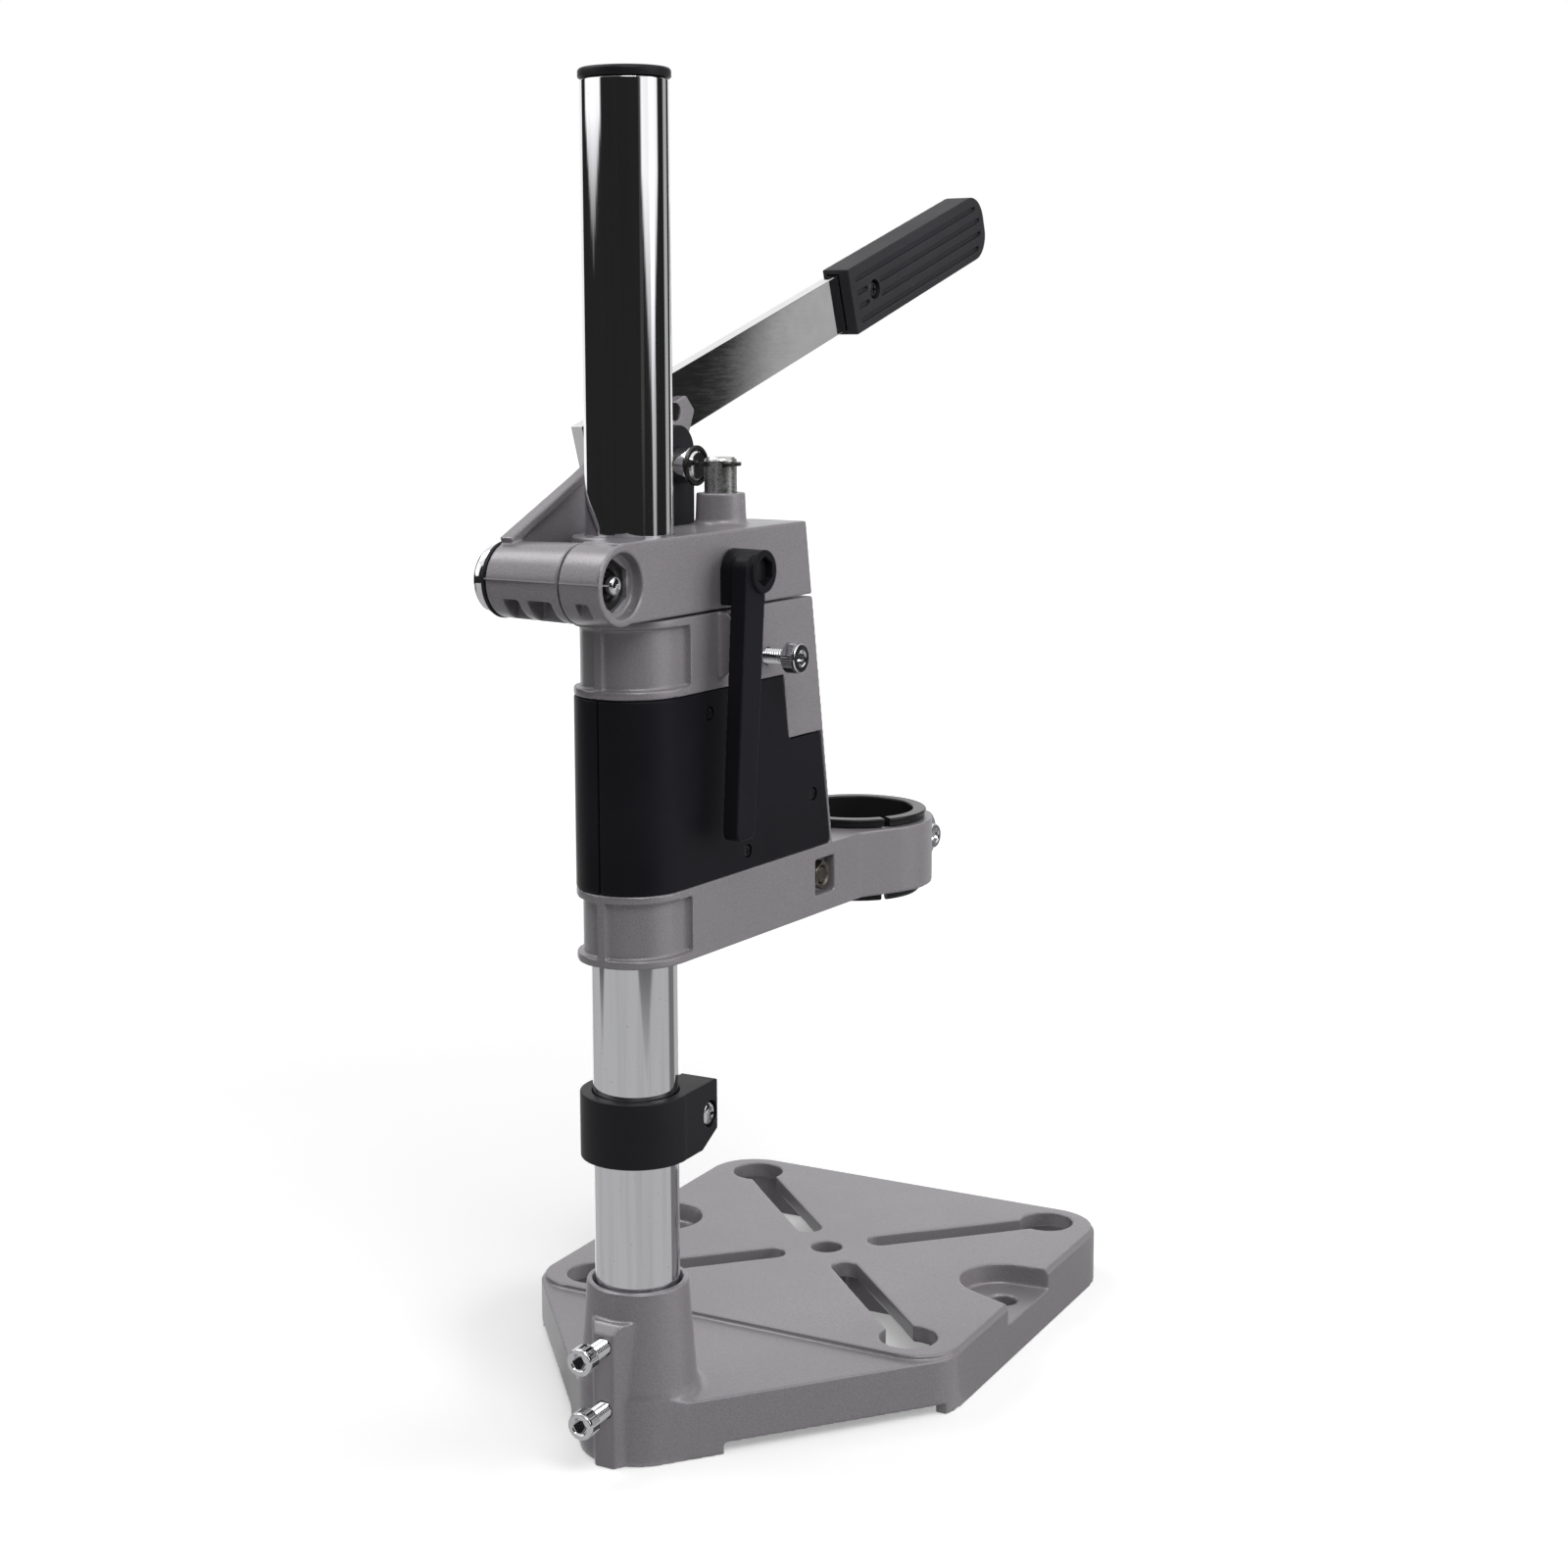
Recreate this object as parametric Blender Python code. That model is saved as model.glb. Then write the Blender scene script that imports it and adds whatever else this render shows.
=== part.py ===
"""Bench drill stand: cast base, chromed column, sprung carriage with a drill collar, hand lever and link.

Lengths are in metres, +Z is up and the origin is on the column's axis, on the bench. The work side
faces -Y. The head is clamped on the column a few degrees off square, as it stands in the photograph,
so everything above the stop collar is modelled in the head's own frame and carried by one empty.
"""
import math

import bmesh
import bpy
from mathutils import Matrix, Vector
from mathutils.geometry import convex_hull_2d

# Fits
GAP = 0.0003
OVERRUN = 0.002
ROUND_STEPS = 32
TURNED_STEPS = 24
SMALL_STEPS = 16
TINY_STEPS = 12
CORNER_STEPS = 5
END_STEPS = 10
HEX_STEPS = 6
QUARTER_TURN = math.pi / 2
GRID_DIGITS = 7
MERGE_DISTANCE = 1e-7
SMOOTH_ANGLE = math.radians(35)
HEAD_SWIVEL = math.radians(-4.965)

# Column
COLUMN_RADIUS = 0.0125
COLUMN_WALL = 0.0015
COLUMN_TOP = 0.3962
CAP_RADIUS = 0.0130
CAP_THICKNESS = 0.0028
CAP_EDGE = 0.0011
CAP_PLUG_DEPTH = 0.0100
BORE_RADIUS = COLUMN_RADIUS + GAP

# Reach from the column to the middle of the work
THROAT = 0.1245

# Base casting
BASE_HALF_WIDTH = 0.0745
BASE_FRONT = -0.1965
BASE_CORNER_RADIUS = 0.0175
DECK_HEIGHT = 0.0176
TABLE_HEIGHT = 0.0191
TABLE_REAR = -0.0535
TABLE_INSET = 0.0008
BASE_SKIN = 0.0040
SKIRT_WALL = 0.0035
RIB_WALL = 0.0046
ARCH_HEIGHT = 0.0035
ARCH_REAR = -0.0040
ARCH_FRONT = -0.0600
KEYHOLE_X = BASE_HALF_WIDTH - BASE_CORNER_RADIUS
KEYHOLE_PITCH = 0.0575
KEYHOLE_RADIUS = 0.0090
SLOT_WIDTH = 0.0090
SLOT_INNER_REACH = 0.0195
CENTRE_HOLE_RADIUS = 0.00525
CENTRE_BOSS_RADIUS = 0.0090
BENCH_POCKET_INSET = 0.0100
BENCH_POCKET_X = BASE_HALF_WIDTH - BENCH_POCKET_INSET
BENCH_POCKET_RADIUS = 0.0140
BENCH_MOUTH_FRONT = 0.0155
BENCH_MOUTH_REAR = 0.0200
BENCH_POCKET_FLOOR = 0.0122
BENCH_HOLE_RADIUS = 0.0045
BENCH_BOSS_WALL = 0.0030
BENCH_BOSS_RADIUS = 0.0085

# Socket for the column
SOCKET_FOOT_RADIUS = 0.0178
SOCKET_DECK_RADIUS = 0.0176
SOCKET_TOP_RADIUS = 0.0150
SOCKET_HEIGHT = 0.0514
SOCKET_LIP = 0.0012
SOCKET_FLOOR = 0.0040
SOCKET_RIB_WIDTH = 0.0066
SOCKET_RIB_DRAFT = 0.67
SOCKET_RIB_REACH = 0.0200
SOCKET_RIB_HEIGHT = 0.0430
SOCKET_RIB_CHAMFER = 0.0028
SOCKET_SCREW_HEIGHTS = {"lower": 0.0176, "upper": 0.0368}
SOCKET_SCREW_EXPOSED = 0.0083

# Socket head screws, M5
SCREW_RADIUS = 0.0025
SCREW_HOLE_RADIUS = SCREW_RADIUS + GAP
SCREW_HEAD_RADIUS = 0.0041
SCREW_HEAD_LENGTH = 0.0050
SCREW_KEY_RADIUS = 0.0023
SCREW_KEY_DEPTH = 0.0026
SCREW_KEY_FLOOR = 0.0012

# Stop collar on the column
STOP_BOTTOM = 0.0890
STOP_HEIGHT = 0.0195
STOP_RADIUS = 0.0163
STOP_LUG_REACH = 0.0200
STOP_LUG_NEAR_X = 0.0162
STOP_LUG_FAR_X = 0.0080
STOP_LUG_CHAMFER = 0.0045
STOP_SLIT = 0.0016
STOP_SCREW_Y = -0.0158
STOP_SCREW_Z = 0.0098
STOP_SCREW_RADIUS = 0.0020
STOP_HEAD_RADIUS = 0.0036
STOP_HEAD_LENGTH = 0.0022
STOP_CROSS_DEPTH = 0.0008
STOP_CROSS_WIDTH = 0.0012
CROSS_REACH_SHARE = 0.6
STOP_SEAT_RADIUS = 0.0045
STOP_SEAT_DEPTH = 0.0026
STOP_NUT_RADIUS = 0.0040
STOP_NUT_LENGTH = 0.0030

# Upper block, clamped on the column. x, y in the head's frame
SIDE_PLANE = 0.0164
BLOCK_BOTTOM = 0.2481
BLOCK_TOP = 0.2705
BLOCK_FRONT_TOP = -0.0684
FRONT_LEAN_SHARE = 0.1478
NOSE_FAR_X = 0.0076
NOSE_FAR_RADIUS = 0.0065
CLAMP_EAR_END = -0.0332
CLAMP_SLIT = 0.0010
CLAMP_SLIT_X = 0.0070
BLOCK_NECK_FAR_X = -0.0026

# Rear pivot of the hand lever
PIVOT_Y = 0.0256
PIVOT_Z = 0.2588
BARREL_RADIUS = 0.0113
BARREL_RELIEF = 0.0004
BARREL_RECESS_RADIUS = 0.0091
BARREL_RECESS_DEPTH = 0.0038
BARREL_HEX_RADIUS = 0.0076
BARREL_HEX_DEPTH = 0.0045
PIVOT_BOLT_RADIUS = 0.0040
PIVOT_BOLT_TIP = 0.0022
PIVOT_BOLT_NOSE = 0.0013
PIVOT_NUT_RADIUS = 0.0072
PIVOT_NUT_LENGTH = 0.0032
PIVOT_WASHER_RADIUS = 0.0109
PIVOT_WASHER_THICKNESS = 0.0011
KNOB_RADIUS = 0.0098
KNOB_LENGTH = 0.0062
KNOB_DOME_SHARES = ((1.0, 0.5), (0.94, 0.78), (0.78, 0.93), (0.45, 1.0))
BARREL_POCKET_DROP = 0.0044
BARREL_POCKETS = ((0.0010, 0.0094), (0.0124, 0.0180))
BARREL_POCKET_START = 0.0045
BLOCK_POCKET = (-0.0117, -0.0074)
BLOCK_POCKET_START = 0.0070

# Clamp lever and its bolt
CLAMP_Y = -0.0273
CLAMP_Z = 0.2590
CLAMP_BOLT_RADIUS = 0.0030
CLAMP_NUT_RADIUS = 0.0056
CLAMP_NUT_LENGTH = 0.0048
LEVER_BOSS_RADIUS = 0.0063
LEVER_BOSS_LENGTH = 0.0117
LEVER_ROOT_DROP = 0.0097
LEVER_ARM_INNER = 0.0220
LEVER_ARM_THICKNESS = 0.0050
LEVER_ARM_OFFSET_TOP = 0.0030
LEVER_ARM_OFFSET_END = 0.0087
LEVER_ARM_LENGTH = 0.0770
LEVER_ARM_WIDTH_TOP = 0.0105
LEVER_ARM_WIDTH_END = 0.0095
LEVER_ARM_CORNER = 0.0019
LEVER_HEX_RADIUS = 0.0041
LEVER_HEX_DEPTH = 0.0045

# Guide rod with its return spring
ROD_Y = -0.0465
ROD_RADIUS = 0.0049
ROD_BOTTOM = 0.1503
ROD_CHAMFER = 0.0008
ROD_BOSS_TOP = 0.2798
ROD_EXPOSED = 0.0105
ROD_TOP = ROD_BOSS_TOP + ROD_EXPOSED
ROD_BOSS_RADIUS = 0.0073
ROD_BOSS_FOOT_RADIUS = 0.0076
CLIP_DROP = 0.0026
CLIP_HEIGHT = ROD_TOP - CLIP_DROP
CLIP_THICKNESS = 0.0010
CLIP_RADIUS = 0.0062
CLIP_GROOVE_DEPTH = 0.0007
CLIP_MOUTH = 0.0060
SEAT_RADIUS = 0.0082
SEAT_THICKNESS = 0.0022
SEAT_CLIP_LIFT = 0.0016
SPRING_MEAN_RADIUS = 0.0067
SPRING_WIRE_RADIUS = 0.0006
SPRING_TURNS = 10
SPRING_POINTS_PER_TURN = 10

# Carriage
RING_PANEL_RADIUS = 0.0145
BEAD_HEIGHT = 0.0024
UPPER_RING_BOTTOM = 0.2252
UPPER_RING_TOP = 0.2475
ARM_BOTTOM = 0.1480
ARM_TOP = 0.1692
PANEL_END_Y = -0.0064
COVER_THICKNESS = 0.0020
CORE_RADIUS = 0.0142
FRONT_WALL = 0.0036
WINDOW_HALF = 0.0143
TAB_REAR = -0.0206
TAB_THICKNESS = 0.0018
TAB_REACH = 0.0052
TAB_CHAMFER = 0.0045
SPRING_BORE_RADIUS = SEAT_RADIUS + GAP
ARM_WAIST_Y = -0.1005
ARM_NUT_Y = -0.0790
ARM_NUT_Z = 0.1594
ARM_POCKET_HALF = 0.0056
ARM_POCKET_DEPTH = 0.0040
ARM_NUT_RADIUS = 0.0046
ARM_NUT_LENGTH = 0.0030
ARM_BOLT_RADIUS = 0.0025
ARM_BOLT_HEAD_LENGTH = 0.0030

# Collar for the drill's neck
COLLAR_RADIUS = 0.0253
COLLAR_BORE_RADIUS = 0.0215
COLLAR_LUG_PLACE = 0.0280
COLLAR_LUG_LIFT = 0.0106
COLLAR_LUG_RADIUS = 0.0086
COLLAR_LUG_HALF = 0.0105
COLLAR_SCREW_PLACE = 0.0296
COLLAR_SLIT = 0.0020
COLLAR_SCREW_RADIUS = 0.0025
REDUCER_BORE_RADIUS = 0.0190
REDUCER_FLANGE_RADIUS = 0.0234
REDUCER_FLANGE_THICKNESS = 0.0026
REDUCER_DROP = 0.0030
REDUCER_NECK_RADIUS = 0.0229
REDUCER_RIM_THICKNESS = 0.0010
REDUCER_LIP = 0.0006
REDUCER_SLIT_ANGLE = math.radians(147.5)

# Covers over the carriage's middle
COVER_STEP_Y = -0.0551
COVER_STEP_Z = 0.2050
COVER_FRONT_INSET = 0.0014
COVER_SCREW_PLACES = {"rear": (-0.0157, 0.2185), "middle": (-0.0353, 0.1748), "front": (-0.0721, 0.1862)}
COVER_SCREW_RADIUS = 0.0011
COVER_SCREW_HEAD_RADIUS = 0.0018
COVER_SCREW_HEAD_LENGTH = 0.0009
COVER_PAD_RADIUS = 0.0030
COVER_SCREW_LENGTH = 0.0050
COVER_SEAM = 0.0004

# Lock screw on the rod
LOCK_Z = 0.2318
LOCK_REACH = 0.0283
LOCK_HEAD_LENGTH = 0.0048

# Hand lever, in the plane beside the block. Places are measured from the rear pivot
BARREL_NEAR_X = -0.0021
BARREL_FAR_X = 0.0233
ARM_NEAR_X = 0.0190
WEB_THICKNESS = 0.0024
FLANGE = 0.0028
LINK_TOP_Y = -0.0464
LINK_TOP_Z = 0.2875
LINK_BOTTOM_Z = 0.2360
LINK_NEAR_X = 0.0146
LINK_THICKNESS = 0.0040
LINK_END_RADIUS = 0.0078
LINK_HEAD_RISE = 0.0042
LINK_PIN_RADIUS = 0.0035
LINK_HEAD_RADIUS = 0.0056
LINK_HEAD_LENGTH = 0.0062
LINK_RING_RADIUS = 0.0061
LINK_RING_THICKNESS = 0.0012
LINK_GROOVE_RADIUS = 0.0046
LINK_SCREW_HEAD_RADIUS = 0.0052
LINK_SCREW_HEAD_LENGTH = 0.0030
LINK_SCREW_CLEARANCE = 0.0009
LINK_BOSS_RADIUS = 0.0085
LINK_SLOT_WIDTH = 0.0082
LINK_SLOT_REACH = 0.0019
BAR_ANGLE = math.radians(17.6)
BAR_LIFT = 0.0193
BAR_WIDTH = 0.0190
BAR_THICKNESS = 0.0040
BAR_START = 0.0460
BAR_END = 0.2420
TIP_REACH = 0.0960
BAR_BOLT_STATIONS = {"rear": 0.0570, "front": 0.0860}
BAR_BOLT_RADIUS = 0.0025
BAR_BOLT_HEAD_RADIUS = 0.0046
BAR_BOLT_HEAD_LENGTH = 0.0026
BOLT_DOME_SHARE = 0.6
GRIP_START = 0.1960
GRIP_END = 0.2930
GRIP_WIDTH = 0.0225
GRIP_NEAR_WALL = 0.0042
GRIP_FAR_WALL = 0.0018
GRIP_CORNER = 0.0090
GRIP_SCREW_STATION = 0.2110
GRIP_SCREW_RADIUS = 0.0016
GRIP_SCREW_HEAD_RADIUS = 0.0028
GRIP_SCREW_HEAD_LENGTH = 0.0016
GRIP_COUNTERBORE_RADIUS = 0.0034
GRIP_COUNTERBORE_DEPTH = 0.0024

# Places worked out from the sizes above
CARRIAGE_MIDDLE = (ARM_TOP + UPPER_RING_BOTTOM) / 2
COLLAR_Y = -THROAT
LINK_FAR_X = LINK_NEAR_X + LINK_THICKNESS
BAR_NEAR_X = BARREL_FAR_X + GAP
BAR_FAR_X = BAR_NEAR_X + BAR_THICKNESS
BARREL_HEX_X = -SIDE_PLANE + BARREL_RECESS_DEPTH + BARREL_HEX_DEPTH


def clear_scene():
    """Removes the start-up objects."""
    for thing in list(bpy.data.objects):
        bpy.data.objects.remove(thing)


def finish(name, colour, roughness, metallic):
    """One Principled material."""
    made = bpy.data.materials.new(name)
    made.use_nodes = True
    shader = made.node_tree.nodes["Principled BSDF"]
    shader.inputs["Base Color"].default_value = (*colour, 1.0)
    shader.inputs["Roughness"].default_value = roughness
    shader.inputs["Metallic"].default_value = metallic
    made.diffuse_color = (*colour, 1.0)
    return made


def make_materials():
    """The finishes that the stand has."""
    return {
        "paint": finish("grey_paint", (0.25, 0.24, 0.25), 0.42, 0.2),
        "chrome": finish("chrome_plate", (0.80, 0.80, 0.82), 0.08, 1.0),
        "steel": finish("bright_steel", (0.62, 0.62, 0.64), 0.25, 1.0),
        "dark_steel": finish("dark_steel", (0.05, 0.05, 0.055), 0.40, 0.8),
        "plastic": finish("black_plastic", (0.022, 0.022, 0.026), 0.48, 0.0),
    }


def empty(name, location, parent=None, turn=0.0):
    """An empty that carries other objects."""
    made = bpy.data.objects.new(name, None)
    made.location = location
    made.rotation_euler = (0.0, 0.0, turn)
    made.parent = parent
    bpy.context.collection.objects.link(made)
    return made


def put(name, shape, parent, material=None):
    """Turns a bmesh into an object, its points on a fine grid so that faces meant to share a plane do."""
    for vert in shape.verts:
        vert.co = [round(value, GRID_DIGITS) for value in vert.co]
    bmesh.ops.remove_doubles(shape, verts=shape.verts, dist=MERGE_DISTANCE)
    bmesh.ops.recalc_face_normals(shape, faces=shape.faces)
    mesh = bpy.data.meshes.new(name)
    shape.to_mesh(mesh)
    shape.free()
    made = bpy.data.objects.new(name, mesh)
    made.parent = parent
    bpy.context.collection.objects.link(made)
    smooth(mesh)
    if material is None:
        made.hide_render = True
        made.display_type = "WIRE"
    else:
        mesh.materials.append(material)
    return made


def smooth(mesh):
    """Shades round faces smooth and keeps the corners sharp."""
    mesh.shade_smooth()
    mesh.set_sharp_from_angle(angle=SMOOTH_ANGLE)


def combine(target, shapes, operation):
    """Applies one exact Boolean per shape, the target unparented so that nothing is turned on the way."""
    parent = target.parent
    target.parent = None
    helpers = [put(f"{target.name}_tool_{k}", shape, None) for k, shape in enumerate(shapes)]
    for helper in helpers:
        step = target.modifiers.new(helper.name, "BOOLEAN")
        step.operation = operation
        step.solver = "EXACT"
        step.object = helper
    result = target.evaluated_get(bpy.context.evaluated_depsgraph_get())
    mesh = bpy.data.meshes.new_from_object(result)
    target.modifiers.clear()
    target.data = mesh
    for helper in helpers:
        bpy.data.objects.remove(helper)
    smooth(mesh)
    target.parent = parent


def cut(target, shapes):
    """Takes each shape away from the target."""
    combine(target, shapes, "DIFFERENCE")


def fuse(target, shapes):
    """Joins each shape to the target."""
    combine(target, shapes, "UNION")


def stacked(levels):
    """A closed body through outlines in x and y, each at its own height."""
    made = bmesh.new()
    rings = [[made.verts.new((x, y, height)) for x, y in outline] for outline, height in levels]
    made.faces.new(rings[0][::-1])
    made.faces.new(rings[-1])
    for low, high in zip(rings, rings[1:]):
        for here, _ in enumerate(low):
            after = (here + 1) % len(low)
            made.faces.new((low[here], low[after], high[after], high[here]))
    return made


def prism(outline, bottom, top):
    """A closed prism: an outline in x and y, carried from one height to another."""
    return stacked([(outline, bottom), (outline, top)])


def side_plate(outline, near, far):
    """A prism whose outline is in y and z, carried along x."""
    made = prism(outline, near, far)
    turn = Matrix(((0, 0, 1, 0), (1, 0, 0, 0), (0, 1, 0, 0), (0, 0, 0, 1)))
    made.transform(turn)
    return made


def lathe(profile, steps=ROUND_STEPS):
    """A body turned about z: points of radius and height, from the bottom end to the top end."""
    made = bmesh.new()
    rings = []
    for radius, height in profile:
        if radius == 0:
            rings.append([made.verts.new((0, 0, height))])
            continue
        angles = [2 * math.pi * k / steps for k in range(steps)]
        rings.append([made.verts.new((radius * math.cos(a), radius * math.sin(a), height)) for a in angles])
    for lower, upper in zip(rings, rings[1:]):
        for k in range(steps):
            after = (k + 1) % steps
            corners = [lower[k % len(lower)], lower[after % len(lower)]]
            corners += [upper[after % len(upper)], upper[k % len(upper)]]
            made.faces.new(list(dict.fromkeys(corners)))
    for ring in (rings[0], rings[-1]):
        if len(ring) > 2 and profile[0] != profile[-1]:
            made.faces.new(ring)
    return made


def tube(outer, inner, bottom, top, steps=ROUND_STEPS):
    """A plain ring about z."""
    return lathe([(inner, bottom), (outer, bottom), (outer, top), (inner, top), (inner, bottom)], steps)


def rod(radius, bottom, top, steps=SMALL_STEPS):
    """A plain cylinder about z."""
    return lathe([(radius, bottom), (radius, top)], steps)


def along_x(shape, y, z):
    """Lays a shape made about z along x, at a place in y and z."""
    shape.transform(Matrix.Translation((0, y, z)) @ Matrix.Rotation(QUARTER_TURN, 4, "Y"))
    return shape


def along_y(shape, x, z):
    """Lays a shape made about z along y, at a place in x and z."""
    shape.transform(Matrix.Translation((x, 0, z)) @ Matrix.Rotation(-QUARTER_TURN, 4, "X"))
    return shape


def moved(shape, x=0.0, y=0.0, z=0.0):
    """Shifts a shape."""
    shape.transform(Matrix.Translation((x, y, z)))
    return shape


def box(low, high):
    """A block between two corners."""
    outline = [(low[0], low[1]), (high[0], low[1]), (high[0], high[1]), (low[0], high[1])]
    return prism(outline, low[2], high[2])


def arc(centre, radius, start, end, steps):
    """Points on an arc, angles in degrees."""
    turns = [math.radians(start + (end - start) * k / steps) for k in range(steps + 1)]
    return [(centre[0] + radius * math.cos(a), centre[1] + radius * math.sin(a)) for a in turns]


def circle(centre, radius, steps=ROUND_STEPS):
    """Points evenly round a circle."""
    return arc(centre, radius, 0, 360, steps)[:-1]


def hull(points):
    """The outline around a set of points."""
    return [points[k] for k in convex_hull_2d([Vector(p) for p in points])]


def slotted(start, end, width, steps=SMALL_STEPS // 2):
    """An outline with round ends from one point to another."""
    way = math.degrees(math.atan2(end[1] - start[1], end[0] - start[0]))
    first = arc(start, width / 2, way + 90, way + 270, steps)
    return first + arc(end, width / 2, way - 90, way + 90, steps)


def front_wall(height):
    """How far forward the leaning front face stands at a height."""
    return BLOCK_FRONT_TOP - (BLOCK_TOP - height) * FRONT_LEAN_SHARE


def base_outline(inset):
    """The casting's outline, drawn in by an inset."""
    corner = BASE_CORNER_RADIUS - inset
    side = BASE_HALF_WIDTH - BASE_CORNER_RADIUS
    rear = -THROAT + KEYHOLE_PITCH
    front = BASE_FRONT + BASE_CORNER_RADIUS
    points = []
    for x, y in ((side, rear), (side, front), (-side, front), (-side, rear)):
        points += circle((x, y), corner)
    points += circle((0, 0), SOCKET_FOOT_RADIUS - inset)
    return hull(points)


def table_outline():
    """The raised work table's outline."""
    corner = BASE_CORNER_RADIUS - TABLE_INSET
    side = BASE_HALF_WIDTH - BASE_CORNER_RADIUS
    front = BASE_FRONT + BASE_CORNER_RADIUS
    rear_corner = TABLE_REAR + THROAT - KEYHOLE_PITCH
    rear_side = BASE_HALF_WIDTH - TABLE_INSET - rear_corner
    points = []
    for sign in (1, -1):
        points += circle((sign * side, front), corner)
        points += circle((sign * rear_side, TABLE_REAR - rear_corner), rear_corner)
    return hull(points)


def keyholes():
    """The four round holes, as places."""
    ends = (-THROAT + KEYHOLE_PITCH, -THROAT - KEYHOLE_PITCH)
    return [(sign * KEYHOLE_X, y) for sign in (1, -1) for y in ends]


def base_cavity():
    """The hollow underside in four cells, between ribs that cross at the middle of the table."""
    shapes = []
    outline = base_outline(SKIRT_WALL)
    half = RIB_WALL / 2
    ceiling = DECK_HEIGHT - BASE_SKIN
    far = BASE_HALF_WIDTH
    rear_edge = -SOCKET_DECK_RADIUS
    for sign in (1, -1):
        for low, high in ((BASE_FRONT, -THROAT - half), (-THROAT + half, rear_edge)):
            cell = [(x, y) for x, y in clip(outline, sign, half, far, low, high)]
            shapes.append(prism(cell, -OVERRUN, ceiling))
    return shapes


def clip(outline, sign, near, far, low, high):
    """The part of a convex outline inside a rectangle."""
    points = [(x, y) for x, y in outline]
    sides = (
        lambda p: sign * p[0] - near,
        lambda p: far - sign * p[0],
        lambda p: p[1] - low,
        lambda p: high - p[1],
    )
    for inside in sides:
        kept = []
        for here, _ in enumerate(points):
            one, two = points[here], points[(here + 1) % len(points)]
            a, b = inside(one), inside(two)
            if a >= 0:
                kept.append(one)
            if a * b < 0:
                share = a / (a - b)
                kept.append((one[0] + (two[0] - one[0]) * share, one[1] + (two[1] - one[1]) * share))
        points = kept
    return points


def socket_profile():
    """The column socket, from the bench to its rounded lip."""
    return [
        (SOCKET_DECK_RADIUS, 0),
        (SOCKET_DECK_RADIUS, DECK_HEIGHT),
        (SOCKET_TOP_RADIUS, SOCKET_HEIGHT - SOCKET_LIP),
        (SOCKET_TOP_RADIUS - SOCKET_LIP / 2, SOCKET_HEIGHT),
    ]


def rib_outline(reach):
    """The screw rib in plan, its drafted sides running from the bore out to a reach."""
    face = SOCKET_RIB_WIDTH / 2 + (SOCKET_RIB_REACH - reach) * SOCKET_RIB_DRAFT
    root = SOCKET_RIB_WIDTH / 2 + (SOCKET_RIB_REACH - BORE_RADIUS) * SOCKET_RIB_DRAFT
    return [(root, BORE_RADIUS), (face, reach), (-face, reach), (-root, BORE_RADIUS)]


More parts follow.
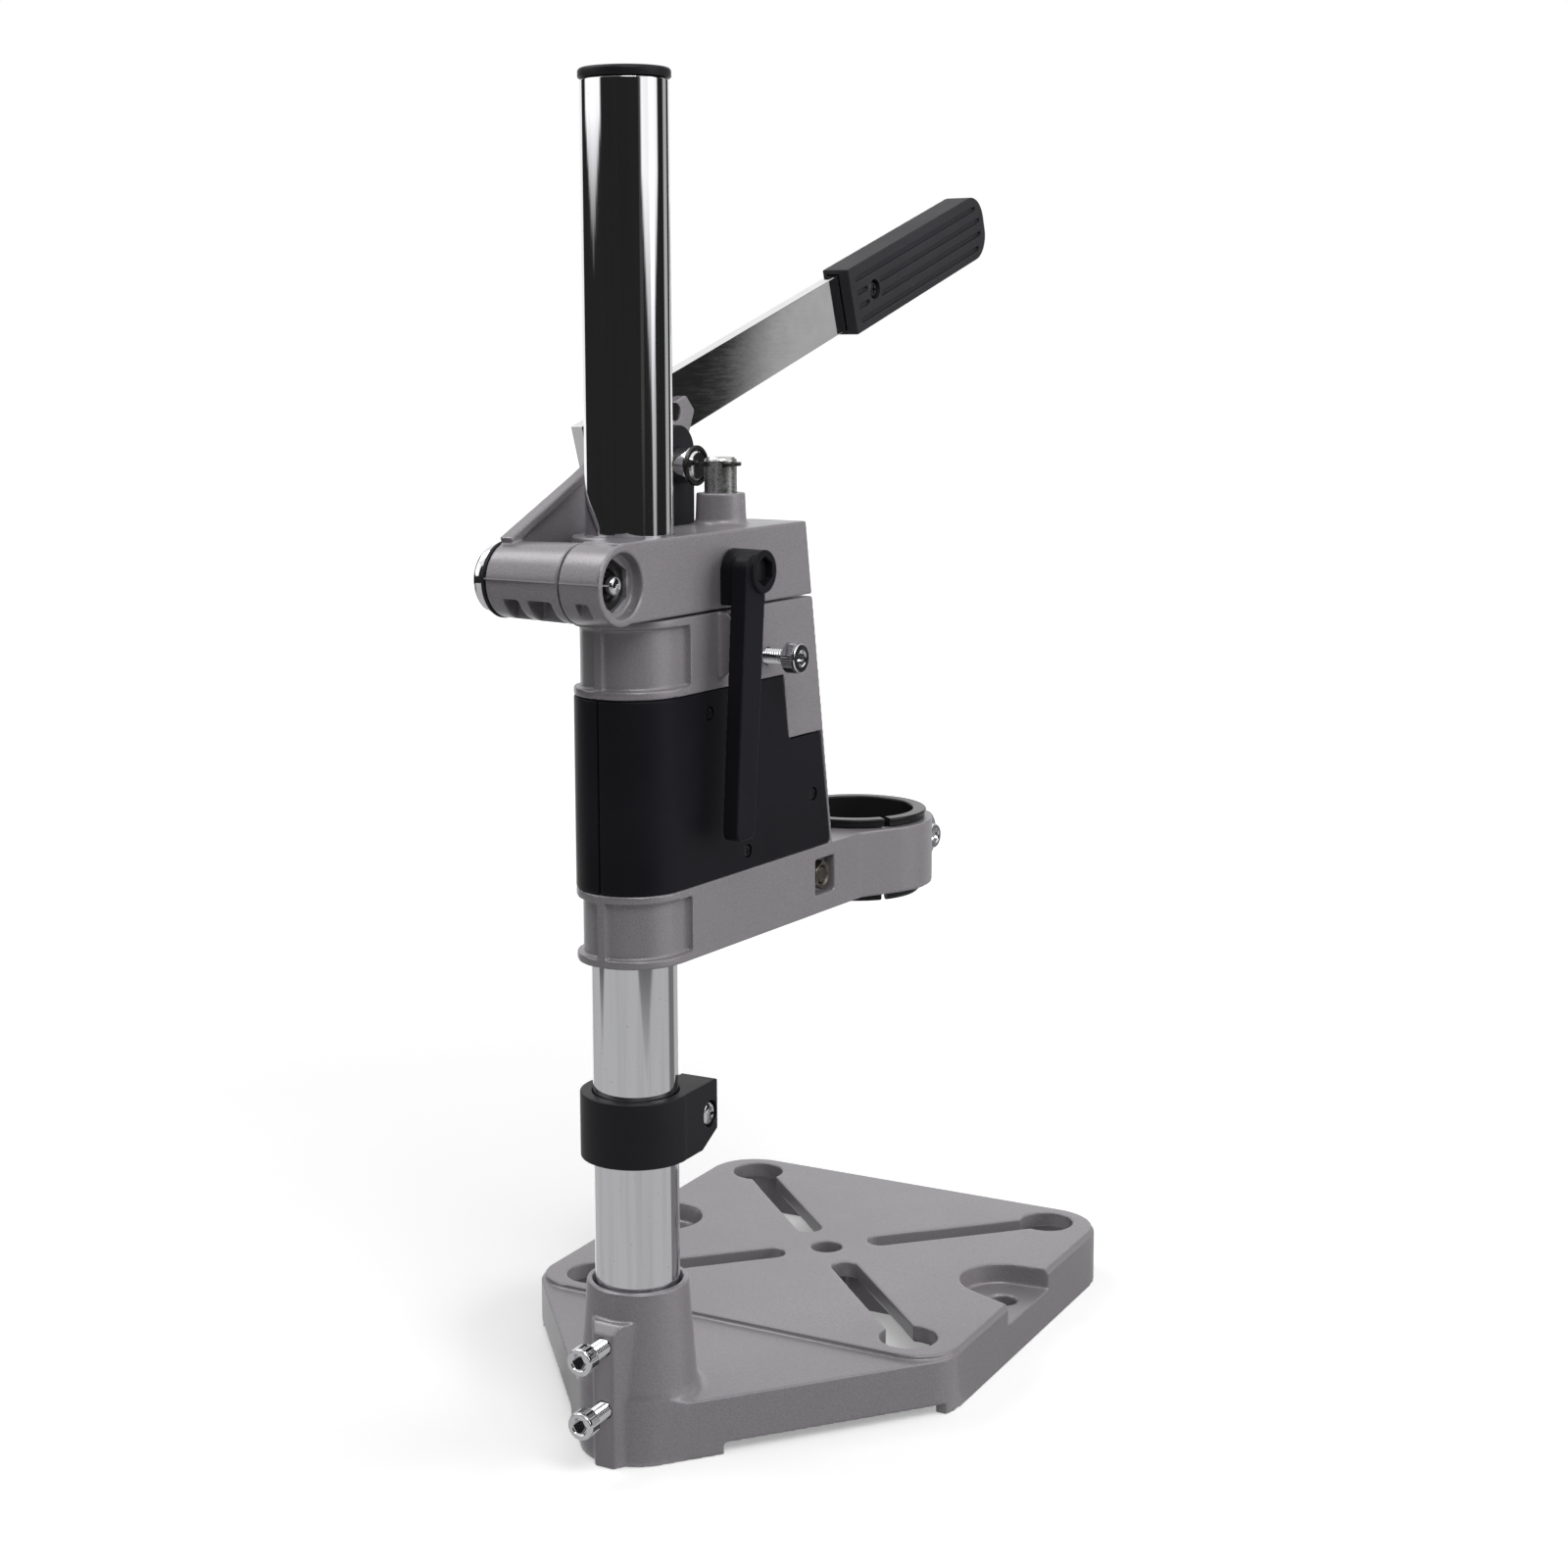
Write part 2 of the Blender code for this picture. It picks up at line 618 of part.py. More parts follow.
def make_base(look):
    """The cast base with its table, slots, bench pockets and column socket."""
    base = put("base_casting", prism(base_outline(0), 0, DECK_HEIGHT), None, look["paint"])
    cut(base, base_cavity())
    fuse(base, [prism(table_outline(), DECK_HEIGHT - BASE_SKIN / 2, TABLE_HEIGHT)])
    bosses = [lathe(socket_profile())]
    bosses.append(moved(rod(CENTRE_BOSS_RADIUS, ARCH_HEIGHT, DECK_HEIGHT - BASE_SKIN / 2), 0, -THROAT))
    for sign in (1, -1):
        floor = BENCH_POCKET_FLOOR - BASE_SKIN
        around = circle((sign * BENCH_POCKET_X, -THROAT), BENCH_POCKET_RADIUS + BENCH_BOSS_WALL)
        inside = BASE_HALF_WIDTH - SKIRT_WALL / 2
        trimmed = [(max(-inside, min(inside, x)), y) for x, y in around]
        trimmed.append((sign * inside, -THROAT - BENCH_MOUTH_FRONT - BENCH_BOSS_WALL))
        trimmed.append((sign * inside, -THROAT + BENCH_MOUTH_REAR + BENCH_BOSS_WALL))
        bosses.append(prism(hull(trimmed), floor, DECK_HEIGHT - BASE_SKIN / 2))
        foot = rod(BENCH_BOSS_RADIUS, 0, floor + BASE_SKIN / 2)
        bosses.append(moved(foot, sign * BENCH_POCKET_X, -THROAT))
    rib = rib_outline(SOCKET_RIB_REACH)
    rib_top = rib_outline(SOCKET_RIB_REACH - SOCKET_RIB_CHAMFER)
    rib_edge = SOCKET_RIB_HEIGHT - SOCKET_RIB_CHAMFER
    bosses.append(stacked([(rib, 0), (rib, rib_edge), (rib_top, SOCKET_RIB_HEIGHT)]))
    fuse(base, bosses)
    high = TABLE_HEIGHT + OVERRUN
    tools = [rod(BORE_RADIUS, SOCKET_FLOOR, SOCKET_HEIGHT + OVERRUN, ROUND_STEPS)]
    tools.append(moved(rod(CENTRE_HOLE_RADIUS, -OVERRUN, high, ROUND_STEPS), 0, -THROAT))
    for x, y in keyholes():
        tools.append(moved(rod(KEYHOLE_RADIUS, -OVERRUN, high, ROUND_STEPS), x, y))
        reach = SLOT_INNER_REACH / math.sqrt(2)
        inner = (math.copysign(reach, x), -THROAT + math.copysign(reach, y + THROAT))
        tools.append(prism(slotted(inner, (x, y), SLOT_WIDTH), -OVERRUN, high))
    for sign in (1, -1):
        edge = sign * (BASE_HALF_WIDTH + OVERRUN)
        mouth = [(edge, -THROAT - BENCH_MOUTH_FRONT), (edge, -THROAT + BENCH_MOUTH_REAR)]
        outline = hull(circle((sign * BENCH_POCKET_X, -THROAT), BENCH_POCKET_RADIUS) + mouth)
        tools.append(prism(outline, BENCH_POCKET_FLOOR, high))
        hole = rod(BENCH_HOLE_RADIUS, -OVERRUN, high, ROUND_STEPS)
        tools.append(moved(hole, sign * BENCH_POCKET_X, -THROAT))
        sides = sorted((edge, sign * (BORE_RADIUS + COLUMN_WALL)))
        tools.append(box((sides[0], ARCH_FRONT, -OVERRUN), (sides[1], ARCH_REAR, ARCH_HEIGHT)))
    foot = SOCKET_FOOT_RADIUS
    tools.append(box((-foot, ARCH_FRONT, -OVERRUN), (foot, -foot, ARCH_HEIGHT)))
    for height in SOCKET_SCREW_HEIGHTS.values():
        tools.append(along_y(rod(SCREW_HOLE_RADIUS, 0, SOCKET_RIB_REACH + OVERRUN), 0, height))
    cut(base, tools)
    return base


def socket_screw(name, parent, look, tip, seat, head_length=SCREW_HEAD_LENGTH):
    """A socket head screw about z, its head at the top end."""
    top = seat + head_length
    head_radius = SCREW_HEAD_RADIUS
    body = [(SCREW_RADIUS, tip), (SCREW_RADIUS, seat), (head_radius, seat), (head_radius, top)]
    made = put(name, lathe(body, SMALL_STEPS), parent, look["chrome"])
    depth = min(SCREW_KEY_DEPTH, head_length - SCREW_KEY_FLOOR)
    cut(made, [rod(SCREW_KEY_RADIUS, top - depth, top + OVERRUN, HEX_STEPS)])
    return made


def make_socket_screws(look):
    """Two screws in the socket's rib that press on the column."""
    for name, height in SOCKET_SCREW_HEIGHTS.items():
        seat = SOCKET_RIB_REACH + SOCKET_SCREW_EXPOSED
        screw = socket_screw(f"socket_screw_{name}", None, look, BORE_RADIUS, seat)
        screw.data.transform(Matrix.Translation((0, 0, height)) @ Matrix.Rotation(-QUARTER_TURN, 4, "X"))


def make_column(look):
    """The chromed tube and its end cap."""
    bottom = SOCKET_FLOOR + GAP
    inner = COLUMN_RADIUS - COLUMN_WALL
    put("column_tube", tube(COLUMN_RADIUS, inner, bottom, COLUMN_TOP), None, look["chrome"])
    under = COLUMN_TOP + GAP
    plug = inner - GAP
    cap = [
        (0, COLUMN_TOP - CAP_PLUG_DEPTH),
        (plug, COLUMN_TOP - CAP_PLUG_DEPTH),
        (plug, under),
        (CAP_RADIUS, under),
        (CAP_RADIUS, under + CAP_THICKNESS - CAP_EDGE),
        (CAP_RADIUS - CAP_EDGE, under + CAP_THICKNESS),
        (0, under + CAP_THICKNESS),
    ]
    put("column_cap", lathe(cap), None, look["plastic"])


def make_stop_collar(look):
    """The split plastic ring that stops the carriage, with its screw and nut."""
    top = STOP_BOTTOM + STOP_HEIGHT
    ring = put("stop_collar", rod(STOP_RADIUS, STOP_BOTTOM, top, ROUND_STEPS), None, look["plastic"])
    lug = side_plate([
        (0, STOP_BOTTOM),
        (-STOP_LUG_REACH + 2 * STOP_LUG_CHAMFER, STOP_BOTTOM),
        (-STOP_LUG_REACH, STOP_BOTTOM + STOP_LUG_CHAMFER),
        (-STOP_LUG_REACH, top),
        (0, top),
    ], -STOP_LUG_NEAR_X, STOP_LUG_FAR_X)
    fuse(ring, [lug])
    height = STOP_BOTTOM + STOP_SCREW_Z
    low, high = STOP_BOTTOM - OVERRUN, top + OVERRUN
    slit_x = -STOP_LUG_FAR_X / 2
    tools = [rod(BORE_RADIUS, low, high, ROUND_STEPS)]
    tools.append(box((slit_x, -STOP_LUG_REACH - OVERRUN, low), (slit_x + STOP_SLIT, 0, high)))
    reach = STOP_RADIUS + OVERRUN
    tools.append(along_x(rod(STOP_SCREW_RADIUS + GAP, -reach, reach), STOP_SCREW_Y, height))
    seat = -STOP_RADIUS + STOP_SEAT_DEPTH
    tools.append(along_x(rod(STOP_SEAT_RADIUS, -reach, seat), STOP_SCREW_Y, height))
    nut_face = STOP_LUG_FAR_X - STOP_NUT_LENGTH
    tools.append(along_x(rod(STOP_NUT_RADIUS + GAP, nut_face, reach, HEX_STEPS), STOP_SCREW_Y, height))
    cut(ring, tools)
    head = seat - GAP - STOP_HEAD_LENGTH
    tip = STOP_LUG_FAR_X + GAP
    screw = put("stop_collar_screw", along_x(lathe([
        (STOP_HEAD_RADIUS, head),
        (STOP_HEAD_RADIUS, seat - GAP),
        (STOP_SCREW_RADIUS, seat - GAP),
        (STOP_SCREW_RADIUS, tip),
    ], SMALL_STEPS), STOP_SCREW_Y, height), None, look["chrome"])
    slot = STOP_CROSS_DEPTH
    across = STOP_CROSS_WIDTH / 2
    long = STOP_HEAD_RADIUS * CROSS_REACH_SHARE
    cut(screw, [
        moved(box((head - OVERRUN, -across, -long), (head + slot, across, long)), 0, STOP_SCREW_Y, height),
        moved(box((head - OVERRUN, -long, -across), (head + slot, long, across)), 0, STOP_SCREW_Y, height),
    ])
    nut = nut_ring(STOP_NUT_RADIUS, STOP_SCREW_RADIUS, nut_face + GAP, STOP_LUG_FAR_X)
    put("stop_collar_nut", along_x(nut, STOP_SCREW_Y, height), None, look["steel"])


def nut_ring(radius, bore, bottom, top):
    """A hex nut about z with a running clearance in its bore."""
    made = bmesh.new()
    steps = 2 * HEX_STEPS
    corners = [radius if k % 2 == 0 else radius * math.cos(math.pi / HEX_STEPS) for k in range(steps)]
    sets = []
    hole = [bore + GAP] * steps
    angles = [2 * math.pi * k / steps for k in range(steps)]
    for radii, height in ((corners, bottom), (corners, top), (hole, top), (hole, bottom)):
        places = [(r * math.cos(a), r * math.sin(a), height) for r, a in zip(radii, angles)]
        sets.append([made.verts.new(place) for place in places])
    for here, ring in enumerate(sets):
        after = sets[(here + 1) % len(sets)]
        for k in range(steps):
            nxt = (k + 1) % steps
            made.faces.new((ring[k], ring[nxt], after[nxt], after[k]))
    return made


def nose_outline(far):
    """A casting's plan ahead of the column: flush at the near side, rounded at the far front corner."""
    front = BLOCK_FRONT_TOP
    corner = (far - NOSE_FAR_RADIUS, front + NOSE_FAR_RADIUS)
    near = [(-SIDE_PLANE, 0), (-SIDE_PLANE, front)]
    return near + arc(corner, NOSE_FAR_RADIUS, 270, 360, CORNER_STEPS) + [(far, 0)]


def leaning(shape):
    """Leans a shape's front points out with depth, as the front face that the castings share does."""
    for vert in shape.verts:
        if vert.co.y < BLOCK_FRONT_TOP + NOSE_FAR_RADIUS + GAP:
            vert.co.y += front_wall(vert.co.z) - BLOCK_FRONT_TOP
    return shape


def make_block(head, look):
    """The upper block: clamp round the column, rear barrel and rod boss."""
    ear = [(-SIDE_PLANE, CLAMP_EAR_END), (SIDE_PLANE, CLAMP_EAR_END)]
    clamp = arc((0, 0), SIDE_PLANE, 0, 180, SMALL_STEPS) + ear
    block = put("upper_block", prism(clamp, BLOCK_BOTTOM, BLOCK_TOP), head, look["paint"])
    nose = leaning(prism(nose_outline(NOSE_FAR_X), BLOCK_BOTTOM, BLOCK_TOP))
    neck = box((-SIDE_PLANE, 0, BLOCK_BOTTOM), (BLOCK_NECK_FAR_X, PIVOT_Y, BLOCK_TOP))
    barrel = along_x(rod(BARREL_RADIUS, -SIDE_PLANE, BLOCK_NECK_FAR_X, ROUND_STEPS), PIVOT_Y, PIVOT_Z)
    boss = lathe([
        (ROD_BOSS_FOOT_RADIUS, BLOCK_TOP - OVERRUN),
        (ROD_BOSS_FOOT_RADIUS, BLOCK_TOP),
        (ROD_BOSS_RADIUS, ROD_BOSS_TOP - ROD_CHAMFER),
        (ROD_BOSS_RADIUS - ROD_CHAMFER, ROD_BOSS_TOP),
    ])
    fuse(block, [nose, neck, barrel, moved(boss, 0, ROD_Y)])
    low, high = BLOCK_BOTTOM - OVERRUN, BLOCK_TOP + OVERRUN
    wide = SIDE_PLANE + OVERRUN
    ear_gap = CLAMP_EAR_END - CLAMP_SLIT
    tools = [rod(BORE_RADIUS, low, high, ROUND_STEPS)]
    slit_end = CLAMP_SLIT_X + CLAMP_SLIT
    tools.append(box((CLAMP_SLIT_X, ear_gap, low), (slit_end, -COLUMN_RADIUS / 2, high)))
    tools.append(box((CLAMP_SLIT_X, ear_gap, low), (wide, CLAMP_EAR_END + GAP, high)))
    tools.append(moved(rod(ROD_RADIUS + GAP, low, ROD_TOP, ROUND_STEPS), 0, ROD_Y))
    tools.append(along_x(rod(CLAMP_BOLT_RADIUS + GAP, -wide, wide), CLAMP_Y, CLAMP_Z))
    nut_floor = SIDE_PLANE - CLAMP_NUT_LENGTH - GAP
    tools.append(along_x(rod(CLAMP_NUT_RADIUS + GAP, nut_floor, wide, HEX_STEPS), CLAMP_Y, CLAMP_Z))
    tools.append(along_x(rod(PIVOT_BOLT_RADIUS + GAP, -wide, 0), PIVOT_Y, PIVOT_Z))
    relief = rod(BARREL_RADIUS + BARREL_RELIEF, BLOCK_NECK_FAR_X, wide, ROUND_STEPS)
    tools.append(along_x(relief, PIVOT_Y, PIVOT_Z))
    recess_floor = -SIDE_PLANE + BARREL_RECESS_DEPTH
    tools.append(along_x(rod(BARREL_RECESS_RADIUS, -wide, recess_floor, ROUND_STEPS), PIVOT_Y, PIVOT_Z))
    tools.append(along_x(rod(BARREL_HEX_RADIUS, -wide, BARREL_HEX_X, HEX_STEPS), PIVOT_Y, PIVOT_Z))
    low_corner = (BLOCK_POCKET[0], PIVOT_Y + BLOCK_POCKET_START, low)
    high_corner = (BLOCK_POCKET[1], PIVOT_Y + BARREL_RADIUS, PIVOT_Z - BARREL_POCKET_DROP)
    tools.append(box(low_corner, high_corner))
    cut(block, tools)
    nut = nut_ring(CLAMP_NUT_RADIUS, CLAMP_BOLT_RADIUS, nut_floor + GAP, SIDE_PLANE)
    put("clamp_nut", along_x(nut, CLAMP_Y, CLAMP_Z), head, look["steel"])


def make_pivot(head, look):
    """The bolt that the hand lever turns on, with its nut and washer."""
    seat = BARREL_FAR_X + GAP + PIVOT_WASHER_THICKNESS + GAP
    tip = -SIDE_PLANE + PIVOT_BOLT_TIP
    nose = PIVOT_BOLT_NOSE
    bolt = lathe([
        (PIVOT_BOLT_RADIUS - nose, tip),
        (PIVOT_BOLT_RADIUS, tip + nose),
        (PIVOT_BOLT_RADIUS, seat),
        (KNOB_RADIUS, seat),
        *[(KNOB_RADIUS * across, seat + KNOB_LENGTH * along) for across, along in KNOB_DOME_SHARES],
    ])
    put("pivot_bolt", along_x(bolt, PIVOT_Y, PIVOT_Z), head, look["chrome"])
    washer = tube(PIVOT_WASHER_RADIUS, PIVOT_BOLT_RADIUS + GAP, BARREL_FAR_X + GAP, seat - GAP)
    put("pivot_washer", along_x(washer, PIVOT_Y, PIVOT_Z), head, look["plastic"])
    nut_seat = BARREL_HEX_X - GAP
    nut = nut_ring(PIVOT_NUT_RADIUS, PIVOT_BOLT_RADIUS, nut_seat - PIVOT_NUT_LENGTH, nut_seat)
    put("pivot_nut", along_x(nut, PIVOT_Y, PIVOT_Z), head, look["dark_steel"])


def clip_outline(outer, inner, mouth):
    """A retaining ring with a mouth, seen along its axis."""
    gap = math.degrees(math.asin(mouth / 2 / inner))
    outward = arc((0, 0), outer, 90 + gap, 450 - gap, SMALL_STEPS)
    return outward + arc((0, 0), inner, 450 - gap, 90 + gap, SMALL_STEPS)


def make_rod(head, look):
    """The guide rod, its two retaining rings and the seat that holds the spring."""
    seat_top = ROD_BOTTOM + SEAT_CLIP_LIFT + CLIP_THICKNESS + GAP + SEAT_THICKNESS
    groove = ROD_RADIUS - CLIP_GROOVE_DEPTH
    low_clip = ROD_BOTTOM + SEAT_CLIP_LIFT
    profile = [(ROD_RADIUS - ROD_CHAMFER, ROD_BOTTOM), (ROD_RADIUS, ROD_BOTTOM + ROD_CHAMFER)]
    for height in (low_clip, CLIP_HEIGHT):
        top = height + CLIP_THICKNESS + GAP
        profile += [(ROD_RADIUS, height - GAP), (groove, height - GAP), (groove, top), (ROD_RADIUS, top)]
    profile += [(ROD_RADIUS, ROD_TOP - ROD_CHAMFER), (ROD_RADIUS - ROD_CHAMFER, ROD_TOP)]
    put("guide_rod", moved(lathe(profile, TURNED_STEPS), 0, ROD_Y), head, look["chrome"])
    ring = clip_outline(CLIP_RADIUS, groove + GAP, CLIP_MOUTH)
    for name, height in (("rod_clip", CLIP_HEIGHT), ("seat_clip", low_clip)):
        clip_body = prism(ring, height, height + CLIP_THICKNESS)
        put(name, moved(clip_body, 0, ROD_Y), head, look["dark_steel"])
    seat_low = seat_top - SEAT_THICKNESS
    seat = tube(SEAT_RADIUS - GAP, ROD_RADIUS + GAP, seat_low, seat_top, TURNED_STEPS)
    put("spring_seat", moved(seat, 0, ROD_Y), head, look["steel"])
    return seat_top


def make_spring(head, look, bottom):
    """The return spring round the rod, one unbroken wire with closed end turns."""
    wire = SPRING_WIRE_RADIUS
    start = bottom + GAP + wire
    end = UPPER_RING_BOTTOM - GAP - wire
    count = SPRING_TURNS * SPRING_POINTS_PER_TURN
    closed = 2 * (2 * wire + 2 * GAP)
    curve = bpy.data.curves.new("return_spring", "CURVE")
    curve.dimensions = "3D"
    curve.bevel_depth = wire
    curve.bevel_resolution = 1
    curve.use_fill_caps = True
    line = curve.splines.new("POLY")
    line.points.add(count)
    pitch_turns = SPRING_TURNS - 2
    for k in range(count + 1):
        turns = k / SPRING_POINTS_PER_TURN
        first = min(turns, 1.0)
        last = max(0.0, turns - (SPRING_TURNS - 1))
        middle = turns - first - last
        rise = closed / 2 * (first + last) + (end - start - closed) * middle / pitch_turns
        angle = 2 * math.pi * turns
        x, y = SPRING_MEAN_RADIUS * math.cos(angle), SPRING_MEAN_RADIUS * math.sin(angle)
        line.points[k].co = (x, ROD_Y + y, start + rise, 1.0)
    places = [Vector(point.co[:3]) for point in line.points]
    apart = [(one - other).length for k, one in enumerate(places)
             for other in places[k + SPRING_POINTS_PER_TURN // 2:]]
    print(f"return_spring: least gap to itself {(min(apart) - 2 * wire) * 1000:.2f} mm")
    made = bpy.data.objects.new("return_spring", curve)
    curve.materials.append(look["steel"])
    made.parent = head
    bpy.context.collection.objects.link(made)


def make_clamp_lever(head, look):
    """The black lever that tightens the block on the column; places are from its own pivot."""
    pivot = empty("clamp_pivot", (-SIDE_PLANE, CLAMP_Y, CLAMP_Z), head)
    end = -LEVER_BOSS_LENGTH
    boss = along_x(rod(LEVER_BOSS_RADIUS, end, -GAP, TURNED_STEPS), 0, 0)
    lever = put("clamp_lever", boss, pivot, look["plastic"])
    inner = -(LEVER_ARM_INNER - SIDE_PLANE)
    outer = inner - LEVER_ARM_THICKNESS
    top_half, end_half = LEVER_ARM_WIDTH_TOP / 2, LEVER_ARM_WIDTH_END / 2
    foot = -LEVER_ARM_LENGTH
    corner = LEVER_ARM_CORNER
    arm = side_plate([
        (LEVER_ARM_OFFSET_TOP - top_half, 0),
        (LEVER_ARM_OFFSET_END - end_half, foot + corner),
        (LEVER_ARM_OFFSET_END - end_half + corner, foot),
        (LEVER_ARM_OFFSET_END + end_half - corner, foot),
        (LEVER_ARM_OFFSET_END + end_half, foot + corner),
        (LEVER_ARM_OFFSET_TOP + top_half, 0),
    ], outer, inner)
    root = side_plate([
        (-LEVER_BOSS_RADIUS, 0),
        (-LEVER_BOSS_RADIUS, -LEVER_ROOT_DROP),
        (LEVER_BOSS_RADIUS, -LEVER_ROOT_DROP),
        (LEVER_BOSS_RADIUS, 0),
    ], inner - OVERRUN, -GAP)
    fuse(lever, [arm, root])
    hex_floor = end + LEVER_HEX_DEPTH
    cut(lever, [
        along_x(rod(LEVER_HEX_RADIUS + GAP, end - OVERRUN, hex_floor, HEX_STEPS), 0, 0),
        along_x(rod(CLAMP_BOLT_RADIUS + GAP, end - OVERRUN, OVERRUN), 0, 0),
    ])
    head_end = hex_floor - GAP
    head_start = head_end - LEVER_HEX_DEPTH / 2
    shank_end = 2 * SIDE_PLANE
    bolt = rod(CLAMP_BOLT_RADIUS, head_end - GAP, shank_end)
    screw = put("clamp_bolt", along_x(bolt, 0, 0), pivot, look["steel"])
    fuse(screw, [along_x(rod(LEVER_HEX_RADIUS, head_start, head_end, HEX_STEPS), 0, 0)])


def carriage_tools():
    """What is taken from the carriage casting: bores, window, seats and holes."""
    low, high = ARM_BOTTOM - OVERRUN, UPPER_RING_TOP + OVERRUN
    wide = SIDE_PLANE + OVERRUN
    tools = [rod(BORE_RADIUS, low, high, ROUND_STEPS)]
    tools.append(moved(rod(ROD_RADIUS + GAP, CARRIAGE_MIDDLE, high, ROUND_STEPS), 0, ROD_Y))
    tools.append(moved(rod(SPRING_BORE_RADIUS, low, UPPER_RING_BOTTOM, ROUND_STEPS), 0, ROD_Y))
    tools.append(along_x(rod(SCREW_HOLE_RADIUS, -wide, 0), ROD_Y, LOCK_Z))
    far = LINK_NEAR_X + OVERRUN
    tools.append(along_x(rod(LINK_PIN_RADIUS + GAP, ROD_RADIUS + 2 * GAP, far), LINK_TOP_Y, LINK_BOTTOM_Z))
    return tools


def ring_panels(bottom, top):
    """The sunk panel round the rear of a ring, between its two beads."""
    outer = SIDE_PLANE + OVERRUN
    around = arc((0, 0), outer, 0, 180, SMALL_STEPS)
    around += [(-outer, PANEL_END_Y), (-RING_PANEL_RADIUS, PANEL_END_Y)]
    inner = arc((0, 0), RING_PANEL_RADIUS, 180, 0, SMALL_STEPS)
    inner += [(RING_PANEL_RADIUS, PANEL_END_Y), (outer, PANEL_END_Y)]
    return prism(around + inner, bottom + BEAD_HEIGHT, top - BEAD_HEIGHT)


def arm_outline():
    """The lower arm in plan, from the ring round the column to the drill collar."""
    side = arc((0, 0), SIDE_PLANE, 0, 180, SMALL_STEPS)
    ahead = ARM_WAIST_Y - COLLAR_Y
    way = math.atan2(ahead, -SIDE_PLANE) + math.acos(COLLAR_RADIUS / math.hypot(ahead, SIDE_PLANE))
    start = math.degrees(way)
    near = [(-SIDE_PLANE, ARM_WAIST_Y)] + arc((0, COLLAR_Y), COLLAR_RADIUS, start, 540 - start, ROUND_STEPS)
    return side + near + [(SIDE_PLANE, ARM_WAIST_Y)]


def window_tool():
    """The open window between the arm and the upper ring, behind the covers."""
    low, high = ARM_TOP, UPPER_RING_BOTTOM
    rear = -COLUMN_RADIUS - COVER_THICKNESS - GAP
    return side_plate([
        (rear, low),
        (front_wall(low) + FRONT_WALL, low),
        (front_wall(high) + FRONT_WALL, high),
        (rear, high),
    ], -WINDOW_HALF, WINDOW_HALF)


def link_side_tool():
    """What is cut from the far side above the covers, to make room for the link."""
    front = BLOCK_FRONT_TOP
    far = NOSE_FAR_X
    out = SIDE_PLANE + OVERRUN
    corner = (far - NOSE_FAR_RADIUS, front + NOSE_FAR_RADIUS)
    ahead = front - OVERRUN
    outline = [(far, CLAMP_EAR_END)] + arc(corner, NOSE_FAR_RADIUS, 360, 270, CORNER_STEPS)
    outline += [(corner[0], ahead), (out, ahead), (out, CLAMP_EAR_END)]
    return leaning(prism(outline, UPPER_RING_BOTTOM + BEAD_HEIGHT, UPPER_RING_TOP + OVERRUN))


def make_carriage(head, look):
    """The sprung carriage: two rings on the column, a leaning front wall, the arm and the collar."""
    low = ARM_TOP - OVERRUN
    tall = leaning(prism(nose_outline(SIDE_PLANE), low, UPPER_RING_TOP))
    body = put("carriage_casting", tall, head, look["paint"])
    edges = (SIDE_PLANE - COVER_THICKNESS - GAP, SIDE_PLANE + OVERRUN)
    recesses = [cover_side(-GAP, *sorted(sign * edge for edge in edges)) for sign in (1, -1)]
    cut(body, [window_tool(), link_side_tool(), *recesses])
    upper = arc((0, 0), SIDE_PLANE, 0, 180, SMALL_STEPS) + [(-SIDE_PLANE, -OVERRUN), (SIDE_PLANE, -OVERRUN)]
    tab_out = -SIDE_PLANE - TAB_REACH
    tab_low, tab_top = UPPER_RING_BOTTOM + BEAD_HEIGHT, UPPER_RING_TOP - GAP
    tab = prism([
        (-SIDE_PLANE + OVERRUN, tab_low),
        (-SIDE_PLANE, tab_low),
        (tab_out, tab_low + TAB_CHAMFER),
        (tab_out, tab_top - TAB_CHAMFER / 2),
        (tab_out + TAB_CHAMFER / 2, tab_top),
        (-SIDE_PLANE + OVERRUN, tab_top),
    ], -TAB_REAR, -TAB_REAR + TAB_THICKNESS)
    tab.transform(Matrix.Rotation(QUARTER_TURN, 4, "X"))
    pin_boss = along_x(rod(LINK_BOSS_RADIUS, 0, LINK_NEAR_X - GAP, ROUND_STEPS), LINK_TOP_Y, LINK_BOTTOM_Z)
    fuse(body, [
        prism(arm_outline(), ARM_BOTTOM, ARM_TOP),
        prism(upper, UPPER_RING_BOTTOM, UPPER_RING_TOP),
        rod(CORE_RADIUS, low, UPPER_RING_BOTTOM + OVERRUN, ROUND_STEPS),
        tab,
        pin_boss,
        collar_lugs(),
        *cover_pads(),
    ])
    cut(body, carriage_tools() + collar_tools() + cover_screw_holes())
    cut(body, [ring_panels(UPPER_RING_BOTTOM, UPPER_RING_TOP), ring_panels(ARM_BOTTOM, ARM_TOP)])
    return body


def collar_lugs():
    """The clamp lugs at the collar's front, one body until the slit parts them."""
    centre = (COLLAR_Y - COLLAR_LUG_PLACE, ARM_BOTTOM + COLLAR_LUG_LIFT)
    root = COLLAR_Y - COLLAR_RADIUS + COLLAR_LUG_RADIUS / 2
    around = circle(centre, COLLAR_LUG_RADIUS, TURNED_STEPS)
    top, bottom = centre[1] + COLLAR_LUG_RADIUS, centre[1] - COLLAR_LUG_RADIUS
    return side_plate(hull(around + [(root, bottom), (root, top)]), -COLLAR_LUG_HALF, COLLAR_LUG_HALF)


def collar_screw_place():
    """Where the collar's clamp screw crosses its lugs."""
    return COLLAR_Y - COLLAR_SCREW_PLACE, ARM_BOTTOM + COLLAR_LUG_LIFT


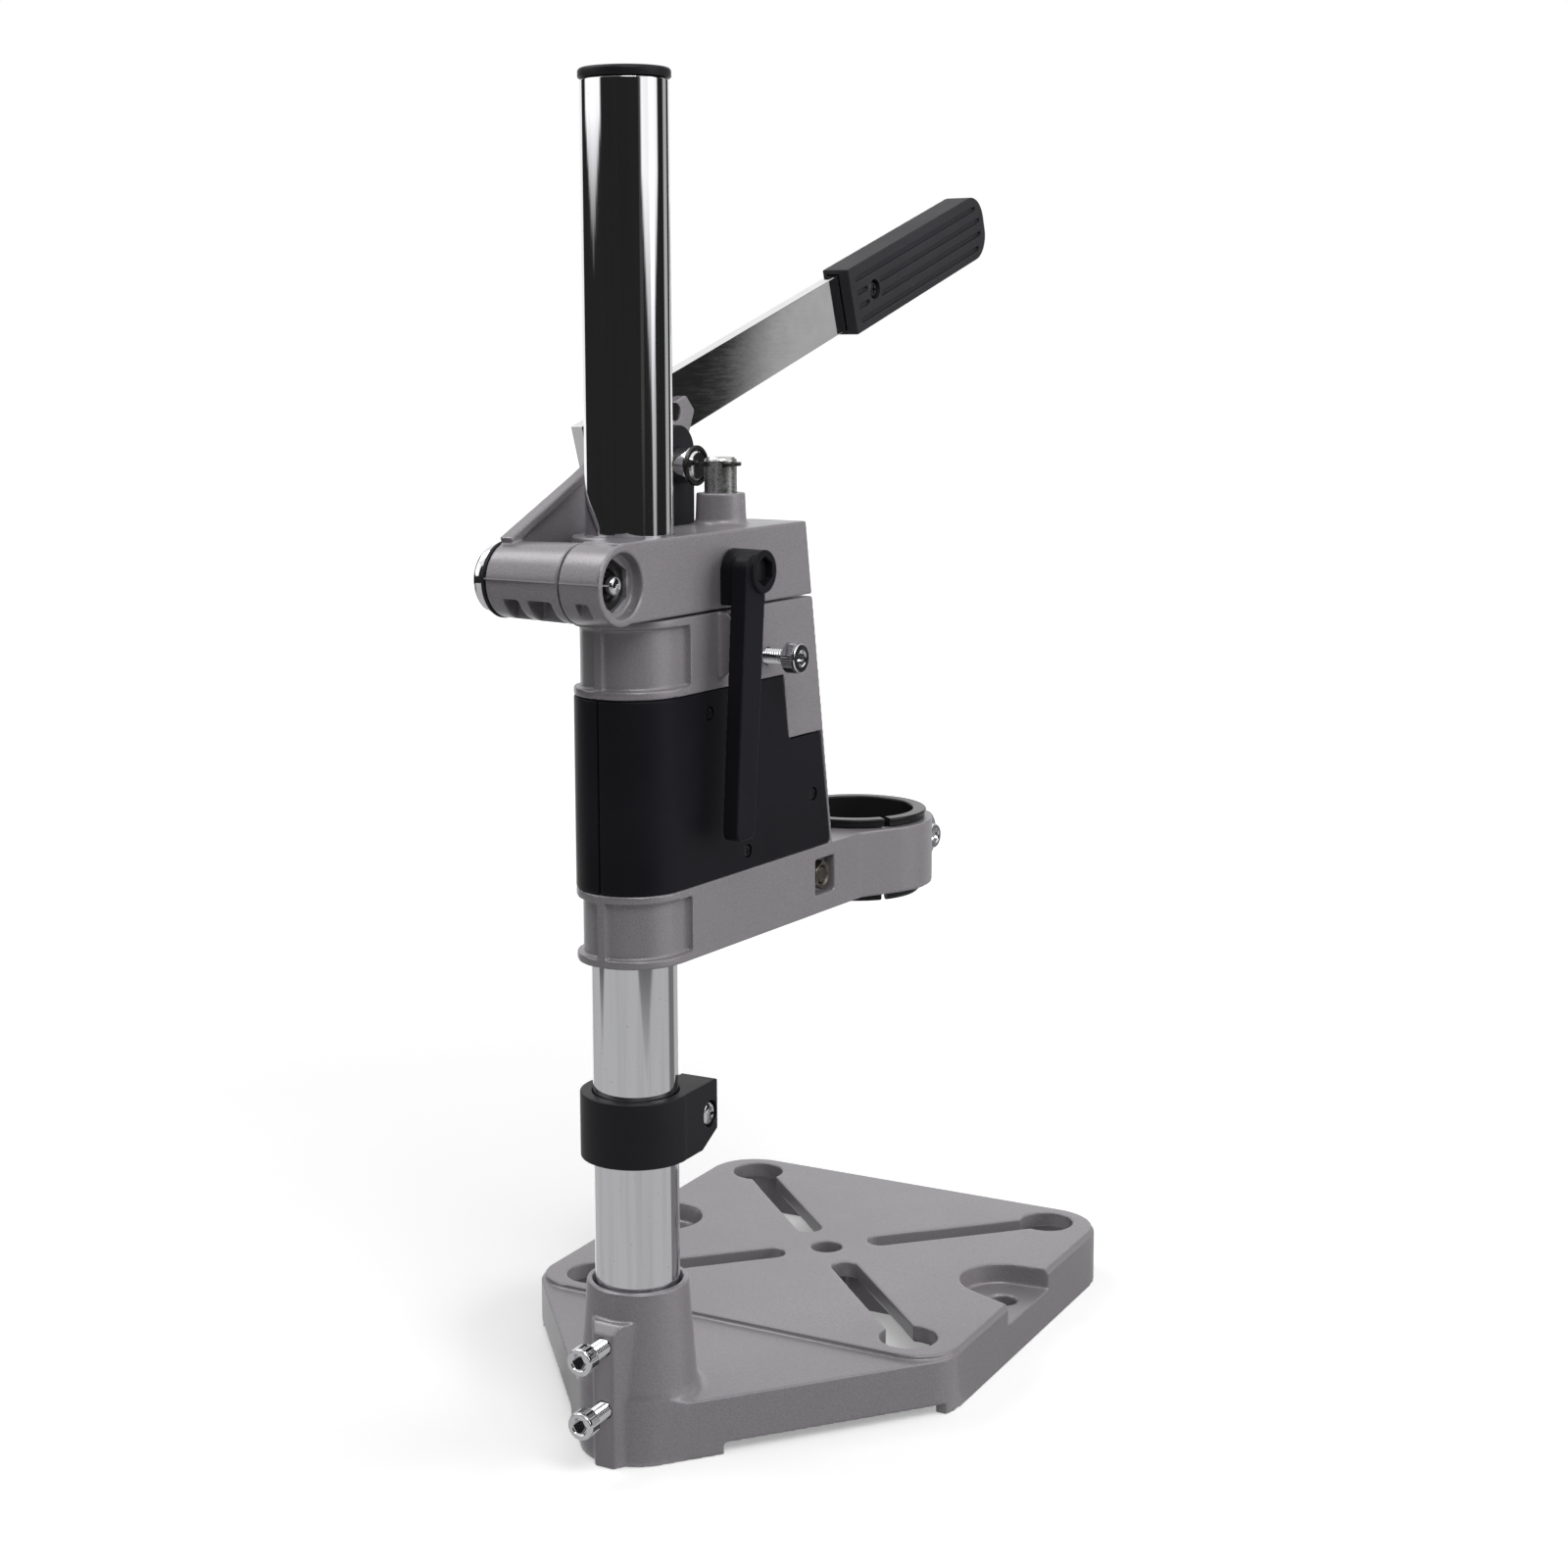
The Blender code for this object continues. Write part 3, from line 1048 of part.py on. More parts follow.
def collar_tools():
    """The collar's bore, slit and screw hole, the nut pocket and the arm's hollow underside."""
    low, high = ARM_BOTTOM - OVERRUN, ARM_TOP + OVERRUN
    wide = SIDE_PLANE + OVERRUN
    front = COLLAR_Y - COLLAR_LUG_PLACE - COLLAR_LUG_RADIUS
    screw_y, screw_z = collar_screw_place()
    tools = [moved(rod(COLLAR_BORE_RADIUS, low, high, ROUND_STEPS), 0, COLLAR_Y)]
    half_slit = COLLAR_SLIT / 2
    tools.append(box((-half_slit, front - OVERRUN, low), (half_slit, COLLAR_Y, high)))
    tools.append(along_x(rod(COLLAR_SCREW_RADIUS + GAP, -wide, wide), screw_y, screw_z))
    tools.append(along_x(rod(ARM_BOLT_RADIUS + GAP, -wide, wide), ARM_NUT_Y, ARM_NUT_Z))
    half = ARM_POCKET_HALF
    pocket = box((-wide, -half, -half), (-SIDE_PLANE + ARM_POCKET_DEPTH, half, half))
    tools.append(moved(pocket, 0, ARM_NUT_Y, ARM_NUT_Z))
    return tools


def cover_pads():
    """Pads inside the window that the cover screws bite into."""
    inner = SIDE_PLANE - COVER_THICKNESS - GAP
    half = COVER_PAD_RADIUS
    y, z = COVER_SCREW_PLACES["middle"]
    pads = [box((-inner, y - half, ARM_TOP - OVERRUN), (inner, y + half, z + half))]
    y, z = COVER_SCREW_PLACES["rear"]
    upper_corner = (inner, -COLUMN_RADIUS - OVERRUN, UPPER_RING_BOTTOM + OVERRUN)
    pads.append(box((-inner, y - half, z - half), upper_corner))
    y, z = COVER_SCREW_PLACES["front"]
    pads.append(box((-inner, front_wall(z) + FRONT_WALL / 2, z - half), (inner, y + half, z + half)))
    return pads


def cover_screw_holes():
    """Blind holes for the cover screws, from both sides."""
    tools = []
    outer = SIDE_PLANE + OVERRUN
    inner = SIDE_PLANE - COVER_THICKNESS - COVER_SCREW_LENGTH
    for y, z in COVER_SCREW_PLACES.values():
        for sign in (1, -1):
            ends = sorted((sign * outer, sign * inner))
            tools.append(along_x(rod(COVER_SCREW_RADIUS + GAP, ends[0], ends[1], TINY_STEPS), y, z))
    return tools


def cover_side(inset, near, far):
    """The cover's side view as a plate between two x values."""
    low, high = ARM_TOP + GAP + inset, UPPER_RING_BOTTOM - GAP - inset
    front = COVER_FRONT_INSET + inset
    step_z = COVER_STEP_Z - inset
    outline = [
        (0, low),
        (front_wall(low) + front, low),
        (front_wall(step_z) + front, step_z),
        (COVER_STEP_Y - (high - step_z) * FRONT_LEAN_SHARE + inset, step_z),
        (COVER_STEP_Y + inset, high),
        (0, high),
    ]
    return side_plate(outline[::-1], near, far)


def make_covers(head, look):
    """Two plastic shells that meet behind the column and hide the spring."""
    low, high = ARM_TOP + GAP, UPPER_RING_BOTTOM - GAP
    inner_x = SIDE_PLANE - COVER_THICKNESS
    seam = 90 - math.degrees(COVER_SEAM / SIDE_PLANE)
    for name, sign in (("cover_left", -1), ("cover_right", 1)):
        near, far = sorted((sign * inner_x, sign * SIDE_PLANE))
        shell = put(name, cover_side(0, near, far), head, look["plastic"])
        quarter = arc((0, 0), SIDE_PLANE, 0, seam, END_STEPS) + arc((0, 0), inner_x, seam, 0, END_STEPS)
        quarter += [(inner_x, -OVERRUN), (SIDE_PLANE, -OVERRUN)]
        quarter = [(sign * x, y) for x, y in quarter]
        fuse(shell, [prism(quarter, low, high)])
        tools = []
        for y, z in COVER_SCREW_PLACES.values():
            ends = sorted((sign * (inner_x - OVERRUN), sign * (SIDE_PLANE + OVERRUN)))
            tools.append(along_x(rod(COVER_SCREW_RADIUS + GAP, ends[0], ends[1], TINY_STEPS), y, z))
            ends = sorted((sign * (SIDE_PLANE - COVER_THICKNESS / 2), sign * (SIDE_PLANE + OVERRUN)))
            tools.append(along_x(rod(COVER_SCREW_HEAD_RADIUS + GAP, ends[0], ends[1], TINY_STEPS), y, z))
        cut(shell, tools)
        for place, (y, z) in COVER_SCREW_PLACES.items():
            seat = SIDE_PLANE - COVER_THICKNESS / 2 + GAP / 2
            tip = SIDE_PLANE - COVER_THICKNESS - COVER_SCREW_LENGTH + 2 * GAP
            screw = lathe([
                (COVER_SCREW_RADIUS, sign * tip),
                (COVER_SCREW_RADIUS, sign * seat),
                (COVER_SCREW_HEAD_RADIUS, sign * seat),
                (COVER_SCREW_HEAD_RADIUS, sign * (seat + COVER_SCREW_HEAD_LENGTH - GAP)),
            ], TINY_STEPS)
            put(f"{name}_screw_{place}", along_x(screw, y, z), head, look["dark_steel"])


def make_lock_screw(head, look):
    """The socket head screw that locks the carriage on the rod."""
    seat = LOCK_REACH - LOCK_HEAD_LENGTH
    tip = ROD_RADIUS + 2 * GAP
    screw = socket_screw("lock_screw", head, look, tip, seat, head_length=LOCK_HEAD_LENGTH)
    screw.data.transform(Matrix.Translation((0, ROD_Y, LOCK_Z)) @ Matrix.Rotation(-QUARTER_TURN, 4, "Y"))


def make_link_screw(head, look):
    """The screw on the carriage that the link's lower eye runs on."""
    seat = LINK_FAR_X + GAP
    top = seat + LINK_SCREW_HEAD_LENGTH
    body = lathe([
        (LINK_PIN_RADIUS, ROD_RADIUS + LINK_SCREW_CLEARANCE),
        (LINK_PIN_RADIUS, seat),
        (LINK_SCREW_HEAD_RADIUS, seat),
        (LINK_SCREW_HEAD_RADIUS, top),
    ], TURNED_STEPS)
    screw = put("link_lower_screw", along_x(body, LINK_TOP_Y, LINK_BOTTOM_Z), head, look["chrome"])
    key = rod(SCREW_KEY_RADIUS, top - LINK_SCREW_HEAD_LENGTH / 2, top + OVERRUN, HEX_STEPS)
    cut(screw, [along_x(key, LINK_TOP_Y, LINK_BOTTOM_Z)])


def make_collar_parts(head, look):
    """The plastic reducer in the collar, the collar's screw and nut, and the bolt across the arm."""
    bottom = ARM_BOTTOM - REDUCER_DROP
    sleeve = COLLAR_BORE_RADIUS - GAP
    seat = ARM_TOP + GAP
    top = seat + REDUCER_FLANGE_THICKNESS
    rim = top - REDUCER_RIM_THICKNESS
    reducer = lathe([
        (REDUCER_BORE_RADIUS, bottom),
        (sleeve, bottom),
        (sleeve, seat),
        (REDUCER_NECK_RADIUS, seat),
        (REDUCER_NECK_RADIUS, rim),
        (REDUCER_FLANGE_RADIUS, rim),
        (REDUCER_FLANGE_RADIUS, top - REDUCER_LIP),
        (REDUCER_FLANGE_RADIUS - REDUCER_LIP, top),
        (REDUCER_BORE_RADIUS, top),
        (REDUCER_BORE_RADIUS, bottom),
    ])
    ring = put("collar_reducer", moved(reducer, 0, COLLAR_Y), head, look["plastic"])
    half_slit = COLLAR_SLIT / 2
    slit = box((0, -half_slit, bottom - OVERRUN), (COLLAR_RADIUS, half_slit, top + OVERRUN))
    slit.transform(Matrix.Rotation(REDUCER_SLIT_ANGLE, 4, "Z"))
    cut(ring, [moved(slit, 0, COLLAR_Y)])
    screw_y, screw_z = collar_screw_place()
    half = COLLAR_LUG_HALF
    nut_length = STOP_NUT_LENGTH
    screw = socket_screw("collar_screw", head, look, -half - nut_length - 2 * GAP, half + GAP,
                         head_length=STOP_NUT_LENGTH)
    screw.data.transform(Matrix.Translation((0, screw_y, screw_z)) @ Matrix.Rotation(-QUARTER_TURN, 4, "Y"))
    nut = nut_ring(ARM_NUT_RADIUS, COLLAR_SCREW_RADIUS, half + GAP, half + GAP + nut_length)
    put("collar_nut", along_x(nut, screw_y, screw_z), head, look["steel"])
    floor = -SIDE_PLANE + ARM_POCKET_DEPTH - GAP
    arm_nut = nut_ring(ARM_NUT_RADIUS, ARM_BOLT_RADIUS, floor - ARM_NUT_LENGTH, floor)
    put("arm_nut", along_x(arm_nut, ARM_NUT_Y, ARM_NUT_Z), head, look["steel"])
    head_seat = SIDE_PLANE + GAP
    bolt = socket_screw("arm_bolt", head, look, floor - ARM_NUT_LENGTH + GAP, head_seat,
                        head_length=ARM_BOLT_HEAD_LENGTH)
    place = Matrix.Translation((0, ARM_NUT_Y, ARM_NUT_Z))
    bolt.data.transform(place @ Matrix.Rotation(QUARTER_TURN, 4, "Y"))


def along_bar(station, lift):
    """A place in the hand lever's plane: how far out along the bar, and how far above the pivot's line."""
    forward = station * math.cos(BAR_ANGLE) - lift * math.sin(BAR_ANGLE)
    up = station * math.sin(BAR_ANGLE) + lift * math.cos(BAR_ANGLE)
    return -forward, up


def bar_plate(points, near, far):
    """A plate in the lever's plane from stations and lifts."""
    return side_plate([along_bar(station, lift) for station, lift in points], near, far)


def make_hand_lever(head, look):
    """The cast rocker, the flat bar bolted to it and the grip; places are from the rear pivot."""
    pivot = empty("lever_pivot", (0, PIVOT_Y, PIVOT_Z), head)
    low_lift = BAR_LIFT - BAR_WIDTH / 2
    high_lift = BAR_LIFT + BAR_WIDTH / 2
    pin_y, pin_z = LINK_TOP_Y - PIVOT_Y, LINK_TOP_Z - PIVOT_Z
    barrel = along_x(rod(BARREL_RADIUS, BARREL_NEAR_X, BARREL_FAR_X, ROUND_STEPS), 0, 0)
    rocker = put("rocker_arm", barrel, pivot, look["paint"])
    fuse(rocker, rocker_shapes(pin_y, pin_z, low_lift))
    near, far = BARREL_NEAR_X - OVERRUN, BARREL_FAR_X + OVERRUN
    tools = [along_x(rod(PIVOT_BOLT_RADIUS + GAP, near, far), 0, 0)]
    tools.append(along_x(rod(LINK_PIN_RADIUS + GAP, ARM_NEAR_X - OVERRUN, far), pin_y, pin_z))
    for station in BAR_BOLT_STATIONS.values():
        y, z = along_bar(station, BAR_LIFT)
        tools.append(along_x(rod(BAR_BOLT_RADIUS + GAP, ARM_NEAR_X - OVERRUN, far), y, z))
    for start, end in BARREL_POCKETS:
        low_corner = (start, BARREL_POCKET_START, -BARREL_RADIUS - OVERRUN)
        high_corner = (end, BARREL_RADIUS, -BARREL_POCKET_DROP)
        tools.append(box(low_corner, high_corner))
    cut(rocker, tools)
    make_bar(pivot, look, low_lift, high_lift)
    make_grip(pivot, look)
    make_link_bolt(pivot, look, pin_y, pin_z)
    return pivot


def rocker_shapes(pin_y, pin_z, low_lift):
    """The rocker's web, flanges, bar pad and link eye."""
    web_near = BARREL_FAR_X - WEB_THICKNESS
    half = FLANGE / 2
    start = along_bar(BAR_START, BAR_LIFT)
    rear_top = (BARREL_RADIUS * math.sin(BAR_ANGLE), BARREL_RADIUS * math.cos(BAR_ANGLE))
    low_front = (pin_y, pin_z - LINK_END_RADIUS)
    foot = (-BARREL_RADIUS / 2, -BARREL_RADIUS * math.cos(BAR_ANGLE) + FLANGE / 2)
    tip = along_bar(TIP_REACH, BAR_LIFT)
    web = side_plate([rear_top, foot, low_front, tip, start], web_near, BARREL_FAR_X)
    top_end = along_bar(BAR_START + FLANGE, BAR_LIFT - half)
    web_top = strip(rear_top, top_end, FLANGE, ARM_NEAR_X, BARREL_FAR_X)
    web_foot = strip(foot, low_front, FLANGE, ARM_NEAR_X, BARREL_FAR_X)
    pad = bar_plate([
        (BAR_START, low_lift + FLANGE), (TIP_REACH - 2 * FLANGE, low_lift), (TIP_REACH, BAR_LIFT - FLANGE),
        (TIP_REACH - FLANGE, BAR_LIFT + FLANGE), (BAR_START, BAR_LIFT + FLANGE),
    ], ARM_NEAR_X, BARREL_FAR_X)
    eye = along_x(rod(LINK_END_RADIUS + FLANGE / 2, ARM_NEAR_X, BARREL_FAR_X, TURNED_STEPS), pin_y, pin_z)
    return [web, web_top, web_foot, pad, eye]


def strip(start, end, width, near, far):
    """A straight flange between two points of the lever's plane."""
    way = math.atan2(end[1] - start[1], end[0] - start[0])
    dy, dz = -math.sin(way) * width / 2, math.cos(way) * width / 2
    corners = [(start[0] + dy, start[1] + dz), (start[0] - dy, start[1] - dz)]
    corners += [(end[0] - dy, end[1] - dz), (end[0] + dy, end[1] + dz)]
    return side_plate(corners, near, far)


def make_bar(pivot, look, low_lift, high_lift):
    """The flat chromed bar and the two bolts that hold it to the rocker."""
    outline = [(BAR_START, low_lift), (BAR_END, low_lift), (BAR_END, high_lift), (BAR_START, high_lift)]
    bar = put("lever_bar", bar_plate(outline, BAR_NEAR_X, BAR_FAR_X), pivot, look["chrome"])
    near, far = BAR_NEAR_X - OVERRUN, BAR_FAR_X + OVERRUN
    tools = []
    for station in (*BAR_BOLT_STATIONS.values(), GRIP_SCREW_STATION):
        y, z = along_bar(station, BAR_LIFT)
        tools.append(along_x(rod(BAR_BOLT_RADIUS + GAP, near, far), y, z))
    cut(bar, tools)
    seat = BAR_FAR_X + GAP
    for name, station in BAR_BOLT_STATIONS.items():
        y, z = along_bar(station, BAR_LIFT)
        bolt = lathe([
            (BAR_BOLT_RADIUS, ARM_NEAR_X + GAP),
            (BAR_BOLT_RADIUS, seat),
            (BAR_BOLT_HEAD_RADIUS, seat),
            (BAR_BOLT_HEAD_RADIUS, seat + BAR_BOLT_HEAD_LENGTH / 2),
            (BAR_BOLT_HEAD_RADIUS * BOLT_DOME_SHARE, seat + BAR_BOLT_HEAD_LENGTH),
        ], SMALL_STEPS)
        put(f"bar_bolt_{name}", along_x(bolt, y, z), pivot, look["chrome"])


def grip_outline():
    """The grip's side view: square at the bar, round at the hand's end."""
    low, high = BAR_LIFT - GRIP_WIDTH / 2, BAR_LIFT + GRIP_WIDTH / 2
    centre = GRIP_END - GRIP_CORNER
    under = arc((centre, low + GRIP_CORNER), GRIP_CORNER, 270, 360, CORNER_STEPS)
    over = arc((centre, high - GRIP_CORNER), GRIP_CORNER, 0, 90, CORNER_STEPS)
    return [(GRIP_START, low), *under, *over, (GRIP_START, high)]


def make_grip(pivot, look):
    """The plastic grip over the bar's end, and the screw that holds it."""
    near = BAR_NEAR_X - GRIP_NEAR_WALL
    far = BAR_FAR_X + GRIP_FAR_WALL
    grip = put("lever_grip", bar_plate(grip_outline(), near, far), pivot, look["plastic"])
    low, high = BAR_LIFT - BAR_WIDTH / 2 - GAP, BAR_LIFT + BAR_WIDTH / 2 + GAP
    pocket_end = BAR_END + GAP
    mouth = GRIP_START - OVERRUN
    pocket = [(mouth, low), (pocket_end, low), (pocket_end, high), (mouth, high)]
    y, z = along_bar(GRIP_SCREW_STATION, BAR_LIFT)
    cut(grip, [
        bar_plate(pocket, BAR_NEAR_X - GAP, BAR_FAR_X + GAP),
        along_x(rod(GRIP_SCREW_RADIUS + GAP, near - OVERRUN, BAR_FAR_X), y, z),
        along_x(rod(GRIP_COUNTERBORE_RADIUS, near - OVERRUN, near + GRIP_COUNTERBORE_DEPTH), y, z),
    ])
    seat = near + GRIP_COUNTERBORE_DEPTH - GAP
    screw = lathe([
        (GRIP_SCREW_HEAD_RADIUS, seat - GRIP_SCREW_HEAD_LENGTH),
        (GRIP_SCREW_HEAD_RADIUS, seat),
        (GRIP_SCREW_RADIUS, seat),
        (GRIP_SCREW_RADIUS, BAR_FAR_X),
    ], SMALL_STEPS)
    put("grip_screw", along_x(screw, y, z), pivot, look["dark_steel"])


def make_link_bolt(pivot, look, pin_y, pin_z):
    """The chromed shoulder bolt in the rocker's eye, with the black ring on its head."""
    seat = LINK_NEAR_X - GAP
    head = seat - LINK_HEAD_LENGTH
    ring = head + LINK_RING_THICKNESS
    bolt = lathe([
        (LINK_GROOVE_RADIUS - 2 * GAP, head - GAP),
        (LINK_GROOVE_RADIUS, head + GAP),
        (LINK_GROOVE_RADIUS, ring + GAP),
        (LINK_HEAD_RADIUS, ring + GAP),
        (LINK_HEAD_RADIUS, seat),
        (LINK_PIN_RADIUS, seat),
        (LINK_PIN_RADIUS, BARREL_FAR_X - GAP),
    ], TURNED_STEPS)
    put("link_bolt", along_x(bolt, pin_y, pin_z), pivot, look["chrome"])
    ring_shape = tube(LINK_RING_RADIUS, LINK_GROOVE_RADIUS + GAP, head, ring, TURNED_STEPS)
    put("link_bolt_ring", along_x(ring_shape, pin_y, pin_z), pivot, look["dark_steel"])


def make_link(head, look):
    """The black link between the rocker and the carriage; places are from its upper eye."""
    pivot = empty("link_pivot", (0, LINK_TOP_Y, LINK_TOP_Z), head)
    length = LINK_TOP_Z - LINK_BOTTOM_Z
    radius = LINK_END_RADIUS
    outline = arc((0, LINK_HEAD_RISE), radius, 0, 180, END_STEPS)
    outline += arc((0, -length), radius, 180, 360, END_STEPS)
    bar = put("link_bar", side_plate(outline, LINK_NEAR_X, LINK_FAR_X), pivot, look["plastic"])
    near, far = LINK_NEAR_X - OVERRUN, LINK_FAR_X + OVERRUN
    slot = slotted((-LINK_SLOT_REACH, -length), (LINK_SLOT_REACH, -length), LINK_SLOT_WIDTH)
    eye = along_x(rod(LINK_PIN_RADIUS + GAP, near, far, TURNED_STEPS), 0, 0)
    cut(bar, [eye, side_plate(slot, near, far)])


def main():
    clear_scene()
    look = make_materials()
    make_base(look)
    make_socket_screws(look)
    make_column(look)
    make_stop_collar(look)
    head = empty("head_frame", (0, 0, 0), None, HEAD_SWIVEL)
    make_block(head, look)
    make_pivot(head, look)
    seat_top = make_rod(head, look)
    make_spring(head, look, seat_top)
    make_clamp_lever(head, look)
    make_carriage(head, look)
    make_covers(head, look)
    make_lock_screw(head, look)
    make_link_screw(head, look)
    make_collar_parts(head, look)
    make_hand_lever(head, look)
    make_link(head, look)


main()
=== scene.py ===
"""The drill stand's looks: fine castings, screws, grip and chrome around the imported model.

Lengths are in metres. Pieces of the head are modelled in the head's own frame, which is turned a few
degrees about the column, and places inside a piece are worked out from the named sizes below.
"""

import math

import bmesh
import bpy
from mathutils import Matrix, Vector
from mathutils.geometry import convex_hull_2d


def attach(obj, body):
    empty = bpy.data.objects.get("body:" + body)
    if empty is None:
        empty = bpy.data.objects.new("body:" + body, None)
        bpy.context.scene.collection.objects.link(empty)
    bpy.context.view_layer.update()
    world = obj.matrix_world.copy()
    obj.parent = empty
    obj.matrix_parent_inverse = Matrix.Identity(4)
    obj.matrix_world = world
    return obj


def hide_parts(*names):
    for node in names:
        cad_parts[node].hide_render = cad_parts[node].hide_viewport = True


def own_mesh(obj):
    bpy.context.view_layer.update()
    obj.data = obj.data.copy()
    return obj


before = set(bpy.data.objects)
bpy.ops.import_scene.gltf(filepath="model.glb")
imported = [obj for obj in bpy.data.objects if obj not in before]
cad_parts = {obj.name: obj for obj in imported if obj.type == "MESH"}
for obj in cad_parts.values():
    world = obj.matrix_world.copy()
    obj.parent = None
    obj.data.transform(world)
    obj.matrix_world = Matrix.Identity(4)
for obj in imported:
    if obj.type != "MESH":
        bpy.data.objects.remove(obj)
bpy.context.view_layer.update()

# Fits and fineness
GAP = 0.0003
OVERRUN = 0.002
ROUND_STEPS = 96
SMALL_STEPS = 40
HEX_STEPS = 6
FINE_STEPS = 160
EDGE_STEPS = 8
CORNER_STEPS = 6
NOSE_STEPS = 16
SCREW_STEPS = 16
RIM_STEPS = 4
DOME_STEPS = 10
GRIP_DOME_STEPS = 5
QUARTER_TURN = math.pi / 2
HEAD_SWIVEL = math.radians(-4.965)
HEAD = Matrix.Rotation(HEAD_SWIVEL, 4, "Z")
UNTURNED = Matrix.Identity(4)
DETAIL = "_detail"

# Column
COLUMN_RADIUS = 0.0125
COLUMN_WALL = 0.0015
COLUMN_TOP = 0.3962
COLUMN_RIM = 0.0004
COLUMN_RINGS = 12
CAP_RADIUS = 0.0130
CAP_THICKNESS = 0.0028
CAP_EDGE = 0.0011
CAP_FLAT_SHARE = 0.6
CAP_PLUG_DEPTH = 0.0100
BORE_RADIUS = COLUMN_RADIUS + GAP
THROAT = 0.1245

# Base casting
BASE_HALF_WIDTH = 0.0745
BASE_FRONT = -0.1965
BASE_CORNER_RADIUS = 0.0175
DECK_HEIGHT = 0.0176
TABLE_HEIGHT = 0.0191
TABLE_REAR = -0.0535
TABLE_INSET = 0.0008
BASE_SKIN = 0.0040
SKIRT_WALL = 0.0035
RIB_WALL = 0.0046
ARCH_HEIGHT = 0.0035
ARCH_REAR = -0.0040
ARCH_FRONT = -0.0600
KEYHOLE_X = 0.0570
KEYHOLE_PITCH = 0.0575
KEYHOLE_RADIUS = 0.0090
SLOT_WIDTH = 0.0090
SLOT_INNER_REACH = 0.0195
CENTRE_HOLE_RADIUS = 0.00525
CENTRE_BOSS_RADIUS = 0.0090
BENCH_POCKET_X = 0.0645
BENCH_POCKET_RADIUS = 0.0140
BENCH_MOUTH_FRONT = 0.0155
BENCH_MOUTH_REAR = 0.0200
BENCH_POCKET_FLOOR = 0.0122
BENCH_HOLE_RADIUS = 0.0045
BENCH_COUNTERSINK = 0.0006
BENCH_BOSS_WALL = 0.0030
BENCH_BOSS_RADIUS = 0.0085
SOCKET_FOOT_RADIUS = 0.0178
SOCKET_DECK_RADIUS = 0.0176
SOCKET_TOP_RADIUS = 0.0150
SOCKET_HEIGHT = 0.0514
SOCKET_LIP = 0.0012
SOCKET_FILLET = 0.0032
SOCKET_FLOOR = 0.0040
SOCKET_RIB_WIDTH = 0.0066
SOCKET_RIB_DRAFT = 0.67
SOCKET_RIB_REACH = 0.0200
SOCKET_RIB_HEIGHT = 0.0430
SOCKET_RIB_CHAMFER = 0.0028
SOCKET_SCREW_HEIGHTS = {"lower": 0.0176, "upper": 0.0368}
SOCKET_SCREW_EXPOSED = 0.0083

# Screws
SCREW_RADIUS = 0.0025
SCREW_HOLE_RADIUS = SCREW_RADIUS + GAP
SCREW_HEAD_RADIUS = 0.0041
SCREW_HEAD_LENGTH = 0.0050
SCREW_KEY_RADIUS = 0.0023
SCREW_KEY_DEPTH = 0.0026
SCREW_KEY_FLOOR = 0.0012
SCREW_EDGE = 0.0005
THREAD_PITCH = 0.0008
THREAD_DEPTH = 0.0004
THREAD_RINGS = 6
SCREW_RIM_OVERLAP = 2.2
NUT_CROWN_SHARE = 0.6
KNURL_DEPTH = 0.00012
KNURL_COUNT = 36

# Stop collar
STOP_BOTTOM = 0.0890
STOP_HEIGHT = 0.0195
STOP_RADIUS = 0.0163
STOP_LUG_REACH = 0.0200
STOP_LUG_NEAR_X = 0.0162
STOP_LUG_FAR_X = 0.0080
STOP_LUG_CHAMFER = 0.0045
STOP_SLIT = 0.0016
STOP_SCREW_Y = -0.0158
STOP_SCREW_Z = 0.0098
STOP_SCREW_RADIUS = 0.0020
STOP_HEAD_RADIUS = 0.0036
STOP_HEAD_LENGTH = 0.0022
STOP_CROSS_DEPTH = 0.0009
STOP_CROSS_WIDTH = 0.0011
CROSS_REACH_SHARE = 0.6
STOP_SEAT_RADIUS = 0.0040
STOP_SEAT_DEPTH = 0.0026
STOP_NUT_RADIUS = 0.0040
STOP_NUT_LENGTH = 0.0030

# Upper block
SIDE_PLANE = 0.0164
BLOCK_BOTTOM = 0.2481
BLOCK_TOP = 0.2705
BLOCK_FRONT_TOP = -0.0684
FRONT_LEAN_SHARE = 0.1478
NOSE_FAR_X = 0.0076
NOSE_FAR_RADIUS = 0.0065
CLAMP_EAR_END = -0.0332
CLAMP_SLIT = 0.0010
CLAMP_SLIT_X = 0.0070
BLOCK_NECK_FAR_X = -0.0026

# Rear pivot
PIVOT_Y = 0.0256
PIVOT_Z = 0.2588
BARREL_RADIUS = 0.0113
BARREL_FAR_RADIUS = 0.0107
BARREL_RELIEF = 0.0004
BARREL_RECESS_RADIUS = 0.0091
BARREL_RECESS_DEPTH = 0.0038
BARREL_HEX_RADIUS = 0.0076
BARREL_HEX_DEPTH = 0.0045
PIVOT_BOLT_RADIUS = 0.0040
PIVOT_BOLT_TIP = 0.0022
PIVOT_BOLT_NOSE = 0.0011
PIVOT_TIP_RADIUS = 0.0027
PIVOT_DIMPLE_RADIUS = 0.0006
PIVOT_NUT_RADIUS = 0.0072
PIVOT_NUT_LENGTH = 0.0032
PIVOT_WASHER_RADIUS = 0.0109
PIVOT_WASHER_THICKNESS = 0.0011
KNOB_RADIUS = 0.0098
KNOB_LENGTH = 0.0062
KNOB_RIM_SHARE = 0.35
KNOB_STEPS = 14
BARREL_POCKET_DROP = 0.0044
BARREL_POCKETS = ((0.0010, 0.0094), (0.0124, 0.0180))
BARREL_POCKET_START = 0.0020
BLOCK_POCKET = (-0.0117, -0.0074)
BLOCK_POCKET_START = 0.0070
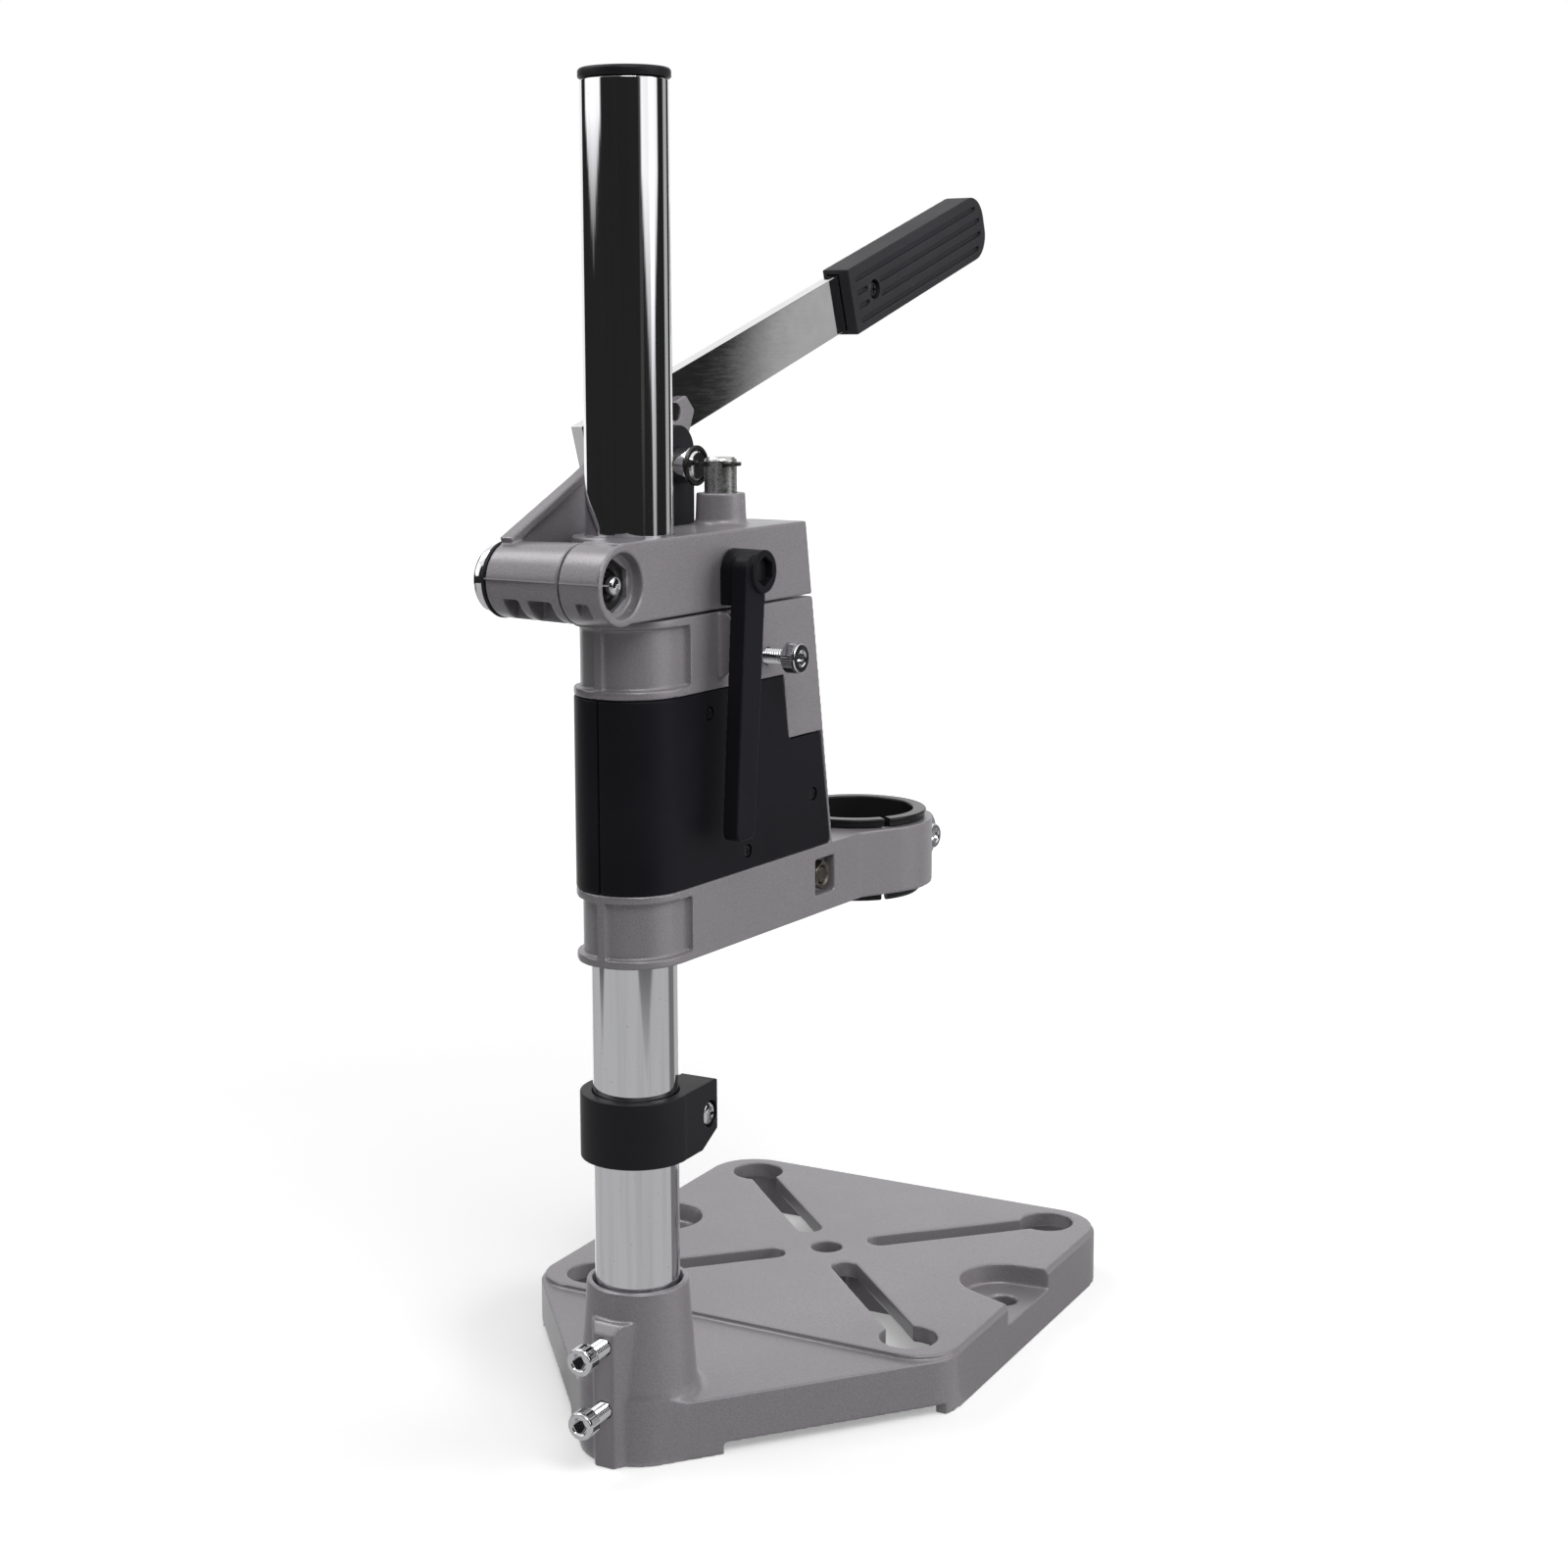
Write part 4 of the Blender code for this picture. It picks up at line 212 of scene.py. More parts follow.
BARREL_HEX_X = -SIDE_PLANE + BARREL_RECESS_DEPTH + BARREL_HEX_DEPTH
PARTING_WIDTH = 0.0004
PARTING_RISE = 0.00012
PARTING_ANGLE = math.radians(-84.0)

# Clamp lever
CLAMP_Y = -0.0273
CLAMP_Z = 0.2590
CLAMP_BOLT_RADIUS = 0.0030
CLAMP_NUT_RADIUS = 0.0056
CLAMP_NUT_LENGTH = 0.0048
LEVER_BOSS_RADIUS = 0.0063
LEVER_BOSS_LENGTH = 0.0117
LEVER_ROOT_DROP = 0.0097
LEVER_ARM_INNER = 0.0220
LEVER_ARM_THICKNESS = 0.0050
LEVER_ARM_OFFSET_TOP = 0.0030
LEVER_ARM_OFFSET_END = 0.0087
LEVER_ARM_LENGTH = 0.0770
LEVER_ARM_WIDTH_TOP = 0.0105
LEVER_ARM_WIDTH_END = 0.0095
LEVER_HEX_RADIUS = 0.0041
LEVER_HEX_DEPTH = 0.0045

# Guide rod and spring
ROD_Y = -0.0465
ROD_RADIUS = 0.0049
ROD_TOP = 0.2903
ROD_BOTTOM = 0.1503
ROD_CHAMFER = 0.0008
ROD_BOSS_TOP = 0.2798
ROD_BOSS_RADIUS = 0.0073
ROD_BOSS_FOOT_RADIUS = 0.0076
ROD_BOSS_FILLET = 0.0018
CLIP_HEIGHT = 0.2877
CLIP_THICKNESS = 0.0010
CLIP_RADIUS = 0.0062
CLIP_GROOVE_DEPTH = 0.0007
CLIP_MOUTH = 0.0060
CLIP_EAR_RADIUS = 0.0014
CLIP_EAR_HOLE = 0.0005
CLIP_STEPS = 48
CLIP_EAR_STEPS = 24
SEAT_RADIUS = 0.0082
SEAT_THICKNESS = 0.0022
SEAT_CLIP_LIFT = 0.0016
SPRING_MEAN_RADIUS = 0.0067
SPRING_WIRE_RADIUS = 0.0006
SPRING_TURNS = 10
SPRING_POINTS_PER_TURN = 24
SPRING_WIRE_STEPS = 10

# Carriage
RING_PANEL_RADIUS = 0.0145
BEAD_HEIGHT = 0.0024
UPPER_RING_BOTTOM = 0.2252
UPPER_RING_TOP = 0.2475
ARM_BOTTOM = 0.1480
ARM_TOP = 0.1692
PANEL_END_Y = -0.0064
PANEL_RIB_WIDTH = 0.0030
COVER_THICKNESS = 0.0020
COVER_CORNER = 0.0022
COVER_LOW_CORNER = 0.0018
COVER_SEAM = 0.0002
CORE_RADIUS = 0.0142
FRONT_WALL = 0.0036
WINDOW_HALF = 0.0143
TAB_REAR = -0.0206
TAB_THICKNESS = 0.0018
TAB_REACH = 0.0052
TAB_CHAMFER = 0.0045
SPRING_BORE_RADIUS = SEAT_RADIUS + GAP
ARM_WAIST_Y = -0.1005
ARM_NUT_Y = -0.0790
ARM_NUT_Z = 0.1594
ARM_POCKET_HALF = 0.0056
ARM_POCKET_DEPTH = 0.0040
ARM_NUT_RADIUS = 0.0046
ARM_NUT_LENGTH = 0.0030
ARM_BOLT_RADIUS = 0.0025
ARM_BOLT_HEAD_LENGTH = 0.0030
COLLAR_RADIUS = 0.0253
COLLAR_BORE_RADIUS = 0.0215
COLLAR_LUG_PLACE = 0.0280
COLLAR_LUG_LIFT = 0.0106
COLLAR_LUG_RADIUS = 0.0086
COLLAR_LUG_HALF = 0.0105
COLLAR_SCREW_PLACE = 0.0296
COLLAR_SLIT = 0.0020
COLLAR_SCREW_RADIUS = 0.0025
REDUCER_BORE_RADIUS = 0.0190
REDUCER_FLANGE_RADIUS = 0.0234
REDUCER_FLANGE_THICKNESS = 0.0026
REDUCER_DROP = 0.0030
REDUCER_NECK_RADIUS = 0.0229
REDUCER_RIM_THICKNESS = 0.0010
REDUCER_LIP = 0.0006
REDUCER_SLIT_ANGLE = math.radians(147.5)
COVER_STEP_Y = -0.0551
COVER_STEP_Z = 0.2050
COVER_FRONT_INSET = 0.0014
COVER_SCREW_PLACES = {"rear": (-0.0157, 0.2185), "middle": (-0.0353, 0.1748), "front": (-0.0721, 0.1862)}
COVER_SCREW_RADIUS = 0.0011
COVER_SCREW_HEAD_RADIUS = 0.0018
COVER_SCREW_HEAD_LENGTH = 0.0009
COVER_PAD_RADIUS = 0.0030
COVER_SCREW_LENGTH = 0.0050
COVER_SCREW_STEPS = 24
LOCK_Z = 0.2318
LOCK_REACH = 0.0283
LOCK_HEAD_LENGTH = 0.0048
LOCK_HEAD_RADIUS = 0.0045

# Hand lever and link
BARREL_NEAR_X = -0.0021
BARREL_FAR_X = 0.0233
ARM_NEAR_X = 0.0190
WEB_THICKNESS = 0.0024
FLANGE = 0.0028
LINK_TOP_Y = -0.0464
LINK_TOP_Z = 0.2875
LINK_BOTTOM_Z = 0.2360
LINK_NEAR_X = 0.0146
LINK_THICKNESS = 0.0040
LINK_END_RADIUS = 0.0078
LINK_HEAD_RISE = 0.0042
LINK_PIN_RADIUS = 0.0035
LINK_HEAD_RADIUS = 0.0056
LINK_HEAD_LENGTH = 0.0062
LINK_RING_RADIUS = 0.0061
LINK_RING_THICKNESS = 0.0012
LINK_GROOVE_RADIUS = 0.0046
LINK_SCREW_HEAD_RADIUS = 0.0052
LINK_SCREW_HEAD_LENGTH = 0.0030
LINK_BOSS_RADIUS = 0.0085
LINK_SLOT_WIDTH = 0.0082
LINK_SLOT_REACH = 0.0019
LINK_STEPS = 32
BAR_ANGLE = math.radians(17.6)
BAR_LIFT = 0.0193
BAR_WIDTH = 0.0190
BAR_THICKNESS = 0.0040
BAR_START = 0.0460
BAR_END = 0.2420
BAR_EDGE = 0.0003
TIP_REACH = 0.0960
BAR_BOLT_STATIONS = {"rear": 0.0570, "front": 0.0860}
BAR_BOLT_RADIUS = 0.0025
BAR_BOLT_HEAD_RADIUS = 0.0046
BAR_BOLT_HEAD_LENGTH = 0.0026
BAR_BOLT_KEY_RADIUS = SCREW_RADIUS * 0.7
BAR_BOLT_KEY_DEPTH = BAR_BOLT_HEAD_LENGTH * 0.6
GRIP_START = 0.1960
GRIP_END = 0.2930
GRIP_WIDTH = 0.0225
GRIP_NEAR_WALL = 0.0042
GRIP_FAR_WALL = 0.0018
GRIP_CORNER = 0.0090
GRIP_SCREW_STATION = 0.2110
GRIP_SCREW_RADIUS = 0.0016
GRIP_SCREW_HEAD_RADIUS = 0.0028
GRIP_SCREW_HEAD_LENGTH = 0.0016
GRIP_COUNTERBORE_RADIUS = 0.0034
GRIP_COUNTERBORE_DEPTH = 0.0024
GRIP_GROOVE_COUNT = 4
GRIP_GROOVE_WIDTH = 0.0016
GRIP_GROOVE_DEPTH = 0.0012
GRIP_GROOVE_PITCH = 0.00475
GRIP_GROOVE_DROP = 0.0006
GRIP_GROOVE_END = 0.0070
GRIP_GROOVE_END_SHARE = 0.55
GRIP_SHORT_GROOVE = 0.0046

# Places worked out from the sizes above
CARRIAGE_MIDDLE = (ARM_TOP + UPPER_RING_BOTTOM) / 2
COLLAR_Y = -THROAT
LINK_FAR_X = LINK_NEAR_X + LINK_THICKNESS
BAR_NEAR_X = BARREL_FAR_X + GAP
BAR_FAR_X = BAR_NEAR_X + BAR_THICKNESS
LEVER_PIVOT = Matrix.Translation((0, PIVOT_Y, PIVOT_Z))
CLAMP_PIVOT = Matrix.Translation((-SIDE_PLANE, CLAMP_Y, CLAMP_Z))

# Softness of the cast and moulded pieces: size of the voxels, rounds of smoothing, share of faces kept
BASE_MELT = (0.0005, 4, 0.18)
STOP_MELT = (0.0003, 4, 0.25)
BARREL_MELT = (0.00035, 7, 0.25)
LEVER_MELT = (0.00028, 5, 0.25)
CARRIAGE_MELT = (0.0004, 6, 0.22)
COVER_MELT = (0.0003, 5, 0.2)
GRIP_MELT = (0.00028, 4, 0.25)
MELT_FACTOR = 0.5
BEVEL_ANGLE = math.radians(35)
BEVEL_SEGMENTS = 3
CLAMP_BOLT_SEGMENTS = 2

# Angles in degrees from which two faces meet in a sharp edge
SHARP_ANGLE = 45
FLAT_SHARP = 25
CAP_SCREW_SHARP = 32
TURNED_SHARP = 35
RIM_SHARP = 40
CAST_SHARP = 50
SOFT_SHARP = 55

# Paint and chrome. A row of CHROMES is a name and the most roughness
PAINT_FLAKES = ((0.205, 0.194, 0.208), (0.300, 0.285, 0.304))
PAINT_CLOUD = (0.245, 0.232, 0.246)
# A painted highlight: the lighter colour laid on the paint's sharp outer edges
PAINT_EDGE_HIGHLIGHT = (0.40, 0.385, 0.405)
PAINT_ROUGHNESS = (0.31, 0.40)
# Pointiness range of the paint's sharp edges, where the painted highlight lies
PAINT_HIGHLIGHT_POINTINESS = (0.53, 0.66)
# Pointiness range of the black plastic's sharp edges, where a painted highlight lightens it
PLASTIC_HIGHLIGHT_POINTINESS = (0.54, 0.70)
CHROME_BRIGHT = (0.80, 0.80, 0.82)
CHROME_DULL_SHARE = 0.86
CHROME_DUST = (0.62, 0.60, 0.58)
CHROME_LEAST_ROUGH = 0.03
CHROMES = {"chrome": ("chrome_finish", 0.10), "column": ("column_finish", 0.09)}
COAT_ROUGHNESS = 0.25
# How many times lighter than its own colour the plastic's painted edge highlight is
EDGE_HIGHLIGHT_SHARE = 2.2

# Steels: name, slot, darker and lighter colour, least and most roughness
ZINC = ((0.50, 0.50, 0.49), (0.66, 0.66, 0.66), 0.22, 0.36)
YELLOW_ZINC = ((0.15, 0.14, 0.12), (0.26, 0.245, 0.21), 0.30, 0.46)
STEELS = {
    "bar": ("bar_finish", "chrome_plate", (0.74, 0.74, 0.75), (0.80, 0.80, 0.81), 0.03, 0.08),
    "steel": ("zinc_steel_finish", "bright_steel", *ZINC),
    "rod": ("dull_chrome_finish", "chrome_plate", *ZINC),
    "nut": ("yellow_zinc_finish", "bright_steel", *YELLOW_ZINC),
    "bolt": ("yellow_bolt_finish", "chrome_plate", *YELLOW_ZINC),
    "dark": ("black_steel_finish", "dark_steel", (0.05, 0.05, 0.05), (0.11, 0.11, 0.11), 0.28, 0.42),
}

# Black plastics: name, darker and lighter colour, least and most roughness, the grain's scale and strength,
# and how much the surface shines
PLASTICS = {
    "plastic": ("satin_plastic_finish", (0.009, 0.0085, 0.011), (0.013, 0.0125, 0.016),
                0.42, 0.52, 1400, 0.12, 0.24),
    "cover": ("cover_plastic_finish", (0.0066, 0.0062, 0.0086), (0.0096, 0.0091, 0.0122),
              0.36, 0.46, 1800, 0.10, 0.12),
    "gloss": ("gloss_plastic_finish", (0.010, 0.010, 0.011), (0.014, 0.014, 0.015),
              0.18, 0.28, 700, 0.05, 0.24),
    "grip": ("grip_plastic_finish", (0.020, 0.0194, 0.0226), (0.028, 0.0272, 0.0316),
             0.46, 0.58, 1500, 0.15, 0.24),
}

# Camera, as the photograph was taken
CAMERA_PLACE = (-0.36654, 0.60937, 0.32754)
CAMERA_AZIMUTH = math.radians(208.864)
CAMERA_TILT = math.radians(8.051)
CAMERA_ROLL = math.radians(-0.351)
CAMERA_LENS = 57.745
CAMERA_SENSOR = 36.0
CAMERA_NEAREST = 0.01
CAMERA_SHIFT = (0.0375, -0.0625)

# Studio. A card reaches from its first radius and height to its last. Its streaks are wedges: angle, half
# width, reach where they start, reach where full, and brightness
WORLD_LEVEL = 0.30
FLOOR_HALF = 8.0
FLOOR_DROP = -0.0002
FLOOR_SEEN_COLOUR = 0.90
FLOOR_BOUNCE_COLOUR = 0.30
FLOOR_GLOW = (0.29, 0.85)
FLOOR_GLOW_REACH = (0.4, 1.8)
HIGH_CARD = {"radii": (1.5, 1.5), "heights": (0.0, 1.5), "angles": (-20.0, 266.0), "base": 0.020}
HIGH_STREAKS = (
    (29.0, 31.0, 0.39, 0.53, 1.30),
    (187.0, 28.0, 0.24, 0.46, 1.20),
    (192.0, 7.0, -0.20, 0.25, 0.60),
    (160.0, 5.0, 0.05, 0.25, 0.04),
    (243.5, 10.0, -1.0, -0.5, 0.44),
)
LOW_CARD = {"radii": (1.45, 0.02), "heights": (-0.0001, -0.0001), "angles": (-30.0, 290.0), "base": 0.50}
LOW_STREAKS = (
    (24.0, 12.0, 0.40, 0.60, -0.40),
    (150.0, 24.0, 0.38, 0.60, -0.36),
    (236.0, 14.0, -1.0, -0.5, -0.30),
)
CARD_STEPS = (320, 48)
STREAK_EDGE = 4.0
LAMP_TARGET = (0.0, -0.06, 0.15)
LAMPS = (
    ("key", (-0.9, 0.9, 1.5), 1.0, 14.0, True),
    ("fill", (-1.3, -0.7, 0.45), 1.2, 18.0, False),
    ("top", (1.0, 0.15, 1.8), 0.9, 9.0, True),
)


def stacked(levels):
    """A closed body through outlines in x and y, each at its height."""
    made = bmesh.new()
    rings = [[made.verts.new((x, y, height)) for x, y in outline] for outline, height in levels]
    made.faces.new(rings[0][::-1])
    made.faces.new(rings[-1])
    for low, high in zip(rings, rings[1:]):
        for here, _ in enumerate(low):
            after = (here + 1) % len(low)
            made.faces.new((low[here], low[after], high[after], high[here]))
    return made


def prism(outline, bottom, top):
    """A closed prism: an outline in x and y, carried from one height to another."""
    return stacked([(outline, bottom), (outline, top)])


def side_plate(outline, near, far):
    """A prism whose outline is in y and z, carried along x."""
    made = prism(outline, near, far)
    made.transform(Matrix(((0, 0, 1, 0), (1, 0, 0, 0), (0, 1, 0, 0), (0, 0, 0, 1))))
    return made


def turned(profile, steps=ROUND_STEPS, shape=None):
    """A body turned about z from points of radius and height; shape(angle, height) may change its radius."""
    made = bmesh.new()
    rings = []
    for radius, height in profile:
        if radius == 0:
            rings.append([made.verts.new((0, 0, height))])
            continue
        ring = []
        for k in range(steps):
            angle = 2 * math.pi * k / steps
            here = radius + (shape(angle, height) if shape else 0)
            ring.append(made.verts.new((here * math.cos(angle), here * math.sin(angle), height)))
        rings.append(ring)
    closed = profile[0] == profile[-1]
    if closed:
        bmesh.ops.delete(made, geom=rings[-1], context="VERTS")
        rings[-1] = rings[0]
    for lower, upper in zip(rings, rings[1:]):
        for k in range(steps):
            after = (k + 1) % steps
            corners = [lower[k % len(lower)], lower[after % len(lower)]]
            corners += [upper[after % len(upper)], upper[k % len(upper)]]
            made.faces.new(list(dict.fromkeys(corners)))
    if not closed:
        for ring in (rings[0], rings[-1]):
            if len(ring) > 2:
                made.faces.new(ring)
    return made


def rod(radius, bottom, top, steps=SMALL_STEPS):
    """A plain cylinder about z."""
    return turned([(radius, bottom), (radius, top)], steps)


def cross_rod(radius, near, far, y=0, z=0, steps=SMALL_STEPS):
    """A cylinder about x, at a place in y and z."""
    return along_x(rod(radius, near, far, steps), y, z)


def upright(radius, bottom, top, x=0, y=0, steps=SMALL_STEPS):
    """A cylinder about z, at a place in x and y."""
    return moved(rod(radius, bottom, top, steps), x, y)


def ring_about_z(outer, inner, bottom, top, edge, steps=ROUND_STEPS):
    """A ring about z with its outer edges broken."""
    return turned([
        (inner, bottom), (outer - edge, bottom), (outer, bottom + edge),
        (outer, top - edge), (outer - edge, top), (inner, top), (inner, bottom),
    ], steps)


def along_x(shape, y, z):
    """Lays a shape made about z along x, at a place in y and z."""
    shape.transform(Matrix.Translation((0, y, z)) @ Matrix.Rotation(QUARTER_TURN, 4, "Y"))
    return shape


def along_y(shape, x, z):
    """Lays a shape made about z along y, at a place in x and z."""
    shape.transform(Matrix.Translation((x, 0, z)) @ Matrix.Rotation(-QUARTER_TURN, 4, "X"))
    return shape


def moved(shape, x=0.0, y=0.0, z=0.0):
    """Shifts a shape."""
    shape.transform(Matrix.Translation((x, y, z)))
    return shape


def box(low, high):
    """A block between two corners."""
    outline = [(low[0], low[1]), (high[0], low[1]), (high[0], high[1]), (low[0], high[1])]
    return prism(outline, low[2], high[2])


def arc(centre, radius, start, end, steps):
    """Points on an arc, angles in degrees."""
    turns = [math.radians(start + (end - start) * k / steps) for k in range(steps + 1)]
    return [(centre[0] + radius * math.cos(a), centre[1] + radius * math.sin(a)) for a in turns]


def circle(centre, radius, steps=ROUND_STEPS):
    """Points evenly round a circle."""
    return arc(centre, radius, 0, 360, steps)[:-1]


def hull(points):
    """The outline around a set of points."""
    return [points[k] for k in convex_hull_2d([Vector(p) for p in points])]


def slotted(start, end, width, steps=SMALL_STEPS // 2):
    """An outline with round ends from one point to another."""
    way = math.degrees(math.atan2(end[1] - start[1], end[0] - start[0]))
    first = arc(start, width / 2, way + 90, way + 270, steps)
    return first + arc(end, width / 2, way - 90, way + 90, steps)


def rounded(start_radius, end_radius, start, end, steps=CORNER_STEPS):
    """Profile points of a quarter round, from one radius and height to another, bulging outward."""
    turns = [QUARTER_TURN * k / steps for k in range(steps + 1)]
    return [(end_radius + (start_radius - end_radius) * math.cos(a), start + (end - start) * math.sin(a))
            for a in turns]


def front_wall(height):
    """How far forward the leaning front face stands at a height."""
    return BLOCK_FRONT_TOP - (BLOCK_TOP - height) * FRONT_LEAN_SHARE


def solid(name, shapes):
    """One object of closed shapes."""
    whole = bmesh.new()
    for shape in shapes:
        bmesh.ops.recalc_face_normals(shape, faces=shape.faces)
        part = bpy.data.meshes.new("shape")
        shape.to_mesh(part)
        shape.free()
        whole.from_mesh(part)
        bpy.data.meshes.remove(part)
    mesh = bpy.data.meshes.new(name)
    whole.to_mesh(mesh)
    whole.free()
    made = bpy.data.objects.new(name, mesh)
    bpy.context.scene.collection.objects.link(made)
    return made


def piece(name, shapes):
    """The object that comes to stand for a node."""
    return solid(name + DETAIL, shapes)


def bake(thing):
    """Makes an object's modifiers permanent."""
    result = thing.evaluated_get(bpy.context.evaluated_depsgraph_get())
    mesh = bpy.data.meshes.new_from_object(result)
    thing.modifiers.clear()
    thing.data = mesh


def combine(thing, shapes, operation):
    """Joins shapes to an object, or takes them away."""
    helpers = [solid(f"{thing.name}_tool_{k}", [shape]) for k, shape in enumerate(shapes)]
    for helper in helpers:
        step = thing.modifiers.new(helper.name, "BOOLEAN")
        step.operation = operation
        step.solver = "MANIFOLD"
        step.object = helper
    bake(thing)
    for helper in helpers:
        bpy.data.objects.remove(helper)


def cut(thing, shapes):
    """Takes shapes away from an object."""
    combine(thing, shapes, "DIFFERENCE")


def fuse(thing, shapes):
    """Joins shapes to an object."""
    combine(thing, shapes, "UNION")


def melt(thing, voxel, passes, share):
    """Gives a casting or a moulding its soft edges and fillets."""
    fine = thing.modifiers.new("voxels", "REMESH")
    fine.mode = "VOXEL"
    fine.voxel_size = voxel
    soft = thing.modifiers.new("soft", "SMOOTH")
    soft.factor = MELT_FACTOR
    soft.iterations = passes
    fewer = thing.modifiers.new("fewer", "DECIMATE")
    fewer.ratio = share
    bake(thing)


def soften(thing, width, segments=BEVEL_SEGMENTS):
    """Breaks the sharp edges of a machined piece."""
    edge = thing.modifiers.new("edge", "BEVEL")
    edge.width = width
    edge.segments = segments
    edge.limit_method = "ANGLE"
    edge.angle_limit = BEVEL_ANGLE
    bake(thing)


def dress(thing, finish, body, place=HEAD, sharp=SHARP_ANGLE):
    """Gives a piece its finish and shading, sets it in place and lets it stand for its node."""
    nodes = [thing.name.removesuffix(DETAIL)]
    look = LOOKS[finish]
    thing.data.materials.clear()
    thing.data.materials.append(look["material"])
    thing.data.shade_smooth()
    thing.data.set_sharp_from_angle(angle=math.radians(sharp))
    flat = thing.modifiers.new("flat faces", "WEIGHTED_NORMAL")
    flat.keep_sharp = True
    thing.matrix_world = place
    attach(thing, body)
    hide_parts(*nodes)
    return thing


def node(tree, kind, **values):
    """Adds a shader node and sets its plain inputs by name."""
    made = tree.nodes.new(kind)
    for name, value in values.items():
        made.inputs[name].default_value = value
    return made


def noise(tree, place, scale, detail=2.0, stretch=(1, 1, 1)):
    """A noise pattern in the piece's own space."""
    mapping = node(tree, "ShaderNodeMapping", Scale=stretch)
    tree.links.new(place.outputs["Object"], mapping.inputs["Vector"])
    made = node(tree, "ShaderNodeTexNoise", Scale=scale, Detail=detail)
    tree.links.new(mapping.outputs["Vector"], made.inputs["Vector"])
    return made.outputs["Fac"]


def spread(tree, source, low, high, start=0.3, end=0.7):
    """Maps a pattern onto a range of values."""
    made = tree.nodes.new("ShaderNodeMapRange")
    made.inputs["From Min"].default_value = start
    made.inputs["From Max"].default_value = end
    made.inputs["To Min"].default_value = low
    made.inputs["To Max"].default_value = high
    tree.links.new(source, made.inputs["Value"])
    return made.outputs["Result"]


def tint(tree, share, one, other):
    """Mixes two colours, or sockets of colour, by a pattern."""
    made = tree.nodes.new("ShaderNodeMix")
    made.data_type = "RGBA"
    tree.links.new(share, made.inputs[0])
    for slot, colour in ((6, one), (7, other)):
        if isinstance(colour, tuple):
            made.inputs[slot].default_value = (*colour, 1.0)
        else:
            tree.links.new(colour, made.inputs[slot])
    return made.outputs[2]


def new_look(name, slot, metallic, specular=0.5, coat=0.0):
    """A Principled material with its object-space coordinates."""
    material = bpy.data.materials.new(name)
    material.use_nodes = True
    tree = material.node_tree
    shader = tree.nodes["Principled BSDF"]
    shader.inputs["Metallic"].default_value = metallic
    shader.inputs["Specular IOR Level"].default_value = specular
    shader.inputs["Coat Weight"].default_value = coat
    shader.inputs["Coat Roughness"].default_value = COAT_ROUGHNESS
    place = tree.nodes.new("ShaderNodeTexCoord")
    return {"material": material, "slot": slot}, tree, shader, place


def wire(tree, shader, colour, roughness, relief, strength, distance):
    """Connects colour, roughness and relief to the shader."""
    tree.links.new(colour, shader.inputs["Base Color"])
    tree.links.new(roughness, shader.inputs["Roughness"])
    bump = node(tree, "ShaderNodeBump", Strength=strength, Distance=distance)
    tree.links.new(relief, bump.inputs["Height"])
    tree.links.new(bump.outputs["Normal"], shader.inputs["Normal"])


def painted_highlight_share(tree, start, end):
    """How much a point lies on a sharp outer edge, where a painted highlight lightens the colour."""
    made = tree.nodes.new("ShaderNodeNewGeometry")
    return spread(tree, made.outputs["Pointiness"], 0.0, 1.0, start, end)


def paint_look():
    """Semi-gloss grey paint with fine metal flakes, and a painted highlight that makes it a little brighter
    along its edges.
    """
    look, tree, shader, place = new_look("grey_paint_finish", "grey_paint", metallic=0.28, coat=0.25)
    flakes = noise(tree, place, scale=2600, detail=1)
    clouds = noise(tree, place, scale=24, detail=3)
    body = tint(tree, spread(tree, flakes, 0, 1), *PAINT_FLAKES)
    shade = tint(tree, spread(tree, clouds, 0, 0.5), body, PAINT_CLOUD)
    # A painted highlight: the sharp edges take a lighter colour
    colour = tint(tree, painted_highlight_share(tree, *PAINT_HIGHLIGHT_POINTINESS), shade, PAINT_EDGE_HIGHLIGHT)
    roughness = spread(tree, clouds, *PAINT_ROUGHNESS)
    wire(tree, shader, colour, roughness, noise(tree, place, scale=900), strength=0.10, distance=0.0002)
    return look


def chrome_look(name, most_rough):
    """Chrome plate with faint drawn streaks and specks of dust."""
    look, tree, shader, place = new_look(name, "chrome_plate", metallic=1.0)
    streaks = noise(tree, place, scale=420, detail=3, stretch=(1, 1, 0.03))
    specks = noise(tree, place, scale=900, detail=0)
    dull = tuple(value * CHROME_DULL_SHARE for value in CHROME_BRIGHT)
    colour = tint(tree, spread(tree, streaks, 0, 1, 0.42, 0.75), CHROME_BRIGHT, dull)
    dusty = tint(tree, spread(tree, specks, 0, 0.7, 0.80, 0.86), colour, CHROME_DUST)
    roughness = spread(tree, streaks, CHROME_LEAST_ROUGH, most_rough, start=0.35, end=0.75)
    wire(tree, shader, dusty, roughness, streaks, strength=0.02, distance=0.0002)
    return look


def steel_look(name, slot, low, high, least_rough, most_rough):
    """Plated or blackened steel, mottled, with fine marks of the tool."""
    look, tree, shader, place = new_look(name, slot, metallic=1.0)
    marks = noise(tree, place, scale=1500, detail=2, stretch=(1, 0.1, 1))
    clouds = noise(tree, place, scale=160, detail=3)
    colour = tint(tree, spread(tree, clouds, 0, 1), low, high)
    roughness = spread(tree, marks, least_rough, most_rough)
    wire(tree, shader, colour, roughness, marks, strength=0.08, distance=0.0001)
    return look


